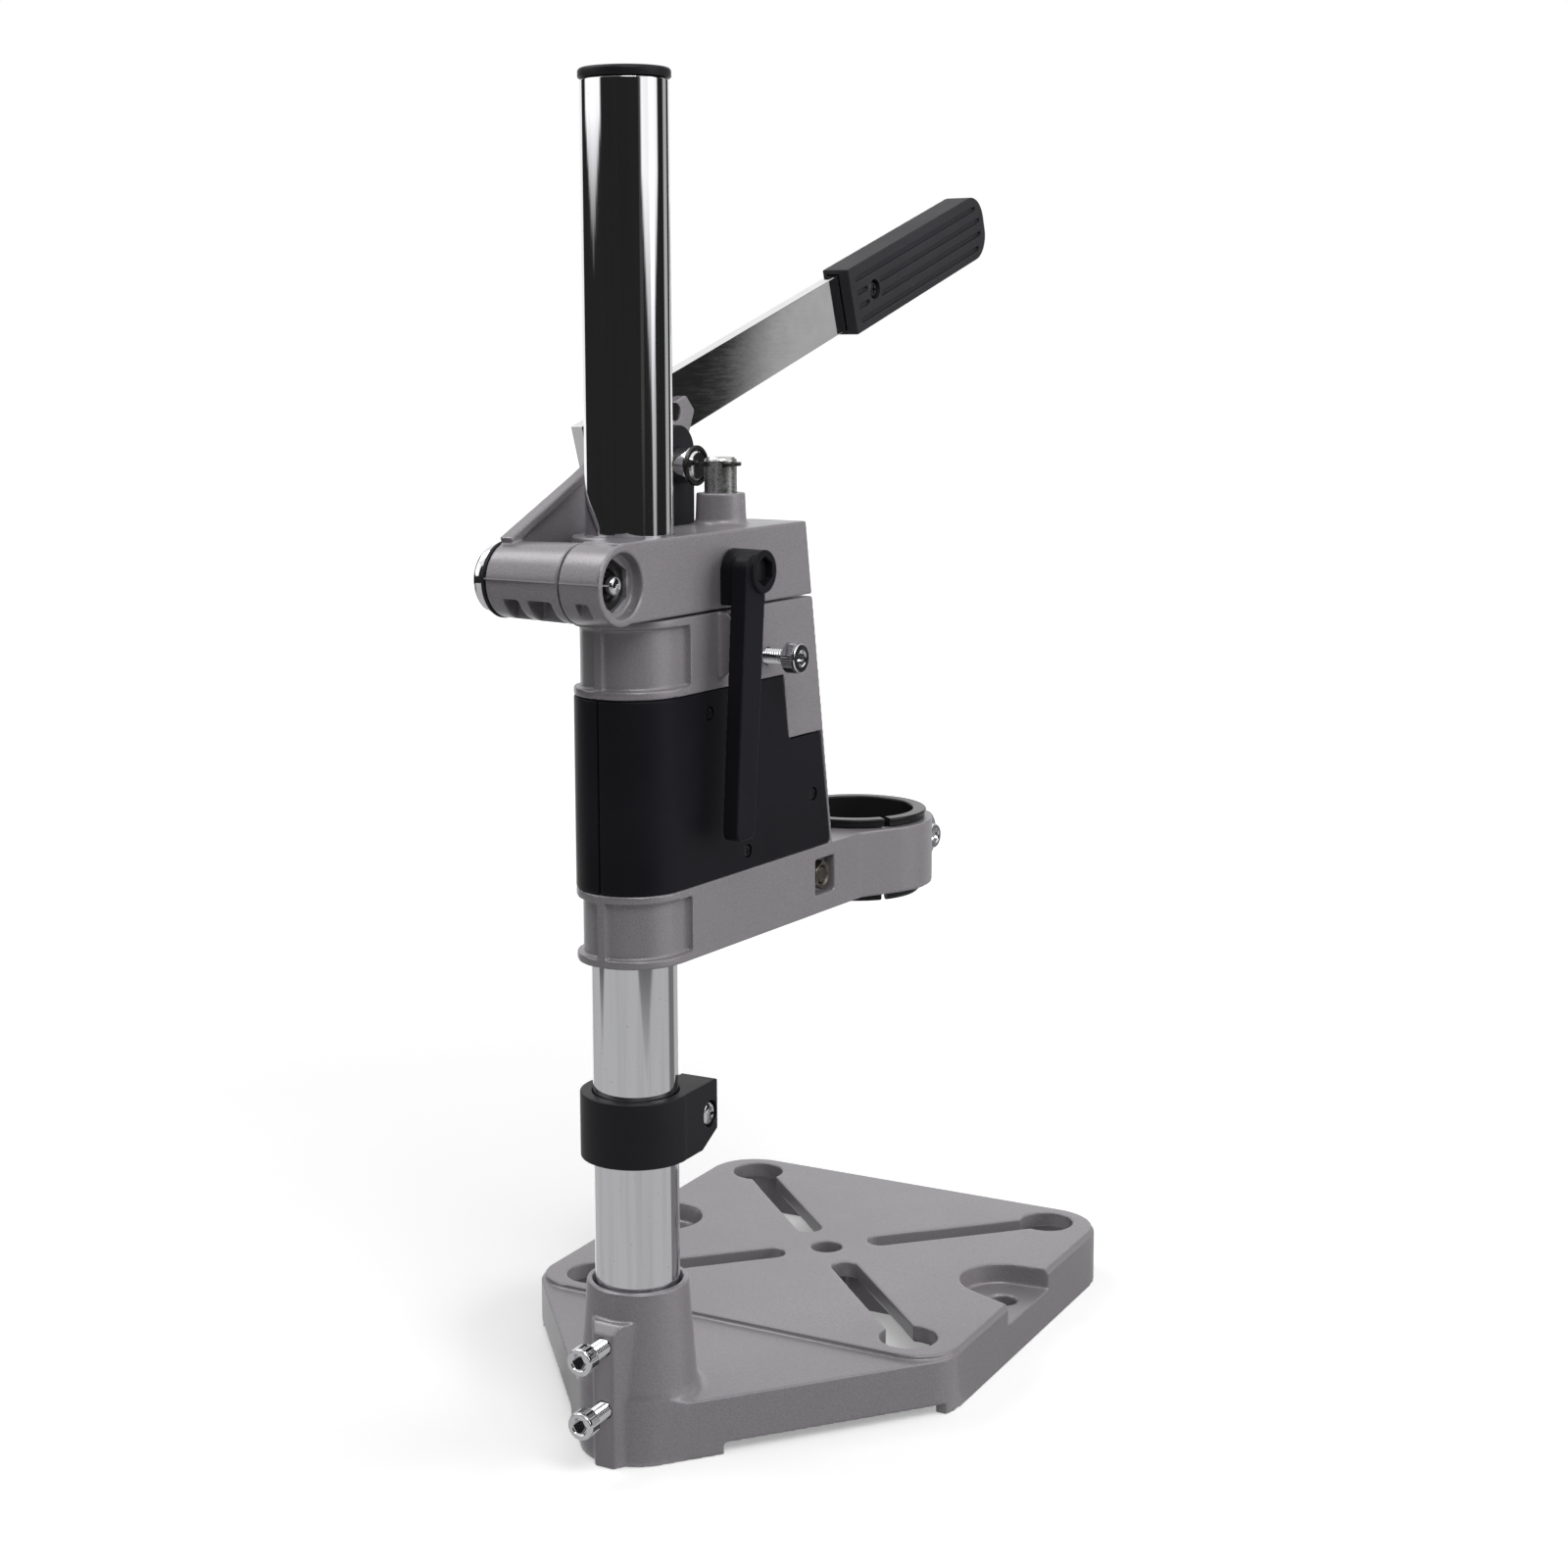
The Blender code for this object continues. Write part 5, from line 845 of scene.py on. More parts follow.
def plastic_look(name, low, high, least_rough, most_rough, grain, strength, specular):
    """Black moulded plastic with its fine grain, with a painted highlight that makes it a little brighter on
    edges.
    """
    look, tree, shader, place = new_look(name, "black_plastic", metallic=0.0, specular=specular)
    clouds = noise(tree, place, scale=30, detail=3)
    body = tint(tree, spread(tree, clouds, 0, 1), low, high)
    # A painted highlight: the sharp edges take a lighter copy of the colour
    edge_highlight = tuple(value * EDGE_HIGHLIGHT_SHARE for value in high)
    colour = tint(tree, painted_highlight_share(tree, *PLASTIC_HIGHLIGHT_POINTINESS), body, edge_highlight)
    roughness = spread(tree, clouds, least_rough, most_rough)
    wire(tree, shader, colour, roughness, noise(tree, place, grain), strength, distance=0.0002)
    return look


LOOKS = {
    "paint": paint_look(),
    **{name: chrome_look(*row) for name, row in CHROMES.items()},
    **{name: steel_look(*row) for name, row in STEELS.items()},
    **{name: plastic_look(*row) for name, row in PLASTICS.items()},
}


def thread(angle, height):
    """How far a thread's flank lies under its crest, at an angle and a height."""
    phase = (height / THREAD_PITCH - angle / (2 * math.pi)) % 1
    return -THREAD_DEPTH * abs(2 * phase - 1)


def knurl(angle, _):
    """The fine upright grooves round a screw's head."""
    return -KNURL_DEPTH * (1 + math.cos(angle * KNURL_COUNT))


def threaded_rod(bottom, top):
    """A threaded shank about z."""
    count = max(2, round((top - bottom) / THREAD_PITCH * THREAD_RINGS))
    heights = [bottom + (top - bottom) * k / count for k in range(count + 1)]
    return turned([(SCREW_RADIUS, height) for height in heights], SMALL_STEPS, thread)


def cap_screw(name, look, body, tip, seat, place, head_length=SCREW_HEAD_LENGTH, radius=SCREW_HEAD_RADIUS):
    """A socket head cap screw with its threaded shank and knurled head, laid where its place says."""
    top = seat + head_length
    edge = SCREW_EDGE
    crest = radius - KNURL_DEPTH
    head = turned([(radius - edge, seat), (radius, seat + edge / 2), (radius, top - edge * 2)],
                  2 * KNURL_COUNT, knurl)
    rim = turned([(crest, top - edge * SCREW_RIM_OVERLAP), (crest, top - edge)]
                 + rounded(crest, radius - edge, top - edge, top))
    screw = piece(name, [threaded_rod(tip, seat + edge)])
    depth = min(SCREW_KEY_DEPTH, head_length - SCREW_KEY_FLOOR)
    fuse(screw, [head, rim])
    cut(screw, [
        rod(SCREW_KEY_RADIUS, top - depth, top + OVERRUN, HEX_STEPS),
        turned([(SCREW_KEY_RADIUS, top - GAP), (SCREW_KEY_RADIUS + 2 * GAP, top + GAP)], SMALL_STEPS),
    ])
    dress(screw, look, body, place, sharp=CAP_SCREW_SHARP)


def hex_nut(name, look, body, radius, bore, bottom, top, place):
    """A hex nut with its corners turned off, laid where its place says."""
    nut = piece(name, [rod(radius, bottom, top, HEX_STEPS)])
    flat = radius * math.cos(math.pi / HEX_STEPS)
    rise = (radius - flat) * NUT_CROWN_SHARE
    crown = turned([(flat, bottom), (radius, bottom + rise), (radius, top - rise), (flat, top)])
    combine(nut, [crown], "INTERSECT")
    wide, edge = bore + 3 * GAP, 2 * GAP
    cut(nut, [turned([(wide, bottom - GAP), (bore, bottom + edge), (bore, top - edge), (wide, top + GAP)])])
    dress(nut, look, body, place, sharp=FLAT_SHARP)


def cross_slots(head_radius, half_width, low, high):
    """The two slots of a cross head screw about z."""
    reach = head_radius * CROSS_REACH_SHARE
    return [box((-x, -y, low), (x, y, high)) for x, y in ((reach, half_width), (half_width, reach))]


def lying_x(y, z, turn=1, frame_place=HEAD):
    """Where a piece made about z lies along x."""
    return frame_place @ Matrix.Translation((0, y, z)) @ Matrix.Rotation(turn * QUARTER_TURN, 4, "Y")


def base_outline(inset):
    """The base's outline, drawn in by an inset."""
    side = BASE_HALF_WIDTH - BASE_CORNER_RADIUS
    points = []
    for y in (-THROAT + KEYHOLE_PITCH, BASE_FRONT + BASE_CORNER_RADIUS):
        for sign in (1, -1):
            points += circle((sign * side, y), BASE_CORNER_RADIUS - inset)
    return hull(points + circle((0, 0), SOCKET_FOOT_RADIUS - inset))


def table_outline():
    """The raised work table's outline."""
    corner = BASE_CORNER_RADIUS - TABLE_INSET
    rear_corner = TABLE_REAR + THROAT - KEYHOLE_PITCH
    points = []
    side, rear_side = BASE_HALF_WIDTH - BASE_CORNER_RADIUS, BASE_HALF_WIDTH - TABLE_INSET - rear_corner
    for sign in (1, -1):
        points += circle((sign * side, BASE_FRONT + BASE_CORNER_RADIUS), corner)
        points += circle((sign * rear_side, TABLE_REAR - rear_corner), rear_corner)
    return hull(points)


def as_shape(thing):
    """Turns an object back into a shape."""
    shape = bmesh.new()
    shape.from_mesh(thing.data)
    bpy.data.objects.remove(thing)
    return shape


def socket_fillet():
    """The fillet between the deck and the socket, where the base's outline leaves room for it."""
    outer, top = SOCKET_DECK_RADIUS + SOCKET_FILLET, DECK_HEIGHT + SOCKET_FILLET
    curve = [(outer - x, top - z) for x, z in arc((0, 0), SOCKET_FILLET, 90, 0, EDGE_STEPS)]
    low = DECK_HEIGHT - BASE_SKIN / 2
    ring = solid("fillet", [turned([(0, low), (outer, low), *curve, (0, top)])])
    combine(ring, [prism(base_outline(0), 0, SOCKET_HEIGHT)], "INTERSECT")
    return as_shape(ring)


def rib_outline(reach):
    """The screw rib in plan, cut off at a distance from the column's axis."""
    face = SOCKET_RIB_WIDTH / 2 + (SOCKET_RIB_REACH - reach) * SOCKET_RIB_DRAFT
    root = SOCKET_RIB_WIDTH / 2 + (SOCKET_RIB_REACH - BORE_RADIUS) * SOCKET_RIB_DRAFT
    return [(root, BORE_RADIUS), (face, reach), (-face, reach), (-root, BORE_RADIUS)]


def base_bosses():
    """The socket with its fillet, its screw rib and the bosses under the table."""
    socket = turned([
        (SOCKET_DECK_RADIUS, 0),
        (SOCKET_DECK_RADIUS, DECK_HEIGHT),
        (SOCKET_TOP_RADIUS, SOCKET_HEIGHT),
    ])
    rib = stacked([
        (rib_outline(SOCKET_RIB_REACH), 0),
        (rib_outline(SOCKET_RIB_REACH), SOCKET_RIB_HEIGHT - SOCKET_RIB_CHAMFER),
        (rib_outline(SOCKET_RIB_REACH - SOCKET_RIB_CHAMFER), SOCKET_RIB_HEIGHT),
    ])
    under = DECK_HEIGHT - BASE_SKIN / 2
    shapes = [socket, socket_fillet(), rib, upright(CENTRE_BOSS_RADIUS, ARCH_HEIGHT, under, 0, -THROAT)]
    inside = BASE_HALF_WIDTH - SKIRT_WALL / 2
    floor = BENCH_POCKET_FLOOR - BASE_SKIN
    for sign in (1, -1):
        around = circle((sign * BENCH_POCKET_X, -THROAT), BENCH_POCKET_RADIUS + BENCH_BOSS_WALL)
        around += [(sign * inside, -THROAT - BENCH_MOUTH_FRONT - BENCH_BOSS_WALL),
                   (sign * inside, -THROAT + BENCH_MOUTH_REAR + BENCH_BOSS_WALL)]
        shapes.append(prism(hull([(max(-inside, min(inside, x)), y) for x, y in around]), floor, under))
        shapes.append(upright(BENCH_BOSS_RADIUS, 0, floor + BASE_SKIN / 2, sign * BENCH_POCKET_X, -THROAT))
    return shapes


def base_cells():
    """The hollow underside: what lies inside the skirt, less the ribs and the socket."""
    ceiling = DECK_HEIGHT - BASE_SKIN
    hollow = solid("cells", [prism(base_outline(SKIRT_WALL), -OVERRUN, ceiling)])
    half = RIB_WALL / 2
    far, wide = BASE_FRONT - OVERRUN, BASE_HALF_WIDTH + OVERRUN
    low, high = -2 * OVERRUN, DECK_HEIGHT
    cut(hollow, [
        box((-half, far, low), (half, wide, high)),
        box((-wide, -THROAT - half, low), (wide, -THROAT + half, high)),
        box((-wide, -SOCKET_DECK_RADIUS, low), (wide, wide, high)),
    ])
    return as_shape(hollow)


def table_cuts():
    """Keyholes and their slots, bench pockets, the centre hole and the arch in the skirt."""
    high = TABLE_HEIGHT + OVERRUN
    tools = [upright(CENTRE_HOLE_RADIUS, -OVERRUN, high, 0, -THROAT, ROUND_STEPS)]
    reach = SLOT_INNER_REACH / math.sqrt(2)
    for x in (KEYHOLE_X, -KEYHOLE_X):
        for ahead in (KEYHOLE_PITCH, -KEYHOLE_PITCH):
            tools.append(upright(KEYHOLE_RADIUS, -OVERRUN, high, x, -THROAT + ahead, ROUND_STEPS))
            inner = (math.copysign(reach, x), -THROAT + math.copysign(reach, ahead))
            tools.append(prism(slotted(inner, (x, -THROAT + ahead), SLOT_WIDTH), -OVERRUN, high))
    foot = SOCKET_FOOT_RADIUS
    for sign in (1, -1):
        edge = sign * (BASE_HALF_WIDTH + OVERRUN)
        mouth = [(edge, -THROAT - BENCH_MOUTH_FRONT), (edge, -THROAT + BENCH_MOUTH_REAR)]
        outline = hull(circle((sign * BENCH_POCKET_X, -THROAT), BENCH_POCKET_RADIUS) + mouth)
        tools.append(prism(outline, BENCH_POCKET_FLOOR, high))
        tools.append(upright(BENCH_HOLE_RADIUS, -OVERRUN, high, sign * BENCH_POCKET_X, -THROAT, ROUND_STEPS))
        sides = sorted((edge, sign * (BORE_RADIUS + COLUMN_WALL)))
        tools.append(box((sides[0], ARCH_FRONT, -OVERRUN), (sides[1], ARCH_REAR, ARCH_HEIGHT)))
    tools.append(box((-foot, ARCH_FRONT, -OVERRUN), (foot, -foot, ARCH_HEIGHT)))
    return tools


def make_base():
    """The cast base and the two screws that hold the column in its socket."""
    base = piece("base_casting", [prism(base_outline(0), 0, DECK_HEIGHT)])
    cut(base, [base_cells()])
    fuse(base, [prism(table_outline(), DECK_HEIGHT - BASE_SKIN / 2, TABLE_HEIGHT), *base_bosses()])
    cut(base, table_cuts())
    melt(base, *BASE_MELT)
    bore = [(BORE_RADIUS, SOCKET_FLOOR), (BORE_RADIUS, SOCKET_HEIGHT - SOCKET_LIP),
            (BORE_RADIUS + OVERRUN, SOCKET_HEIGHT + OVERRUN)]
    countersink = [(BENCH_HOLE_RADIUS - GAP, BENCH_POCKET_FLOOR - BENCH_COUNTERSINK - GAP),
                   (BENCH_HOLE_RADIUS + BENCH_COUNTERSINK + GAP, BENCH_POCKET_FLOOR + GAP)]
    cut(base, [
        *[moved(turned(countersink), sign * BENCH_POCKET_X, -THROAT) for sign in (1, -1)],
        turned(bore),
        *[along_y(rod(SCREW_HOLE_RADIUS, 0, SOCKET_RIB_REACH + OVERRUN), 0, z)
          for z in SOCKET_SCREW_HEIGHTS.values()],
    ])
    dress(base, "paint", "base", UNTURNED, sharp=SOFT_SHARP)
    seat = SOCKET_RIB_REACH + SOCKET_SCREW_EXPOSED
    for name, height in SOCKET_SCREW_HEIGHTS.items():
        place = Matrix.Translation((0, 0, height)) @ Matrix.Rotation(-QUARTER_TURN, 4, "X")
        cap_screw(f"socket_screw_{name}", "chrome", "base", BORE_RADIUS, seat, place)


def make_column():
    """The chromed tube and its plastic cap."""
    inner = COLUMN_RADIUS - COLUMN_WALL
    bottom = SOCKET_FLOOR + GAP
    tube = piece("column_tube", [turned([
        (inner, bottom), (COLUMN_RADIUS, bottom),
        *[(COLUMN_RADIUS, bottom + (COLUMN_TOP - COLUMN_RIM - bottom) * k / COLUMN_RINGS)
          for k in range(1, COLUMN_RINGS + 1)],
        (COLUMN_RADIUS - COLUMN_RIM, COLUMN_TOP), (inner, COLUMN_TOP), (inner, bottom),
    ], FINE_STEPS)])
    dress(tube, "column", "column", UNTURNED)
    under = COLUMN_TOP + GAP
    plug = inner - GAP
    cap = piece("column_cap", [turned([
        (0, COLUMN_TOP - CAP_PLUG_DEPTH), (plug, COLUMN_TOP - CAP_PLUG_DEPTH), (plug, under),
        (CAP_RADIUS - GAP, under), (CAP_RADIUS, under + GAP),
        *[(CAP_RADIUS - CAP_EDGE + x, under + CAP_THICKNESS - CAP_EDGE + z)
          for x, z in arc((0, 0), CAP_EDGE, 0, 90, EDGE_STEPS)],
        (CAP_RADIUS * CAP_FLAT_SHARE, under + CAP_THICKNESS + GAP / 3), (0, under + CAP_THICKNESS + GAP / 2),
    ])])
    dress(cap, "plastic", "column", UNTURNED)


def make_stop_collar():
    """The split plastic depth stop with its cross head screw and nut."""
    top = STOP_BOTTOM + STOP_HEIGHT
    ring = piece("stop_collar", [rod(STOP_RADIUS, STOP_BOTTOM, top, ROUND_STEPS)])
    fuse(ring, [side_plate([
        (0, STOP_BOTTOM),
        (-STOP_LUG_REACH + 2 * STOP_LUG_CHAMFER, STOP_BOTTOM),
        (-STOP_LUG_REACH, STOP_BOTTOM + STOP_LUG_CHAMFER),
        (-STOP_LUG_REACH, top),
        (0, top),
    ], -STOP_LUG_NEAR_X, STOP_LUG_FAR_X)])
    height = STOP_BOTTOM + STOP_SCREW_Z
    low, high = STOP_BOTTOM - OVERRUN, top + OVERRUN
    slit_x = -STOP_LUG_FAR_X / 2
    reach = STOP_RADIUS + OVERRUN
    seat = -STOP_RADIUS + STOP_SEAT_DEPTH
    nut_face = STOP_LUG_FAR_X - STOP_NUT_LENGTH
    cut(ring, [
        rod(BORE_RADIUS, low, high, ROUND_STEPS),
        box((slit_x, -STOP_LUG_REACH - OVERRUN, low), (slit_x + STOP_SLIT, 0, high)),
        cross_rod(STOP_SCREW_RADIUS + GAP, -reach, reach, STOP_SCREW_Y, height),
        cross_rod(STOP_SEAT_RADIUS, -reach, seat, STOP_SCREW_Y, height),
        cross_rod(STOP_NUT_RADIUS + GAP, nut_face, reach, STOP_SCREW_Y, height, HEX_STEPS),
    ])
    melt(ring, *STOP_MELT)
    dress(ring, "plastic", "depth_stop", UNTURNED, sharp=SOFT_SHARP)
    head = seat - GAP - STOP_HEAD_LENGTH
    middle = head + STOP_HEAD_LENGTH / 2
    dome = rounded(STOP_HEAD_RADIUS, 0, 0, STOP_HEAD_LENGTH / 2)[-2:0:-1]
    screw = piece("stop_collar_screw", [turned([
        (0, head), *[(radius, middle - z) for radius, z in dome],
        (STOP_HEAD_RADIUS, middle), (STOP_HEAD_RADIUS, seat - GAP),
        (STOP_SCREW_RADIUS, seat - GAP), (STOP_SCREW_RADIUS, STOP_LUG_FAR_X + GAP),
    ])])
    cut(screw, cross_slots(STOP_HEAD_RADIUS, STOP_CROSS_WIDTH / 2, head - OVERRUN, head + STOP_CROSS_DEPTH))
    lie = lying_x(STOP_SCREW_Y, height, 1, UNTURNED)
    dress(screw, "chrome", "depth_stop", lie)
    hex_nut("stop_collar_nut", "steel", "depth_stop", STOP_NUT_RADIUS, STOP_SCREW_RADIUS + GAP,
            nut_face + GAP, STOP_LUG_FAR_X, lie)


def nose_outline(far):
    """A casting's plan ahead of the column: flush at the near side, rounded at the far front corner."""
    front = BLOCK_FRONT_TOP
    corner = arc((far - NOSE_FAR_RADIUS, front + NOSE_FAR_RADIUS), NOSE_FAR_RADIUS, 270, 360, NOSE_STEPS)
    return [(-SIDE_PLANE, 0), (-SIDE_PLANE, front), *corner, (far, 0)]


def leaning(shape):
    """Leans a shape's front points out with depth, as the front face that the castings share does."""
    for vert in shape.verts:
        if vert.co.y < BLOCK_FRONT_TOP + NOSE_FAR_RADIUS + GAP:
            vert.co.y += front_wall(vert.co.z) - BLOCK_FRONT_TOP
    return shape


def parting_line(near, far):
    """The faint raised line where the mould's halves met, along a barrel about x."""
    rise = BARREL_RADIUS + PARTING_RISE
    line = box((near, -PARTING_WIDTH / 2, 0), (far, PARTING_WIDTH / 2, rise))
    line.transform(Matrix.Rotation(PARTING_ANGLE, 4, "X"))
    return line


def make_block():
    """The upper block: clamp round the column, rear barrel and rod boss."""
    ear = [(-SIDE_PLANE, CLAMP_EAR_END), (SIDE_PLANE, CLAMP_EAR_END)]
    clamp = prism(arc((0, 0), SIDE_PLANE, 0, 180, ROUND_STEPS // 2) + ear, BLOCK_BOTTOM, BLOCK_TOP)
    block = piece("upper_block", [clamp])
    fillet = [(ROD_BOSS_FOOT_RADIUS + ROD_BOSS_FILLET - x, BLOCK_TOP + ROD_BOSS_FILLET - z)
              for x, z in arc((0, 0), ROD_BOSS_FILLET, 90, 0, CORNER_STEPS)]
    boss = turned([(ROD_BOSS_FOOT_RADIUS + ROD_BOSS_FILLET, BLOCK_TOP - OVERRUN), *fillet,
                   (ROD_BOSS_RADIUS, ROD_BOSS_TOP)])
    fuse(block, [
        leaning(prism(nose_outline(NOSE_FAR_X), BLOCK_BOTTOM, BLOCK_TOP)),
        box((-SIDE_PLANE, 0, BLOCK_BOTTOM), (BLOCK_NECK_FAR_X, PIVOT_Y, BLOCK_TOP)),
        cross_rod(BARREL_RADIUS, -SIDE_PLANE, BLOCK_NECK_FAR_X, PIVOT_Y, PIVOT_Z, ROUND_STEPS),
        moved(boss, 0, ROD_Y),
    ])
    low, high = BLOCK_BOTTOM - OVERRUN, BLOCK_TOP + OVERRUN
    wide = SIDE_PLANE + OVERRUN
    ear_gap = CLAMP_EAR_END - CLAMP_SLIT
    slit_end = CLAMP_SLIT_X + CLAMP_SLIT
    nut_floor = SIDE_PLANE - CLAMP_NUT_LENGTH - GAP
    recess_floor = -SIDE_PLANE + BARREL_RECESS_DEPTH
    under = PIVOT_Z - BARREL_RADIUS - OVERRUN
    cut(block, [
        box((CLAMP_SLIT_X, ear_gap, low), (slit_end, -COLUMN_RADIUS / 2, high)),
        box((CLAMP_SLIT_X, ear_gap, low), (wide, CLAMP_EAR_END + GAP, high)),
        cross_rod(BARREL_RADIUS + BARREL_RELIEF, BLOCK_NECK_FAR_X, wide, PIVOT_Y, PIVOT_Z, ROUND_STEPS),
        cross_rod(BARREL_RECESS_RADIUS, -wide, recess_floor, PIVOT_Y, PIVOT_Z, ROUND_STEPS),
        box((BLOCK_POCKET[0], PIVOT_Y + BLOCK_POCKET_START, under),
            (BLOCK_POCKET[1], PIVOT_Y + BARREL_RADIUS, PIVOT_Z - BARREL_POCKET_DROP)),
    ])
    melt(block, *BARREL_MELT)
    line = parting_line(-SIDE_PLANE + GAP, BLOCK_NECK_FAR_X - GAP)
    fuse(block, [moved(line, 0, PIVOT_Y, PIVOT_Z)])
    cut(block, [
        rod(BORE_RADIUS, low, high, ROUND_STEPS),
        upright(ROD_RADIUS + GAP, low, ROD_TOP, 0, ROD_Y, ROUND_STEPS),
        cross_rod(CLAMP_BOLT_RADIUS + GAP, -wide, wide, CLAMP_Y, CLAMP_Z),
        cross_rod(CLAMP_NUT_RADIUS + GAP, nut_floor, wide, CLAMP_Y, CLAMP_Z, HEX_STEPS),
        cross_rod(PIVOT_BOLT_RADIUS + GAP, -wide, 0, PIVOT_Y, PIVOT_Z),
        cross_rod(BARREL_HEX_RADIUS, -wide, BARREL_HEX_X, PIVOT_Y, PIVOT_Z, HEX_STEPS),
    ])
    dress(block, "paint", "head", HEAD, sharp=CAST_SHARP)
    hex_nut("clamp_nut", "steel", "head", CLAMP_NUT_RADIUS, CLAMP_BOLT_RADIUS + GAP,
            nut_floor + GAP, SIDE_PLANE, lying_x(CLAMP_Y, CLAMP_Z))


def make_pivot():
    """The rear bolt with its domed knob, washer and nut."""
    place = lying_x(PIVOT_Y, PIVOT_Z)
    seat = BARREL_FAR_X + GAP + PIVOT_WASHER_THICKNESS + GAP
    tip = -SIDE_PLANE + PIVOT_BOLT_TIP
    nose = PIVOT_BOLT_NOSE
    rim = seat + KNOB_LENGTH * KNOB_RIM_SHARE
    end = [(PIVOT_TIP_RADIUS - nose * (1 - math.cos(a)), tip + nose * (1 - math.sin(a)))
           for a in (QUARTER_TURN * k / CORNER_STEPS for k in range(CORNER_STEPS, -1, -1))]
    step = BARREL_HEX_X - GAP
    bolt = piece("pivot_bolt", [turned([
        (0, tip - GAP / 2), *end,
        (PIVOT_TIP_RADIUS, step), (PIVOT_BOLT_RADIUS, step + GAP), (PIVOT_BOLT_RADIUS, seat),
        (KNOB_RADIUS - SCREW_EDGE, seat), (KNOB_RADIUS, seat + SCREW_EDGE), (KNOB_RADIUS, rim),
        *rounded(KNOB_RADIUS, 0, rim, seat + KNOB_LENGTH, KNOB_STEPS)[1:],
    ])])
    cut(bolt, [rod(PIVOT_DIMPLE_RADIUS, tip - OVERRUN, tip + nose / 2, SMALL_STEPS)])
    dress(bolt, "chrome", "head", place)
    washer = piece("pivot_washer", [ring_about_z(
        PIVOT_WASHER_RADIUS, PIVOT_BOLT_RADIUS + GAP, BARREL_FAR_X + GAP, seat - GAP, GAP)])
    dress(washer, "plastic", "head", place)
    hex_nut("pivot_nut", "dark", "head", PIVOT_NUT_RADIUS, PIVOT_BOLT_RADIUS + GAP,
            step - PIVOT_NUT_LENGTH, step, place)


def clip_outline(outer, inner, mouth):
    """A retaining ring with a mouth, seen along its axis."""
    gap = math.degrees(math.asin(mouth / 2 / inner))
    start, end = 90 + gap, 450 - gap
    return arc((0, 0), outer, start, end, CLIP_STEPS) + arc((0, 0), inner, end, start, CLIP_STEPS)


def make_clip(name, height, inner):
    """One retaining ring with its two eared ends."""
    ring = piece(name, [prism(clip_outline(CLIP_RADIUS, inner, CLIP_MOUTH), height,
                              height + CLIP_THICKNESS)])
    turn = QUARTER_TURN - math.asin(CLIP_MOUTH / 2 / inner) - 2 * CLIP_EAR_HOLE / CLIP_RADIUS
    ears, holes = [], []
    for sign in (1, -1):
        x, y = sign * CLIP_RADIUS * math.cos(turn), CLIP_RADIUS * math.sin(turn)
        ears.append(upright(CLIP_EAR_RADIUS, height, height + CLIP_THICKNESS, x, y, CLIP_EAR_STEPS))
        holes.append(upright(CLIP_EAR_HOLE, height - OVERRUN, height + OVERRUN, x, y, SCREW_STEPS))
    fuse(ring, ears)
    cut(ring, holes)
    dress(ring, "dark", "head", HEAD @ Matrix.Translation((0, ROD_Y, 0)))


def make_rod():
    """The guide rod, its retaining rings, the spring's seat and the spring."""
    groove = ROD_RADIUS - CLIP_GROOVE_DEPTH
    low_clip = ROD_BOTTOM + SEAT_CLIP_LIFT
    place = HEAD @ Matrix.Translation((0, ROD_Y, 0))
    profile = [(ROD_RADIUS - ROD_CHAMFER, ROD_BOTTOM), (ROD_RADIUS, ROD_BOTTOM + ROD_CHAMFER)]
    for height in (low_clip, CLIP_HEIGHT):
        top = height + CLIP_THICKNESS + GAP
        profile += [(ROD_RADIUS, height - GAP), (groove, height - GAP), (groove, top), (ROD_RADIUS, top)]
    profile += [(ROD_RADIUS, ROD_TOP - ROD_CHAMFER), (ROD_RADIUS - ROD_CHAMFER, ROD_TOP)]
    dress(piece("guide_rod", [turned(profile)]), "rod", "head", place)
    make_clip("rod_clip", CLIP_HEIGHT, groove + GAP)
    make_clip("seat_clip", low_clip, groove + GAP)
    seat_low = low_clip + CLIP_THICKNESS + GAP
    seat_top = seat_low + SEAT_THICKNESS
    seat = piece("spring_seat", [ring_about_z(SEAT_RADIUS - GAP, ROD_RADIUS + GAP, seat_low, seat_top, GAP)])
    dress(seat, "steel", "head", place)
    make_spring(seat_top, place)


def make_spring(bottom, place):
    """The return spring round the rod, one unbroken wire with closed end turns."""
    wire_radius = SPRING_WIRE_RADIUS
    start = bottom + GAP + wire_radius
    end = UPPER_RING_BOTTOM - GAP - wire_radius
    closed = 2 * (2 * wire_radius + 2 * GAP)
    count = SPRING_TURNS * SPRING_POINTS_PER_TURN
    made = bmesh.new()
    rings = []
    for k in range(count + 1):
        turns = k / SPRING_POINTS_PER_TURN
        first = min(turns, 1.0)
        last = max(0.0, turns - (SPRING_TURNS - 1))
        middle = turns - first - last
        rise = closed / 2 * (first + last) + (end - start - closed) * middle / (SPRING_TURNS - 2)
        angle = 2 * math.pi * turns
        ring = []
        for j in range(SPRING_WIRE_STEPS):
            lean = 2 * math.pi * j / SPRING_WIRE_STEPS
            radius = SPRING_MEAN_RADIUS + wire_radius * math.cos(lean)
            height = start + rise + wire_radius * math.sin(lean)
            ring.append(made.verts.new((radius * math.cos(angle), radius * math.sin(angle), height)))
        rings.append(ring)
    for one, other in zip(rings, rings[1:]):
        for j in range(SPRING_WIRE_STEPS):
            after = (j + 1) % SPRING_WIRE_STEPS
            made.faces.new((one[j], one[after], other[after], other[j]))
    made.faces.new(rings[0])
    made.faces.new(rings[-1])
    spring = dress(piece("return_spring", [made]), "steel", "head", place)
    bake(spring)
    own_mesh(spring)


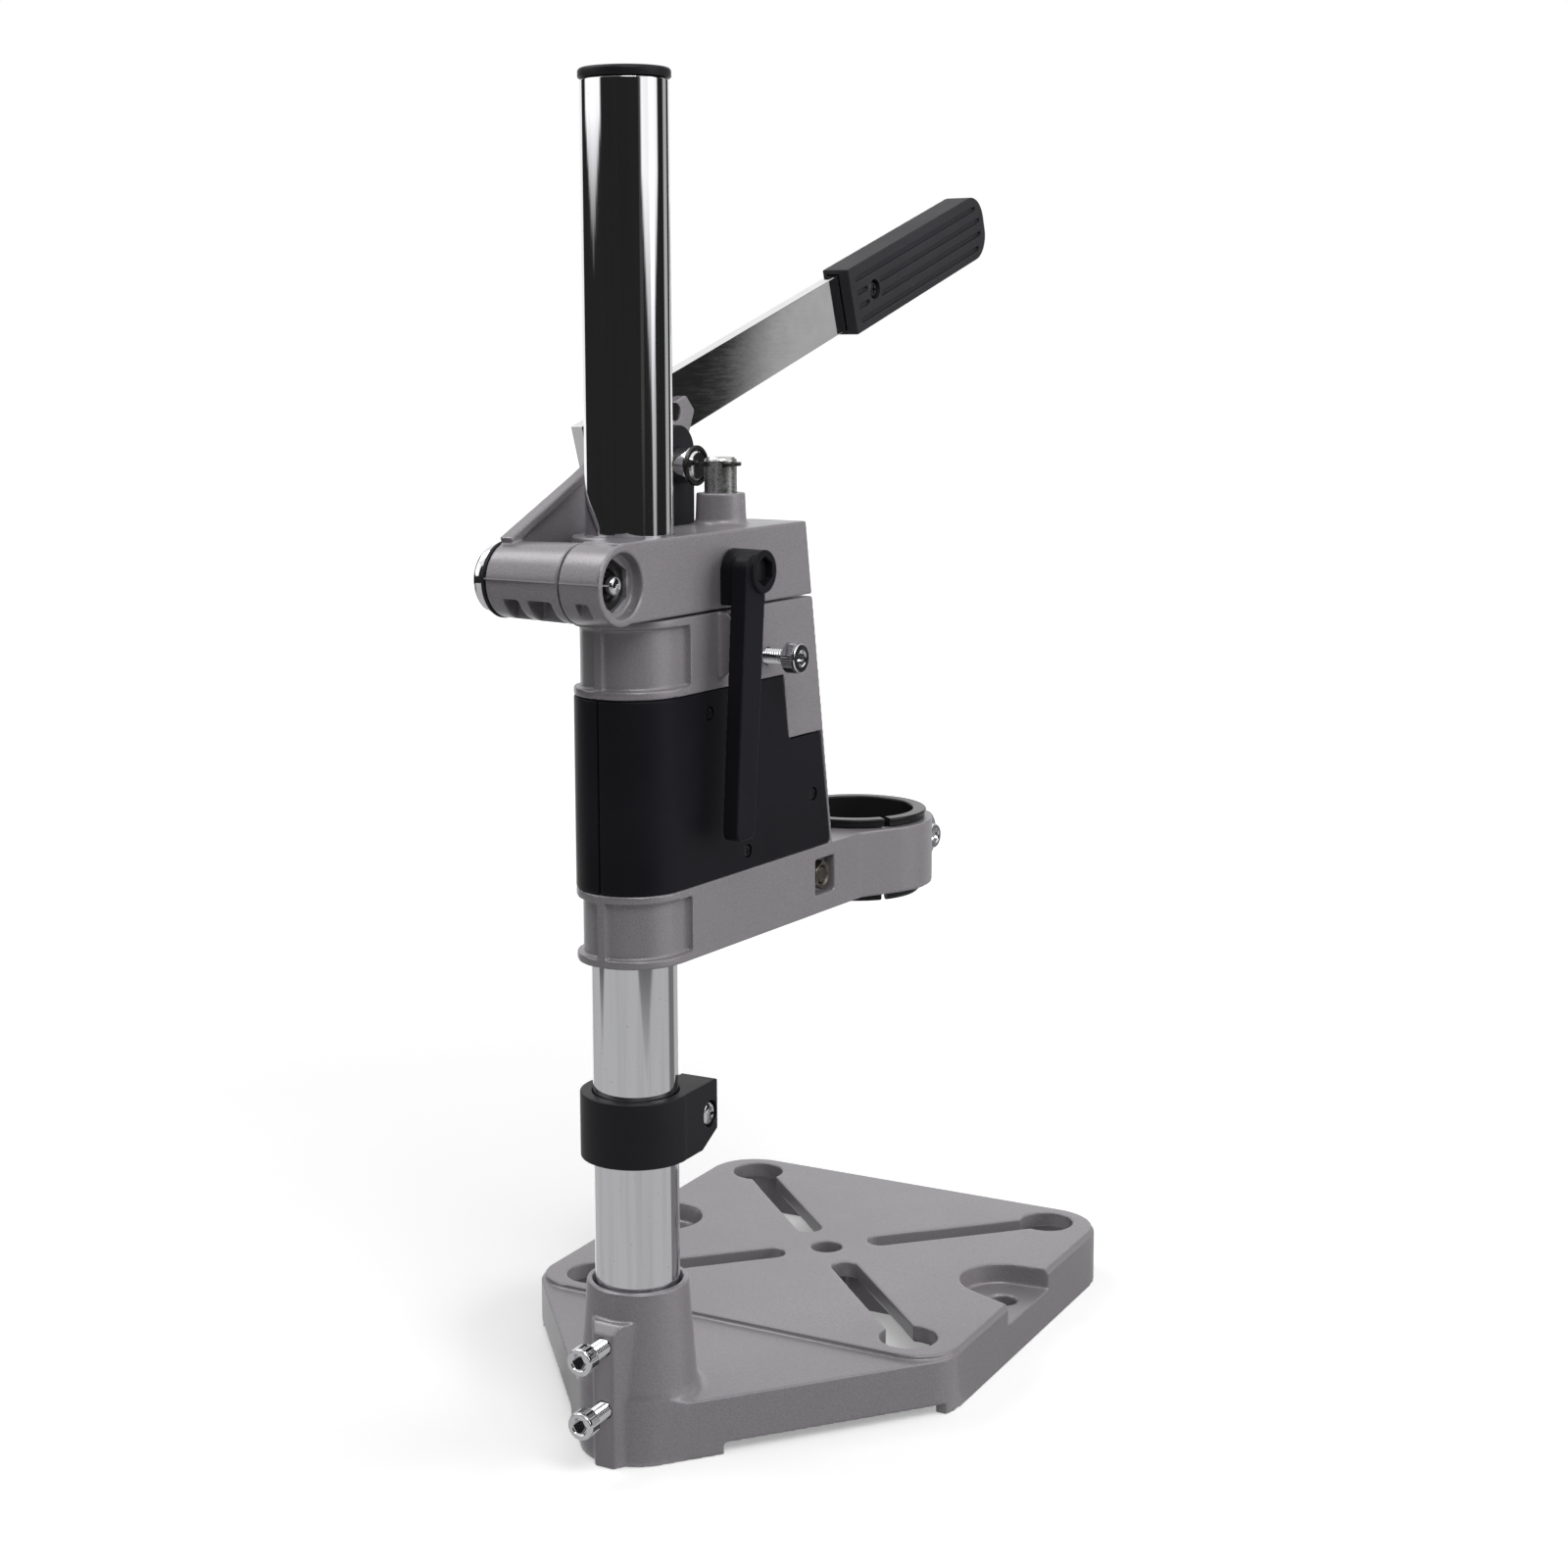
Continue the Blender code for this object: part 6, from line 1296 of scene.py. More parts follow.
def make_clamp_lever():
    """The black lever that tightens the block on the column, and its bolt."""
    end = -LEVER_BOSS_LENGTH
    lever = piece("clamp_lever", [cross_rod(LEVER_BOSS_RADIUS, end, -GAP, steps=ROUND_STEPS)])
    inner = -(LEVER_ARM_INNER - SIDE_PLANE)
    outer = inner - LEVER_ARM_THICKNESS
    half = LEVER_ARM_WIDTH_END / 2
    corner = half / 2
    y, z = LEVER_ARM_OFFSET_END, -LEVER_ARM_LENGTH + half
    arm = hull(circle((LEVER_ARM_OFFSET_TOP, 0), LEVER_ARM_WIDTH_TOP / 2) + [(y - half, z), (y + half, z)]
               + arc((y - corner, z - corner), corner, 180, 270, EDGE_STEPS)
               + arc((y + corner, z - corner), corner, 270, 360, EDGE_STEPS))
    root = side_plate([
        (-LEVER_BOSS_RADIUS, 0),
        (-LEVER_BOSS_RADIUS, -LEVER_ROOT_DROP),
        (LEVER_BOSS_RADIUS, -LEVER_ROOT_DROP),
        (LEVER_BOSS_RADIUS, 0),
    ], inner - OVERRUN, -GAP)
    fuse(lever, [side_plate(arm, outer, inner), root])
    hex_floor = end + LEVER_HEX_DEPTH
    cut(lever, [cross_rod(LEVER_HEX_RADIUS + GAP, end - OVERRUN, hex_floor, steps=HEX_STEPS)])
    melt(lever, *LEVER_MELT)
    cut(lever, [cross_rod(CLAMP_BOLT_RADIUS + GAP, end - OVERRUN, OVERRUN)])
    place = HEAD @ CLAMP_PIVOT
    dress(lever, "cover", "clamp", place, sharp=SOFT_SHARP)
    head_end = hex_floor - GAP
    head_start = head_end - LEVER_HEX_DEPTH / 2
    bolt = piece("clamp_bolt", [rod(CLAMP_BOLT_RADIUS, head_end - GAP, 2 * SIDE_PLANE)])
    fuse(bolt, [rod(LEVER_HEX_RADIUS, head_start, head_end, HEX_STEPS)])
    soften(bolt, GAP, CLAMP_BOLT_SEGMENTS)
    dress(bolt, "dark", "clamp", place @ Matrix.Rotation(QUARTER_TURN, 4, "Y"))


def ring_panels(bottom, top):
    """The sunk panel round the rear of a ring between its two beads, with the rib that crosses it."""
    outer = SIDE_PLANE + OVERRUN
    around = arc((0, 0), outer, 0, 180, SMALL_STEPS)
    around += [(-outer, PANEL_END_Y), (-RING_PANEL_RADIUS, PANEL_END_Y)]
    around += arc((0, 0), RING_PANEL_RADIUS, 180, 0, SMALL_STEPS)
    around += [(RING_PANEL_RADIUS, PANEL_END_Y), (outer, PANEL_END_Y)]
    return prism(around, bottom + BEAD_HEIGHT, top - BEAD_HEIGHT)


def arm_outline():
    """The lower arm in plan, from the ring round the column to the drill collar."""
    side = arc((0, 0), SIDE_PLANE, 0, 180, SMALL_STEPS)
    ahead = ARM_WAIST_Y - COLLAR_Y
    way = math.atan2(ahead, -SIDE_PLANE) + math.acos(COLLAR_RADIUS / math.hypot(ahead, SIDE_PLANE))
    start = math.degrees(way)
    near = [(-SIDE_PLANE, ARM_WAIST_Y)] + arc((0, COLLAR_Y), COLLAR_RADIUS, start, 540 - start, ROUND_STEPS)
    return side + near + [(SIDE_PLANE, ARM_WAIST_Y)]


def window_tool():
    """The open window between the arm and the upper ring, behind the covers."""
    low, high = ARM_TOP, UPPER_RING_BOTTOM
    rear = -COLUMN_RADIUS - COVER_THICKNESS - GAP
    return side_plate([
        (rear, low),
        (front_wall(low) + FRONT_WALL, low),
        (front_wall(high) + FRONT_WALL, high),
        (rear, high),
    ], -WINDOW_HALF, WINDOW_HALF)


def link_side_tool():
    """What is cut from the far side above the covers, to make room for the link."""
    front = BLOCK_FRONT_TOP
    out = SIDE_PLANE + OVERRUN
    corner = (NOSE_FAR_X - NOSE_FAR_RADIUS, front + NOSE_FAR_RADIUS)
    ahead = front - OVERRUN
    outline = [(NOSE_FAR_X, CLAMP_EAR_END)] + arc(corner, NOSE_FAR_RADIUS, 360, 270, NOSE_STEPS)
    outline += [(corner[0], ahead), (out, ahead), (out, CLAMP_EAR_END)]
    return leaning(prism(outline, UPPER_RING_BOTTOM + BEAD_HEIGHT, UPPER_RING_TOP + OVERRUN))


def cover_side(inset, near, far, corner=0.0):
    """The cover's side view as a plate between two x values, the corners at its step rounded."""
    low, high = ARM_TOP + GAP + inset, UPPER_RING_BOTTOM - GAP - inset
    front = COVER_FRONT_INSET + inset
    step_z = COVER_STEP_Z - inset
    step_front = front_wall(step_z) + front
    step_rear = COVER_STEP_Y - (high - step_z) * FRONT_LEAN_SHARE + inset
    outline = [(0, low), (front_wall(low) + front, low)]
    if corner:
        centre = (front_wall(low) + front + COVER_LOW_CORNER, low + COVER_LOW_CORNER)
        outline = [(0, low)] + arc(centre, COVER_LOW_CORNER, 270, 180, CORNER_STEPS)
        outline += arc((step_front + corner, step_z - corner), corner, 180, 90, CORNER_STEPS)
        outline += arc((step_rear - corner, step_z + corner), corner, 270, 360, CORNER_STEPS)
    else:
        outline += [(step_front, step_z), (step_rear, step_z)]
    outline += [(COVER_STEP_Y + inset, high), (0, high)]
    return side_plate(outline[::-1], near, far)


def carriage_tab():
    """The flat tab at the carriage's upper rear corner."""
    out = -SIDE_PLANE - TAB_REACH
    low, top = UPPER_RING_BOTTOM + BEAD_HEIGHT, UPPER_RING_TOP - GAP
    tab = prism([
        (-SIDE_PLANE + OVERRUN, low),
        (-SIDE_PLANE, low),
        (out, low + TAB_CHAMFER),
        (out, top - TAB_CHAMFER / 2),
        (out + TAB_CHAMFER / 2, top),
        (-SIDE_PLANE + OVERRUN, top),
    ], -TAB_REAR, -TAB_REAR + TAB_THICKNESS)
    tab.transform(Matrix.Rotation(QUARTER_TURN, 4, "X"))
    return tab


def collar_lugs():
    """The clamp lugs at the collar's front, one body until the slit parts them."""
    centre = (COLLAR_Y - COLLAR_LUG_PLACE, ARM_BOTTOM + COLLAR_LUG_LIFT)
    root = COLLAR_Y - COLLAR_RADIUS + COLLAR_LUG_RADIUS / 2
    around = circle(centre, COLLAR_LUG_RADIUS)
    top, bottom = centre[1] + COLLAR_LUG_RADIUS, centre[1] - COLLAR_LUG_RADIUS
    return side_plate(hull(around + [(root, bottom), (root, top)]), -COLLAR_LUG_HALF, COLLAR_LUG_HALF)


def cover_pads():
    """Pads inside the window that the cover screws bite into."""
    inner = SIDE_PLANE - COVER_THICKNESS - GAP
    half = COVER_PAD_RADIUS
    (rear_y, rear_z), (middle_y, middle_z), (front_y, front_z) = COVER_SCREW_PLACES.values()
    ends = [
        (middle_y - half, ARM_TOP - OVERRUN, middle_y + half, middle_z + half),
        (rear_y - half, rear_z - half, -COLUMN_RADIUS - OVERRUN, UPPER_RING_BOTTOM + OVERRUN),
        (front_wall(front_z) + FRONT_WALL / 2, front_z - half, front_y + half, front_z + half),
    ]
    return [box((-inner, ahead, low), (inner, behind, high)) for ahead, low, behind, high in ends]


def make_carriage():
    """The sprung carriage: two rings on the column, a leaning front wall, the arm and the collar."""
    low = ARM_TOP - OVERRUN
    body = piece("carriage_casting", [leaning(prism(nose_outline(SIDE_PLANE), low, UPPER_RING_TOP))])
    edges = (SIDE_PLANE - COVER_THICKNESS - GAP, SIDE_PLANE + OVERRUN)
    recesses = [cover_side(-GAP, *sorted(sign * edge for edge in edges)) for sign in (1, -1)]
    cut(body, [window_tool(), link_side_tool(), *recesses])
    upper = arc((0, 0), SIDE_PLANE, 0, 180, SMALL_STEPS) + [(-SIDE_PLANE, -OVERRUN), (SIDE_PLANE, -OVERRUN)]
    fuse(body, [
        prism(arm_outline(), ARM_BOTTOM, ARM_TOP),
        prism(upper, UPPER_RING_BOTTOM, UPPER_RING_TOP),
        rod(CORE_RADIUS, low, UPPER_RING_BOTTOM + OVERRUN, ROUND_STEPS),
        carriage_tab(),
        cross_rod(LINK_BOSS_RADIUS, 0, LINK_NEAR_X - GAP, LINK_TOP_Y, LINK_BOTTOM_Z, ROUND_STEPS),
        collar_lugs(),
        *cover_pads(),
    ])
    wide = SIDE_PLANE + OVERRUN
    half = ARM_POCKET_HALF
    cut(body, [
        ring_panels(UPPER_RING_BOTTOM, UPPER_RING_TOP),
        ring_panels(ARM_BOTTOM, ARM_TOP),
        moved(box((-wide, -half, -half), (-SIDE_PLANE + ARM_POCKET_DEPTH, half, half)),
              0, ARM_NUT_Y, ARM_NUT_Z),
    ])
    rib = PANEL_RIB_WIDTH / 2
    fuse(body, [box((-rib, BORE_RADIUS + GAP, bottom + GAP), (rib, SIDE_PLANE - GAP, top - GAP))
                for bottom, top in ((UPPER_RING_BOTTOM, UPPER_RING_TOP), (ARM_BOTTOM, ARM_TOP))])
    melt(body, *CARRIAGE_MELT)
    cut(body, carriage_bores())
    dress(body, "paint", "carriage", HEAD, sharp=CAST_SHARP)


def carriage_bores():
    """What is machined in the carriage: bores, slit, and the holes for its screws."""
    low, high = ARM_BOTTOM - OVERRUN, UPPER_RING_TOP + OVERRUN
    wide = SIDE_PLANE + OVERRUN
    front = COLLAR_Y - COLLAR_LUG_PLACE - COLLAR_LUG_RADIUS
    half_slit = COLLAR_SLIT / 2
    screw_y, screw_z = COLLAR_Y - COLLAR_SCREW_PLACE, ARM_BOTTOM + COLLAR_LUG_LIFT
    tools = [
        rod(BORE_RADIUS, low, high, ROUND_STEPS),
        upright(ROD_RADIUS + GAP, CARRIAGE_MIDDLE, high, 0, ROD_Y, ROUND_STEPS),
        upright(SPRING_BORE_RADIUS, low, UPPER_RING_BOTTOM, 0, ROD_Y, ROUND_STEPS),
        cross_rod(SCREW_HOLE_RADIUS, -wide, 0, ROD_Y, LOCK_Z),
        cross_rod(LINK_PIN_RADIUS + GAP, ROD_RADIUS + 2 * GAP, LINK_NEAR_X + OVERRUN,
                  LINK_TOP_Y, LINK_BOTTOM_Z),
        upright(COLLAR_BORE_RADIUS, low, ARM_TOP + OVERRUN, 0, COLLAR_Y, ROUND_STEPS),
        box((-half_slit, front - OVERRUN, low), (half_slit, COLLAR_Y, ARM_TOP + OVERRUN)),
        cross_rod(COLLAR_SCREW_RADIUS + GAP, -wide, wide, screw_y, screw_z),
        cross_rod(ARM_BOLT_RADIUS + GAP, -wide, wide, ARM_NUT_Y, ARM_NUT_Z),
    ]
    inner = SIDE_PLANE - COVER_THICKNESS - COVER_SCREW_LENGTH
    return tools + [side_rod(sign, COVER_SCREW_RADIUS + GAP, inner, place, SCREW_STEPS)
                    for place in COVER_SCREW_PLACES.values() for sign in (1, -1)]


def side_rod(sign, radius, inner, place, steps):
    """A cylinder about x from a distance off the middle plane out past the side face."""
    near, far = sorted((sign * inner, sign * (SIDE_PLANE + OVERRUN)))
    return cross_rod(radius, near, far, *place, steps)


def make_covers():
    """Two plastic shells that meet behind the column and hide the spring, with their screws."""
    low, high = ARM_TOP + GAP, UPPER_RING_BOTTOM - GAP
    inner_x = SIDE_PLANE - COVER_THICKNESS
    seam = 90 - math.degrees(COVER_SEAM / SIDE_PLANE)
    for name, sign in (("cover_left", -1), ("cover_right", 1)):
        near, far = sorted((sign * inner_x, sign * SIDE_PLANE))
        shell = piece(name, [cover_side(0, near, far, COVER_CORNER)])
        quarter = arc((0, 0), SIDE_PLANE, 0, seam, SMALL_STEPS) + arc((0, 0), inner_x, seam, 0, SMALL_STEPS)
        quarter += [(inner_x, -OVERRUN), (SIDE_PLANE, -OVERRUN)]
        fuse(shell, [prism([(sign * x, y) for x, y in quarter], low, high)])
        melt(shell, *COVER_MELT)
        cut(shell, [side_rod(sign, radius + GAP, inner, place, steps)
                    for place in COVER_SCREW_PLACES.values() for radius, inner, steps in (
                        (COVER_SCREW_RADIUS, inner_x - OVERRUN, SCREW_STEPS),
                        (COVER_SCREW_HEAD_RADIUS, SIDE_PLANE - COVER_THICKNESS / 2, 2 * SCREW_STEPS))])
        dress(shell, "cover", "carriage", HEAD, sharp=CAST_SHARP)
        for place, (y, z) in COVER_SCREW_PLACES.items():
            small_screw(f"{name}_screw_{place}", lying_x(y, z, sign))


def small_screw(name, place):
    """One of the covers' small cross head screws, its head along z."""
    seat = SIDE_PLANE - COVER_THICKNESS / 2 + GAP / 2
    tip = SIDE_PLANE - COVER_THICKNESS - COVER_SCREW_LENGTH + 2 * GAP
    top = seat + COVER_SCREW_HEAD_LENGTH - GAP
    radius = COVER_SCREW_HEAD_RADIUS
    screw = piece(name, [turned([
        (COVER_SCREW_RADIUS / 2, tip), (COVER_SCREW_RADIUS, tip + GAP), (COVER_SCREW_RADIUS, seat),
        (radius, seat), *rounded(radius, radius / 2, seat + GAP, top, RIM_STEPS), (0, top),
    ], COVER_SCREW_STEPS)])
    cut(screw, cross_slots(radius, GAP, seat + GAP, top + OVERRUN))
    dress(screw, "dark", "carriage", place, sharp=TURNED_SHARP)


def make_carriage_screws():
    """The lock screw on the rod, the screw that the link runs on, and the bolt across the arm."""
    seat = LOCK_REACH - LOCK_HEAD_LENGTH
    cap_screw("lock_screw", "chrome", "carriage", ROD_RADIUS + 2 * GAP, seat,
              lying_x(ROD_Y, LOCK_Z, -1), LOCK_HEAD_LENGTH, LOCK_HEAD_RADIUS)
    seat = LINK_FAR_X + GAP
    top = seat + LINK_SCREW_HEAD_LENGTH
    radius, edge = LINK_SCREW_HEAD_RADIUS, 3 * GAP
    screw = piece("link_lower_screw", [turned([
        (LINK_PIN_RADIUS, ROD_RADIUS + 3 * GAP), (LINK_PIN_RADIUS, seat), (radius - GAP, seat),
        (radius, seat + GAP), (radius, top - edge),
        *rounded(radius, radius - edge, top - edge, top, RIM_STEPS)[1:],
    ])])
    cut(screw, [rod(SCREW_KEY_RADIUS, top - LINK_SCREW_HEAD_LENGTH / 2, top + OVERRUN, HEX_STEPS)])
    dress(screw, "chrome", "carriage", lying_x(LINK_TOP_Y, LINK_BOTTOM_Z), sharp=TURNED_SHARP)
    floor = -SIDE_PLANE + ARM_POCKET_DEPTH - GAP
    hex_nut("arm_nut", "nut", "carriage", ARM_NUT_RADIUS, ARM_BOLT_RADIUS + GAP,
            floor - ARM_NUT_LENGTH, floor, lying_x(ARM_NUT_Y, ARM_NUT_Z))
    cap_screw("arm_bolt", "bolt", "carriage", floor - ARM_NUT_LENGTH + GAP, SIDE_PLANE + GAP,
              lying_x(ARM_NUT_Y, ARM_NUT_Z), ARM_BOLT_HEAD_LENGTH)


def make_collar_parts():
    """The glossy plastic reducer in the collar, and the collar's screw with its nut."""
    bottom = ARM_BOTTOM - REDUCER_DROP
    sleeve = COLLAR_BORE_RADIUS - GAP
    seat = ARM_TOP + GAP
    top = seat + REDUCER_FLANGE_THICKNESS
    rim = top - REDUCER_RIM_THICKNESS
    edge = REDUCER_LIP
    bore, flange, neck = REDUCER_BORE_RADIUS, REDUCER_FLANGE_RADIUS, REDUCER_NECK_RADIUS
    inside = [(bore + edge - edge * math.sin(a), top - edge + edge * math.cos(a))
              for a in (QUARTER_TURN * k / RIM_STEPS for k in range(1, RIM_STEPS + 1))]
    ring = piece("collar_reducer", [turned([
        (bore, bottom + edge), (bore + edge, bottom), (sleeve - edge, bottom), (sleeve, bottom + edge),
        (sleeve, seat), (neck, seat), (neck, rim - GAP), (flange - GAP, rim), (flange, rim + GAP),
        (flange, top - edge), *rounded(flange, flange - edge, top - edge, top, RIM_STEPS)[1:],
        (bore + edge, top), *inside,
        (bore, bottom + edge),
    ], FINE_STEPS)])
    half_slit = COLLAR_SLIT / 2
    slit = box((0, -half_slit, bottom - OVERRUN), (COLLAR_RADIUS, half_slit, top + OVERRUN))
    slit.transform(Matrix.Rotation(REDUCER_SLIT_ANGLE, 4, "Z"))
    cut(ring, [slit])
    dress(ring, "gloss", "carriage", HEAD @ Matrix.Translation((0, COLLAR_Y, 0)), sharp=RIM_SHARP)
    screw_y, screw_z = COLLAR_Y - COLLAR_SCREW_PLACE, ARM_BOTTOM + COLLAR_LUG_LIFT
    half = COLLAR_LUG_HALF
    cap_screw("collar_screw", "chrome", "carriage", -half - STOP_NUT_LENGTH - 2 * GAP, half + GAP,
              lying_x(screw_y, screw_z, -1), STOP_NUT_LENGTH)
    hex_nut("collar_nut", "steel", "carriage", ARM_NUT_RADIUS, COLLAR_SCREW_RADIUS + GAP,
            half + GAP, half + GAP + STOP_NUT_LENGTH, lying_x(screw_y, screw_z))


def along_bar(station, lift):
    """A place in the hand lever's plane: how far out along the bar, and how far above the pivot's line."""
    forward = station * math.cos(BAR_ANGLE) - lift * math.sin(BAR_ANGLE)
    up = station * math.sin(BAR_ANGLE) + lift * math.cos(BAR_ANGLE)
    return -forward, up


def bar_plate(points, near, far):
    """A plate in the lever's plane from stations and lifts."""
    return side_plate([along_bar(station, lift) for station, lift in points], near, far)


def strip(start, end, width, near, far):
    """A straight flange between two points of the lever's plane."""
    way = math.atan2(end[1] - start[1], end[0] - start[0])
    dy, dz = -math.sin(way) * width / 2, math.cos(way) * width / 2
    corners = [(start[0] + dy, start[1] + dz), (start[0] - dy, start[1] - dz)]
    corners += [(end[0] - dy, end[1] - dz), (end[0] + dy, end[1] + dz)]
    return side_plate(corners, near, far)


def rocker_shapes(pin_y, pin_z, low_lift):
    """The rocker's web, flanges, bar pad and link eye."""
    web_near = BARREL_FAR_X - WEB_THICKNESS
    half = FLANGE / 2
    start = along_bar(BAR_START, BAR_LIFT)
    rear_top = (BARREL_RADIUS * math.sin(BAR_ANGLE), BARREL_RADIUS * math.cos(BAR_ANGLE))
    low_front = (pin_y, pin_z - LINK_END_RADIUS)
    foot = (-BARREL_RADIUS / 2, -BARREL_RADIUS * math.cos(BAR_ANGLE) + FLANGE / 2)
    tip = along_bar(TIP_REACH, BAR_LIFT)
    web = side_plate([rear_top, foot, low_front, tip, start], web_near, BARREL_FAR_X)
    top_end = along_bar(BAR_START + FLANGE, BAR_LIFT - half)
    web_top = strip(rear_top, top_end, FLANGE, ARM_NEAR_X, BARREL_FAR_X)
    web_foot = strip(foot, low_front, FLANGE, ARM_NEAR_X, BARREL_FAR_X)
    pad = bar_plate([
        (BAR_START, low_lift + FLANGE), (TIP_REACH - 2 * FLANGE, low_lift), (TIP_REACH, BAR_LIFT - FLANGE),
        (TIP_REACH - FLANGE, BAR_LIFT + FLANGE), (BAR_START, BAR_LIFT + FLANGE),
    ], ARM_NEAR_X, BARREL_FAR_X)
    eye = cross_rod(LINK_END_RADIUS + half, ARM_NEAR_X, BARREL_FAR_X, pin_y, pin_z, ROUND_STEPS)
    return [web, web_top, web_foot, pad, eye]


def make_rocker(place, pin_y, pin_z, low_lift):
    """The cast rocker arm with its barrel on the rear pivot."""
    barrel = turned([(BARREL_RADIUS, BARREL_NEAR_X), (BARREL_FAR_RADIUS, BARREL_FAR_X)])
    rocker = piece("rocker_arm", [along_x(barrel, 0, 0)])
    fuse(rocker, rocker_shapes(pin_y, pin_z, low_lift))
    pockets = []
    for start, end in BARREL_POCKETS:
        low_corner = (start, BARREL_POCKET_START, -BARREL_RADIUS - OVERRUN)
        pockets.append(box(low_corner, (end, BARREL_RADIUS, -BARREL_POCKET_DROP)))
    cut(rocker, pockets)
    melt(rocker, *BARREL_MELT)
    fuse(rocker, [parting_line(BARREL_NEAR_X + GAP, BARREL_FAR_X - GAP)])
    near, far = BARREL_NEAR_X - OVERRUN, BARREL_FAR_X + OVERRUN
    start = ARM_NEAR_X - OVERRUN
    cut(rocker, [
        cross_rod(PIVOT_BOLT_RADIUS + GAP, near, far),
        cross_rod(LINK_PIN_RADIUS + GAP, start, far, pin_y, pin_z),
        *[cross_rod(BAR_BOLT_RADIUS + GAP, start, far, *along_bar(station, BAR_LIFT))
          for station in BAR_BOLT_STATIONS.values()],
    ])
    dress(rocker, "paint", "hand_lever", place, sharp=CAST_SHARP)


def make_bar(place, low_lift, high_lift):
    """The flat chromed bar and the two bolts that hold it to the rocker."""
    outline = [(BAR_START, low_lift), (BAR_END, low_lift), (BAR_END, high_lift), (BAR_START, high_lift)]
    bar = piece("lever_bar", [bar_plate(outline, BAR_NEAR_X, BAR_FAR_X)])
    soften(bar, BAR_EDGE)
    near, far = BAR_NEAR_X - OVERRUN, BAR_FAR_X + OVERRUN
    cut(bar, [cross_rod(BAR_BOLT_RADIUS + GAP, near, far, *along_bar(station, BAR_LIFT))
              for station in (*BAR_BOLT_STATIONS.values(), GRIP_SCREW_STATION)])
    dress(bar, "bar", "hand_lever", place, sharp=FLAT_SHARP)
    seat = BAR_FAR_X + GAP
    top = seat + BAR_BOLT_HEAD_LENGTH
    radius = BAR_BOLT_HEAD_RADIUS
    for name, station in BAR_BOLT_STATIONS.items():
        bolt = piece(f"bar_bolt_{name}", [turned([
            (BAR_BOLT_RADIUS, ARM_NEAR_X + GAP), (BAR_BOLT_RADIUS, seat),
            (radius - GAP, seat), (radius, seat + GAP),
            *rounded(radius, 0, seat + 2 * GAP, top, DOME_STEPS),
        ])])
        cut(bolt, [rod(BAR_BOLT_KEY_RADIUS, top - BAR_BOLT_KEY_DEPTH, top + OVERRUN, HEX_STEPS)])
        y, z = along_bar(station, BAR_LIFT)
        dress(bolt, "chrome", "hand_lever", lying_x(y, z, 1, place), sharp=TURNED_SHARP)


def grip_outline():
    """The grip's side view: square at the bar, round at the hand's end."""
    low, high = BAR_LIFT - GRIP_WIDTH / 2, BAR_LIFT + GRIP_WIDTH / 2
    centre = GRIP_END - GRIP_CORNER
    under = arc((centre, low + GRIP_CORNER), GRIP_CORNER, 270, 360, NOSE_STEPS)
    over = arc((centre, high - GRIP_CORNER), GRIP_CORNER, 0, 90, NOSE_STEPS)
    return [(GRIP_START, low), *under, *over, (GRIP_START, high)]


def grip_grooves(face):
    """The lengthwise grooves on the grip's near face, the middle ones broken by the screw."""
    tools = []
    bar_end = GRIP_START + GRIP_SHORT_GROOVE
    hole_start = GRIP_SCREW_STATION - GRIP_COUNTERBORE_RADIUS - GRIP_GROOVE_WIDTH
    hole_end = GRIP_SCREW_STATION + GRIP_COUNTERBORE_RADIUS + GRIP_GROOVE_WIDTH
    for k in range(GRIP_GROOVE_COUNT):
        step = k - (GRIP_GROOVE_COUNT - 1) / 2
        lift = BAR_LIFT + step * GRIP_GROOVE_PITCH - GRIP_GROOVE_DROP
        inward = abs(lift - BAR_LIFT) / (GRIP_WIDTH / 2)
        end = GRIP_END - GRIP_GROOVE_END * (GRIP_GROOVE_END_SHARE + inward * inward)
        runs = [(bar_end, end)] if abs(step) > 1 else [(bar_end, hole_start), (hole_end, end)]
        for first, last in runs:
            line = slotted((first, lift), (last, lift), GRIP_GROOVE_WIDTH)
            tools.append(bar_plate(line, face - OVERRUN, face + GRIP_GROOVE_DEPTH))
    return tools


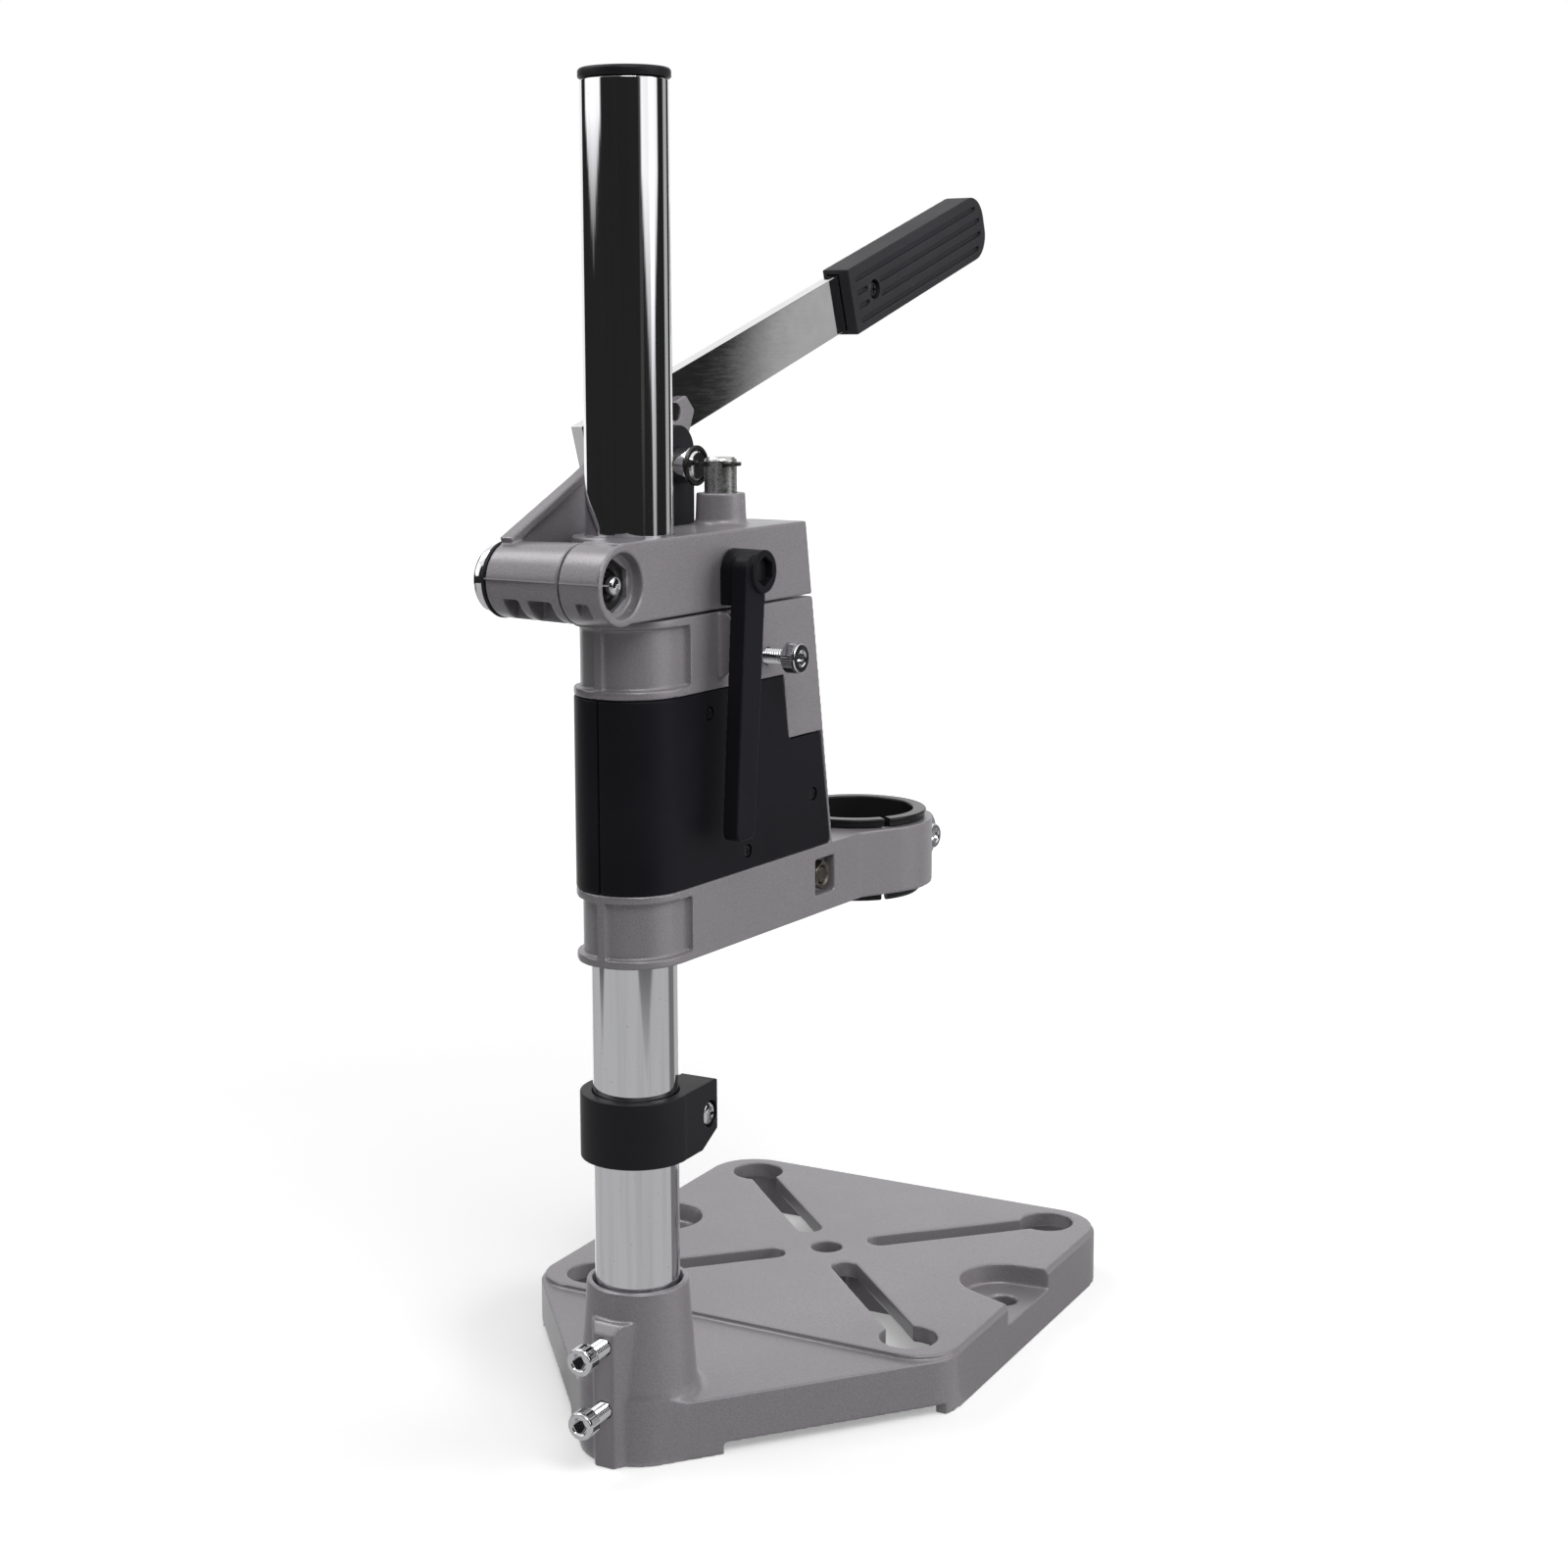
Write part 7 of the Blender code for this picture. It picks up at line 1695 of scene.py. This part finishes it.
def make_grip(place):
    """The plastic grip over the bar's end, and the screw that holds it."""
    near = BAR_NEAR_X - GRIP_NEAR_WALL
    far = BAR_FAR_X + GRIP_FAR_WALL
    grip = piece("lever_grip", [bar_plate(grip_outline(), near, far)])
    cut(grip, grip_grooves(near))
    melt(grip, *GRIP_MELT)
    low, high = BAR_LIFT - BAR_WIDTH / 2 - GAP, BAR_LIFT + BAR_WIDTH / 2 + GAP
    mouth, pocket_end = GRIP_START - OVERRUN, BAR_END + GAP
    y, z = along_bar(GRIP_SCREW_STATION, BAR_LIFT)
    cut(grip, [
        bar_plate([(mouth, low), (pocket_end, low), (pocket_end, high), (mouth, high)],
                  BAR_NEAR_X - GAP, BAR_FAR_X + GAP),
        cross_rod(GRIP_SCREW_RADIUS + GAP, near - OVERRUN, BAR_FAR_X, y, z),
        cross_rod(GRIP_COUNTERBORE_RADIUS, near - OVERRUN, near + GRIP_COUNTERBORE_DEPTH, y, z),
    ])
    dress(grip, "grip", "hand_lever", place, sharp=SOFT_SHARP)
    seat = near + GRIP_COUNTERBORE_DEPTH - GAP
    head = seat - GRIP_SCREW_HEAD_LENGTH
    radius = GRIP_SCREW_HEAD_RADIUS
    dome = rounded(radius, radius / 2, head, seat - GAP, GRIP_DOME_STEPS)[::-1]
    screw = piece("grip_screw", [turned([
        (0, head), *[(r, head + seat - GAP - z) for r, z in dome],
        (radius, seat), (GRIP_SCREW_RADIUS, seat), (GRIP_SCREW_RADIUS, BAR_FAR_X),
    ])])
    cut(screw, cross_slots(radius, GAP, head - OVERRUN, head + GRIP_SCREW_HEAD_LENGTH / 2))
    dress(screw, "dark", "hand_lever", lying_x(y, z, 1, place), sharp=TURNED_SHARP)


def make_link_bolt(place, pin_y, pin_z):
    """The chromed shoulder bolt in the rocker's eye, with the black ring on its head."""
    seat = LINK_NEAR_X - GAP
    head = seat - LINK_HEAD_LENGTH
    ring = head + LINK_RING_THICKNESS
    groove, wide = LINK_GROOVE_RADIUS, LINK_HEAD_RADIUS
    bolt = piece("link_bolt", [turned([
        (0, head - GAP), (groove - 2 * GAP, head - GAP), (groove, head + GAP), (groove, ring + GAP),
        (wide - GAP, ring + GAP), (wide, ring + 2 * GAP), (wide, seat), (LINK_PIN_RADIUS, seat),
        (LINK_PIN_RADIUS, BARREL_FAR_X - GAP),
    ])])
    lie = lying_x(pin_y, pin_z, 1, place)
    dress(bolt, "chrome", "hand_lever", lie, sharp=TURNED_SHARP)
    washer = piece("link_bolt_ring", [ring_about_z(LINK_RING_RADIUS, groove + GAP, head, ring, GAP)])
    dress(washer, "dark", "hand_lever", lie, sharp=TURNED_SHARP)


def make_hand_lever():
    """The cast rocker, the flat bar bolted to it, the grip and the link's bolt."""
    place = HEAD @ LEVER_PIVOT
    low_lift = BAR_LIFT - BAR_WIDTH / 2
    high_lift = BAR_LIFT + BAR_WIDTH / 2
    pin_y, pin_z = LINK_TOP_Y - PIVOT_Y, LINK_TOP_Z - PIVOT_Z
    make_rocker(place, pin_y, pin_z, low_lift)
    make_bar(place, low_lift, high_lift)
    make_grip(place)
    make_link_bolt(place, pin_y, pin_z)


def make_link():
    """The black link between the rocker and the carriage."""
    length = LINK_TOP_Z - LINK_BOTTOM_Z
    radius = LINK_END_RADIUS
    outline = arc((0, LINK_HEAD_RISE), radius, 0, 180, LINK_STEPS)
    outline += arc((0, -length), radius, 180, 360, LINK_STEPS)
    bar = piece("link_bar", [side_plate(outline, LINK_NEAR_X, LINK_FAR_X)])
    soften(bar, 2 * GAP)
    near, far = LINK_NEAR_X - OVERRUN, LINK_FAR_X + OVERRUN
    slot = slotted((-LINK_SLOT_REACH, -length), (LINK_SLOT_REACH, -length), LINK_SLOT_WIDTH)
    cut(bar, [cross_rod(LINK_PIN_RADIUS + GAP, near, far), side_plate(slot, near, far)])
    place = HEAD @ Matrix.Translation((0, LINK_TOP_Y, LINK_TOP_Z))
    dress(bar, "plastic", "link", place, sharp=RIM_SHARP)


def worked_out(tree, operation, one, other):
    """A value worked out from two."""
    made = tree.nodes.new("ShaderNodeMath")
    made.operation = operation
    tree.links.new(one, made.inputs[0])
    tree.links.new(other, made.inputs[1])
    return made.outputs[0]


def seen_rays(tree):
    """Whether a ray comes from the camera, or from metal or glass."""
    path = tree.nodes.new("ShaderNodeLightPath")
    total = path.outputs["Is Camera Ray"]
    for name in ("Is Glossy Ray", "Is Transmission Ray"):
        total = worked_out(tree, "MAXIMUM", total, path.outputs[name])
    return total


def stage_material(name):
    """A material of the studio, its shader still to be made, and the node that shows it."""
    material = bpy.data.materials.new(name)
    material.use_nodes = True
    tree = material.node_tree
    tree.nodes.clear()
    return material, tree, tree.nodes.new("ShaderNodeOutputMaterial").inputs["Surface"]


def make_world():
    """White for the camera and for metal, a plain soft level for everything else."""
    world = bpy.data.worlds.new("studio")
    world.use_nodes = True
    bpy.context.scene.world = world
    tree = world.node_tree
    tree.nodes["Background"].inputs["Color"].default_value = (1.0, 1.0, 1.0, 1.0)
    level = spread(tree, seen_rays(tree), WORLD_LEVEL, 1.0, 0.0, 1.0)
    tree.links.new(level, tree.nodes["Background"].inputs["Strength"])


def stage_mesh(name, points, faces, material):
    """One piece of the studio."""
    mesh = bpy.data.meshes.new(name)
    mesh.from_pydata(points, [], faces)
    mesh.materials.append(material)
    made = bpy.data.objects.new(name, mesh)
    bpy.context.scene.collection.objects.link(made)
    return made


def make_floor():
    """A pale floor that keeps the stand's shadow and is white to the camera where nothing shades it."""
    material, tree, surface = stage_material("floor_card")
    seen = seen_rays(tree)
    matt = tree.nodes.new("ShaderNodeBsdfDiffuse")
    colour = spread(tree, seen, FLOOR_BOUNCE_COLOUR, FLOOR_SEEN_COLOUR, 0.0, 1.0)
    tree.links.new(colour, matt.inputs["Color"])
    place = tree.nodes.new("ShaderNodeTexCoord")
    away = tree.nodes.new("ShaderNodeVectorMath")
    away.operation = "LENGTH"
    tree.links.new(place.outputs["Object"], away.inputs[0])
    level = spread(tree, away.outputs["Value"], *FLOOR_GLOW, *FLOOR_GLOW_REACH)
    glow = tree.nodes.new("ShaderNodeEmission")
    tree.links.new(worked_out(tree, "MULTIPLY", seen, level), glow.inputs["Strength"])
    both = tree.nodes.new("ShaderNodeAddShader")
    tree.links.new(matt.outputs[0], both.inputs[0])
    tree.links.new(glow.outputs[0], both.inputs[1])
    tree.links.new(both.outputs[0], surface)
    half, drop = FLOOR_HALF, FLOOR_DROP
    stage_mesh("floor", [(-half, -half, drop), (half, -half, drop), (half, half, drop), (-half, half, drop)],
               [(0, 1, 2, 3)], material)


def card_glow(base, streaks, angle, reach):
    """How bright a card is at an angle and at a reach, which is its height, or its radius where it lies."""
    total = base
    for middle, half, start, full, bright in streaks:
        rise = min(1.0, max(GAP, (reach - start) / (full - start)))
        across = min(1.0, max(0.0, STREAK_EDGE * (1 - abs(angle - middle) / (half * rise))))
        total += bright * (3 - 2 * across) * across * across * rise
    return max(0.0, total)


def make_card(name, size, streaks):
    """A card round the stand that only metal and gloss reflect, with the light streaks of the studio."""
    columns, rows = CARD_STEPS
    points, faces, glows = [], [], []
    (near, far), (low, high), (first, last) = size["radii"], size["heights"], size["angles"]
    for k in range(columns + 1):
        angle = first + (last - first) * k / columns
        turn = math.radians(angle)
        for j in range(rows + 1):
            radius = near + (far - near) * j / rows
            height = low + (high - low) * j / rows
            points.append((radius * math.cos(turn), radius * math.sin(turn), height))
            glows.append(card_glow(size["base"], streaks, angle, radius if low == high else height))
    for k in range(columns):
        for j in range(rows):
            here = k * (rows + 1) + j
            faces.append((here, here + rows + 1, here + rows + 2, here + 1))
    material, tree, surface = stage_material(name)
    read = tree.nodes.new("ShaderNodeAttribute")
    read.attribute_name = "glow"
    light = tree.nodes.new("ShaderNodeEmission")
    tree.links.new(read.outputs["Fac"], light.inputs["Strength"])
    tree.links.new(light.outputs[0], surface)
    card = stage_mesh(name, points, faces, material)
    values = card.data.attributes.new("glow", "FLOAT", "POINT")
    values.data.foreach_set("value", glows)
    card.visible_camera = card.visible_diffuse = card.visible_shadow = False


def make_lamp(name, place, size, power, mirrored):
    """One soft square lamp that faces the stand, and whether metal and gloss mirror it."""
    data = bpy.data.lights.new(name, "AREA")
    data.shape = "SQUARE"
    data.size = size
    data.energy = power
    lamp = bpy.data.objects.new(name, data)
    lamp.location = place
    lamp.visible_glossy = mirrored
    aim = Vector(LAMP_TARGET) - Vector(place)
    lamp.rotation_euler = aim.to_track_quat("-Z", "Y").to_euler()
    bpy.context.scene.collection.objects.link(lamp)


def make_camera():
    """The camera where the photograph was taken from."""
    data = bpy.data.cameras.new("camera")
    data.sensor_width = CAMERA_SENSOR
    data.lens = CAMERA_LENS
    data.shift_x, data.shift_y = CAMERA_SHIFT
    data.clip_start = CAMERA_NEAREST
    camera = bpy.data.objects.new("camera", data)
    bpy.context.scene.collection.objects.link(camera)
    aim = (Matrix.Rotation(CAMERA_AZIMUTH, 4, "Z") @ Matrix.Rotation(QUARTER_TURN - CAMERA_TILT, 4, "X")
           @ Matrix.Rotation(CAMERA_ROLL, 4, "Z"))
    camera.matrix_world = Matrix.Translation(CAMERA_PLACE) @ aim
    bpy.context.scene.camera = camera


def main():
    """Builds the stand and its studio."""
    make_base()
    make_column()
    make_stop_collar()
    make_block()
    make_pivot()
    make_rod()
    make_clamp_lever()
    make_carriage()
    make_covers()
    make_carriage_screws()
    make_collar_parts()
    make_hand_lever()
    make_link()
    make_world()
    make_floor()
    make_card("high_card", HIGH_CARD, HIGH_STREAKS)
    make_card("low_card", LOW_CARD, LOW_STREAKS)
    for name, place, size, power, mirrored in LAMPS:
        make_lamp(name, place, size, power, mirrored)
    make_camera()
    bpy.context.scene.view_settings.view_transform = "Standard"


main()
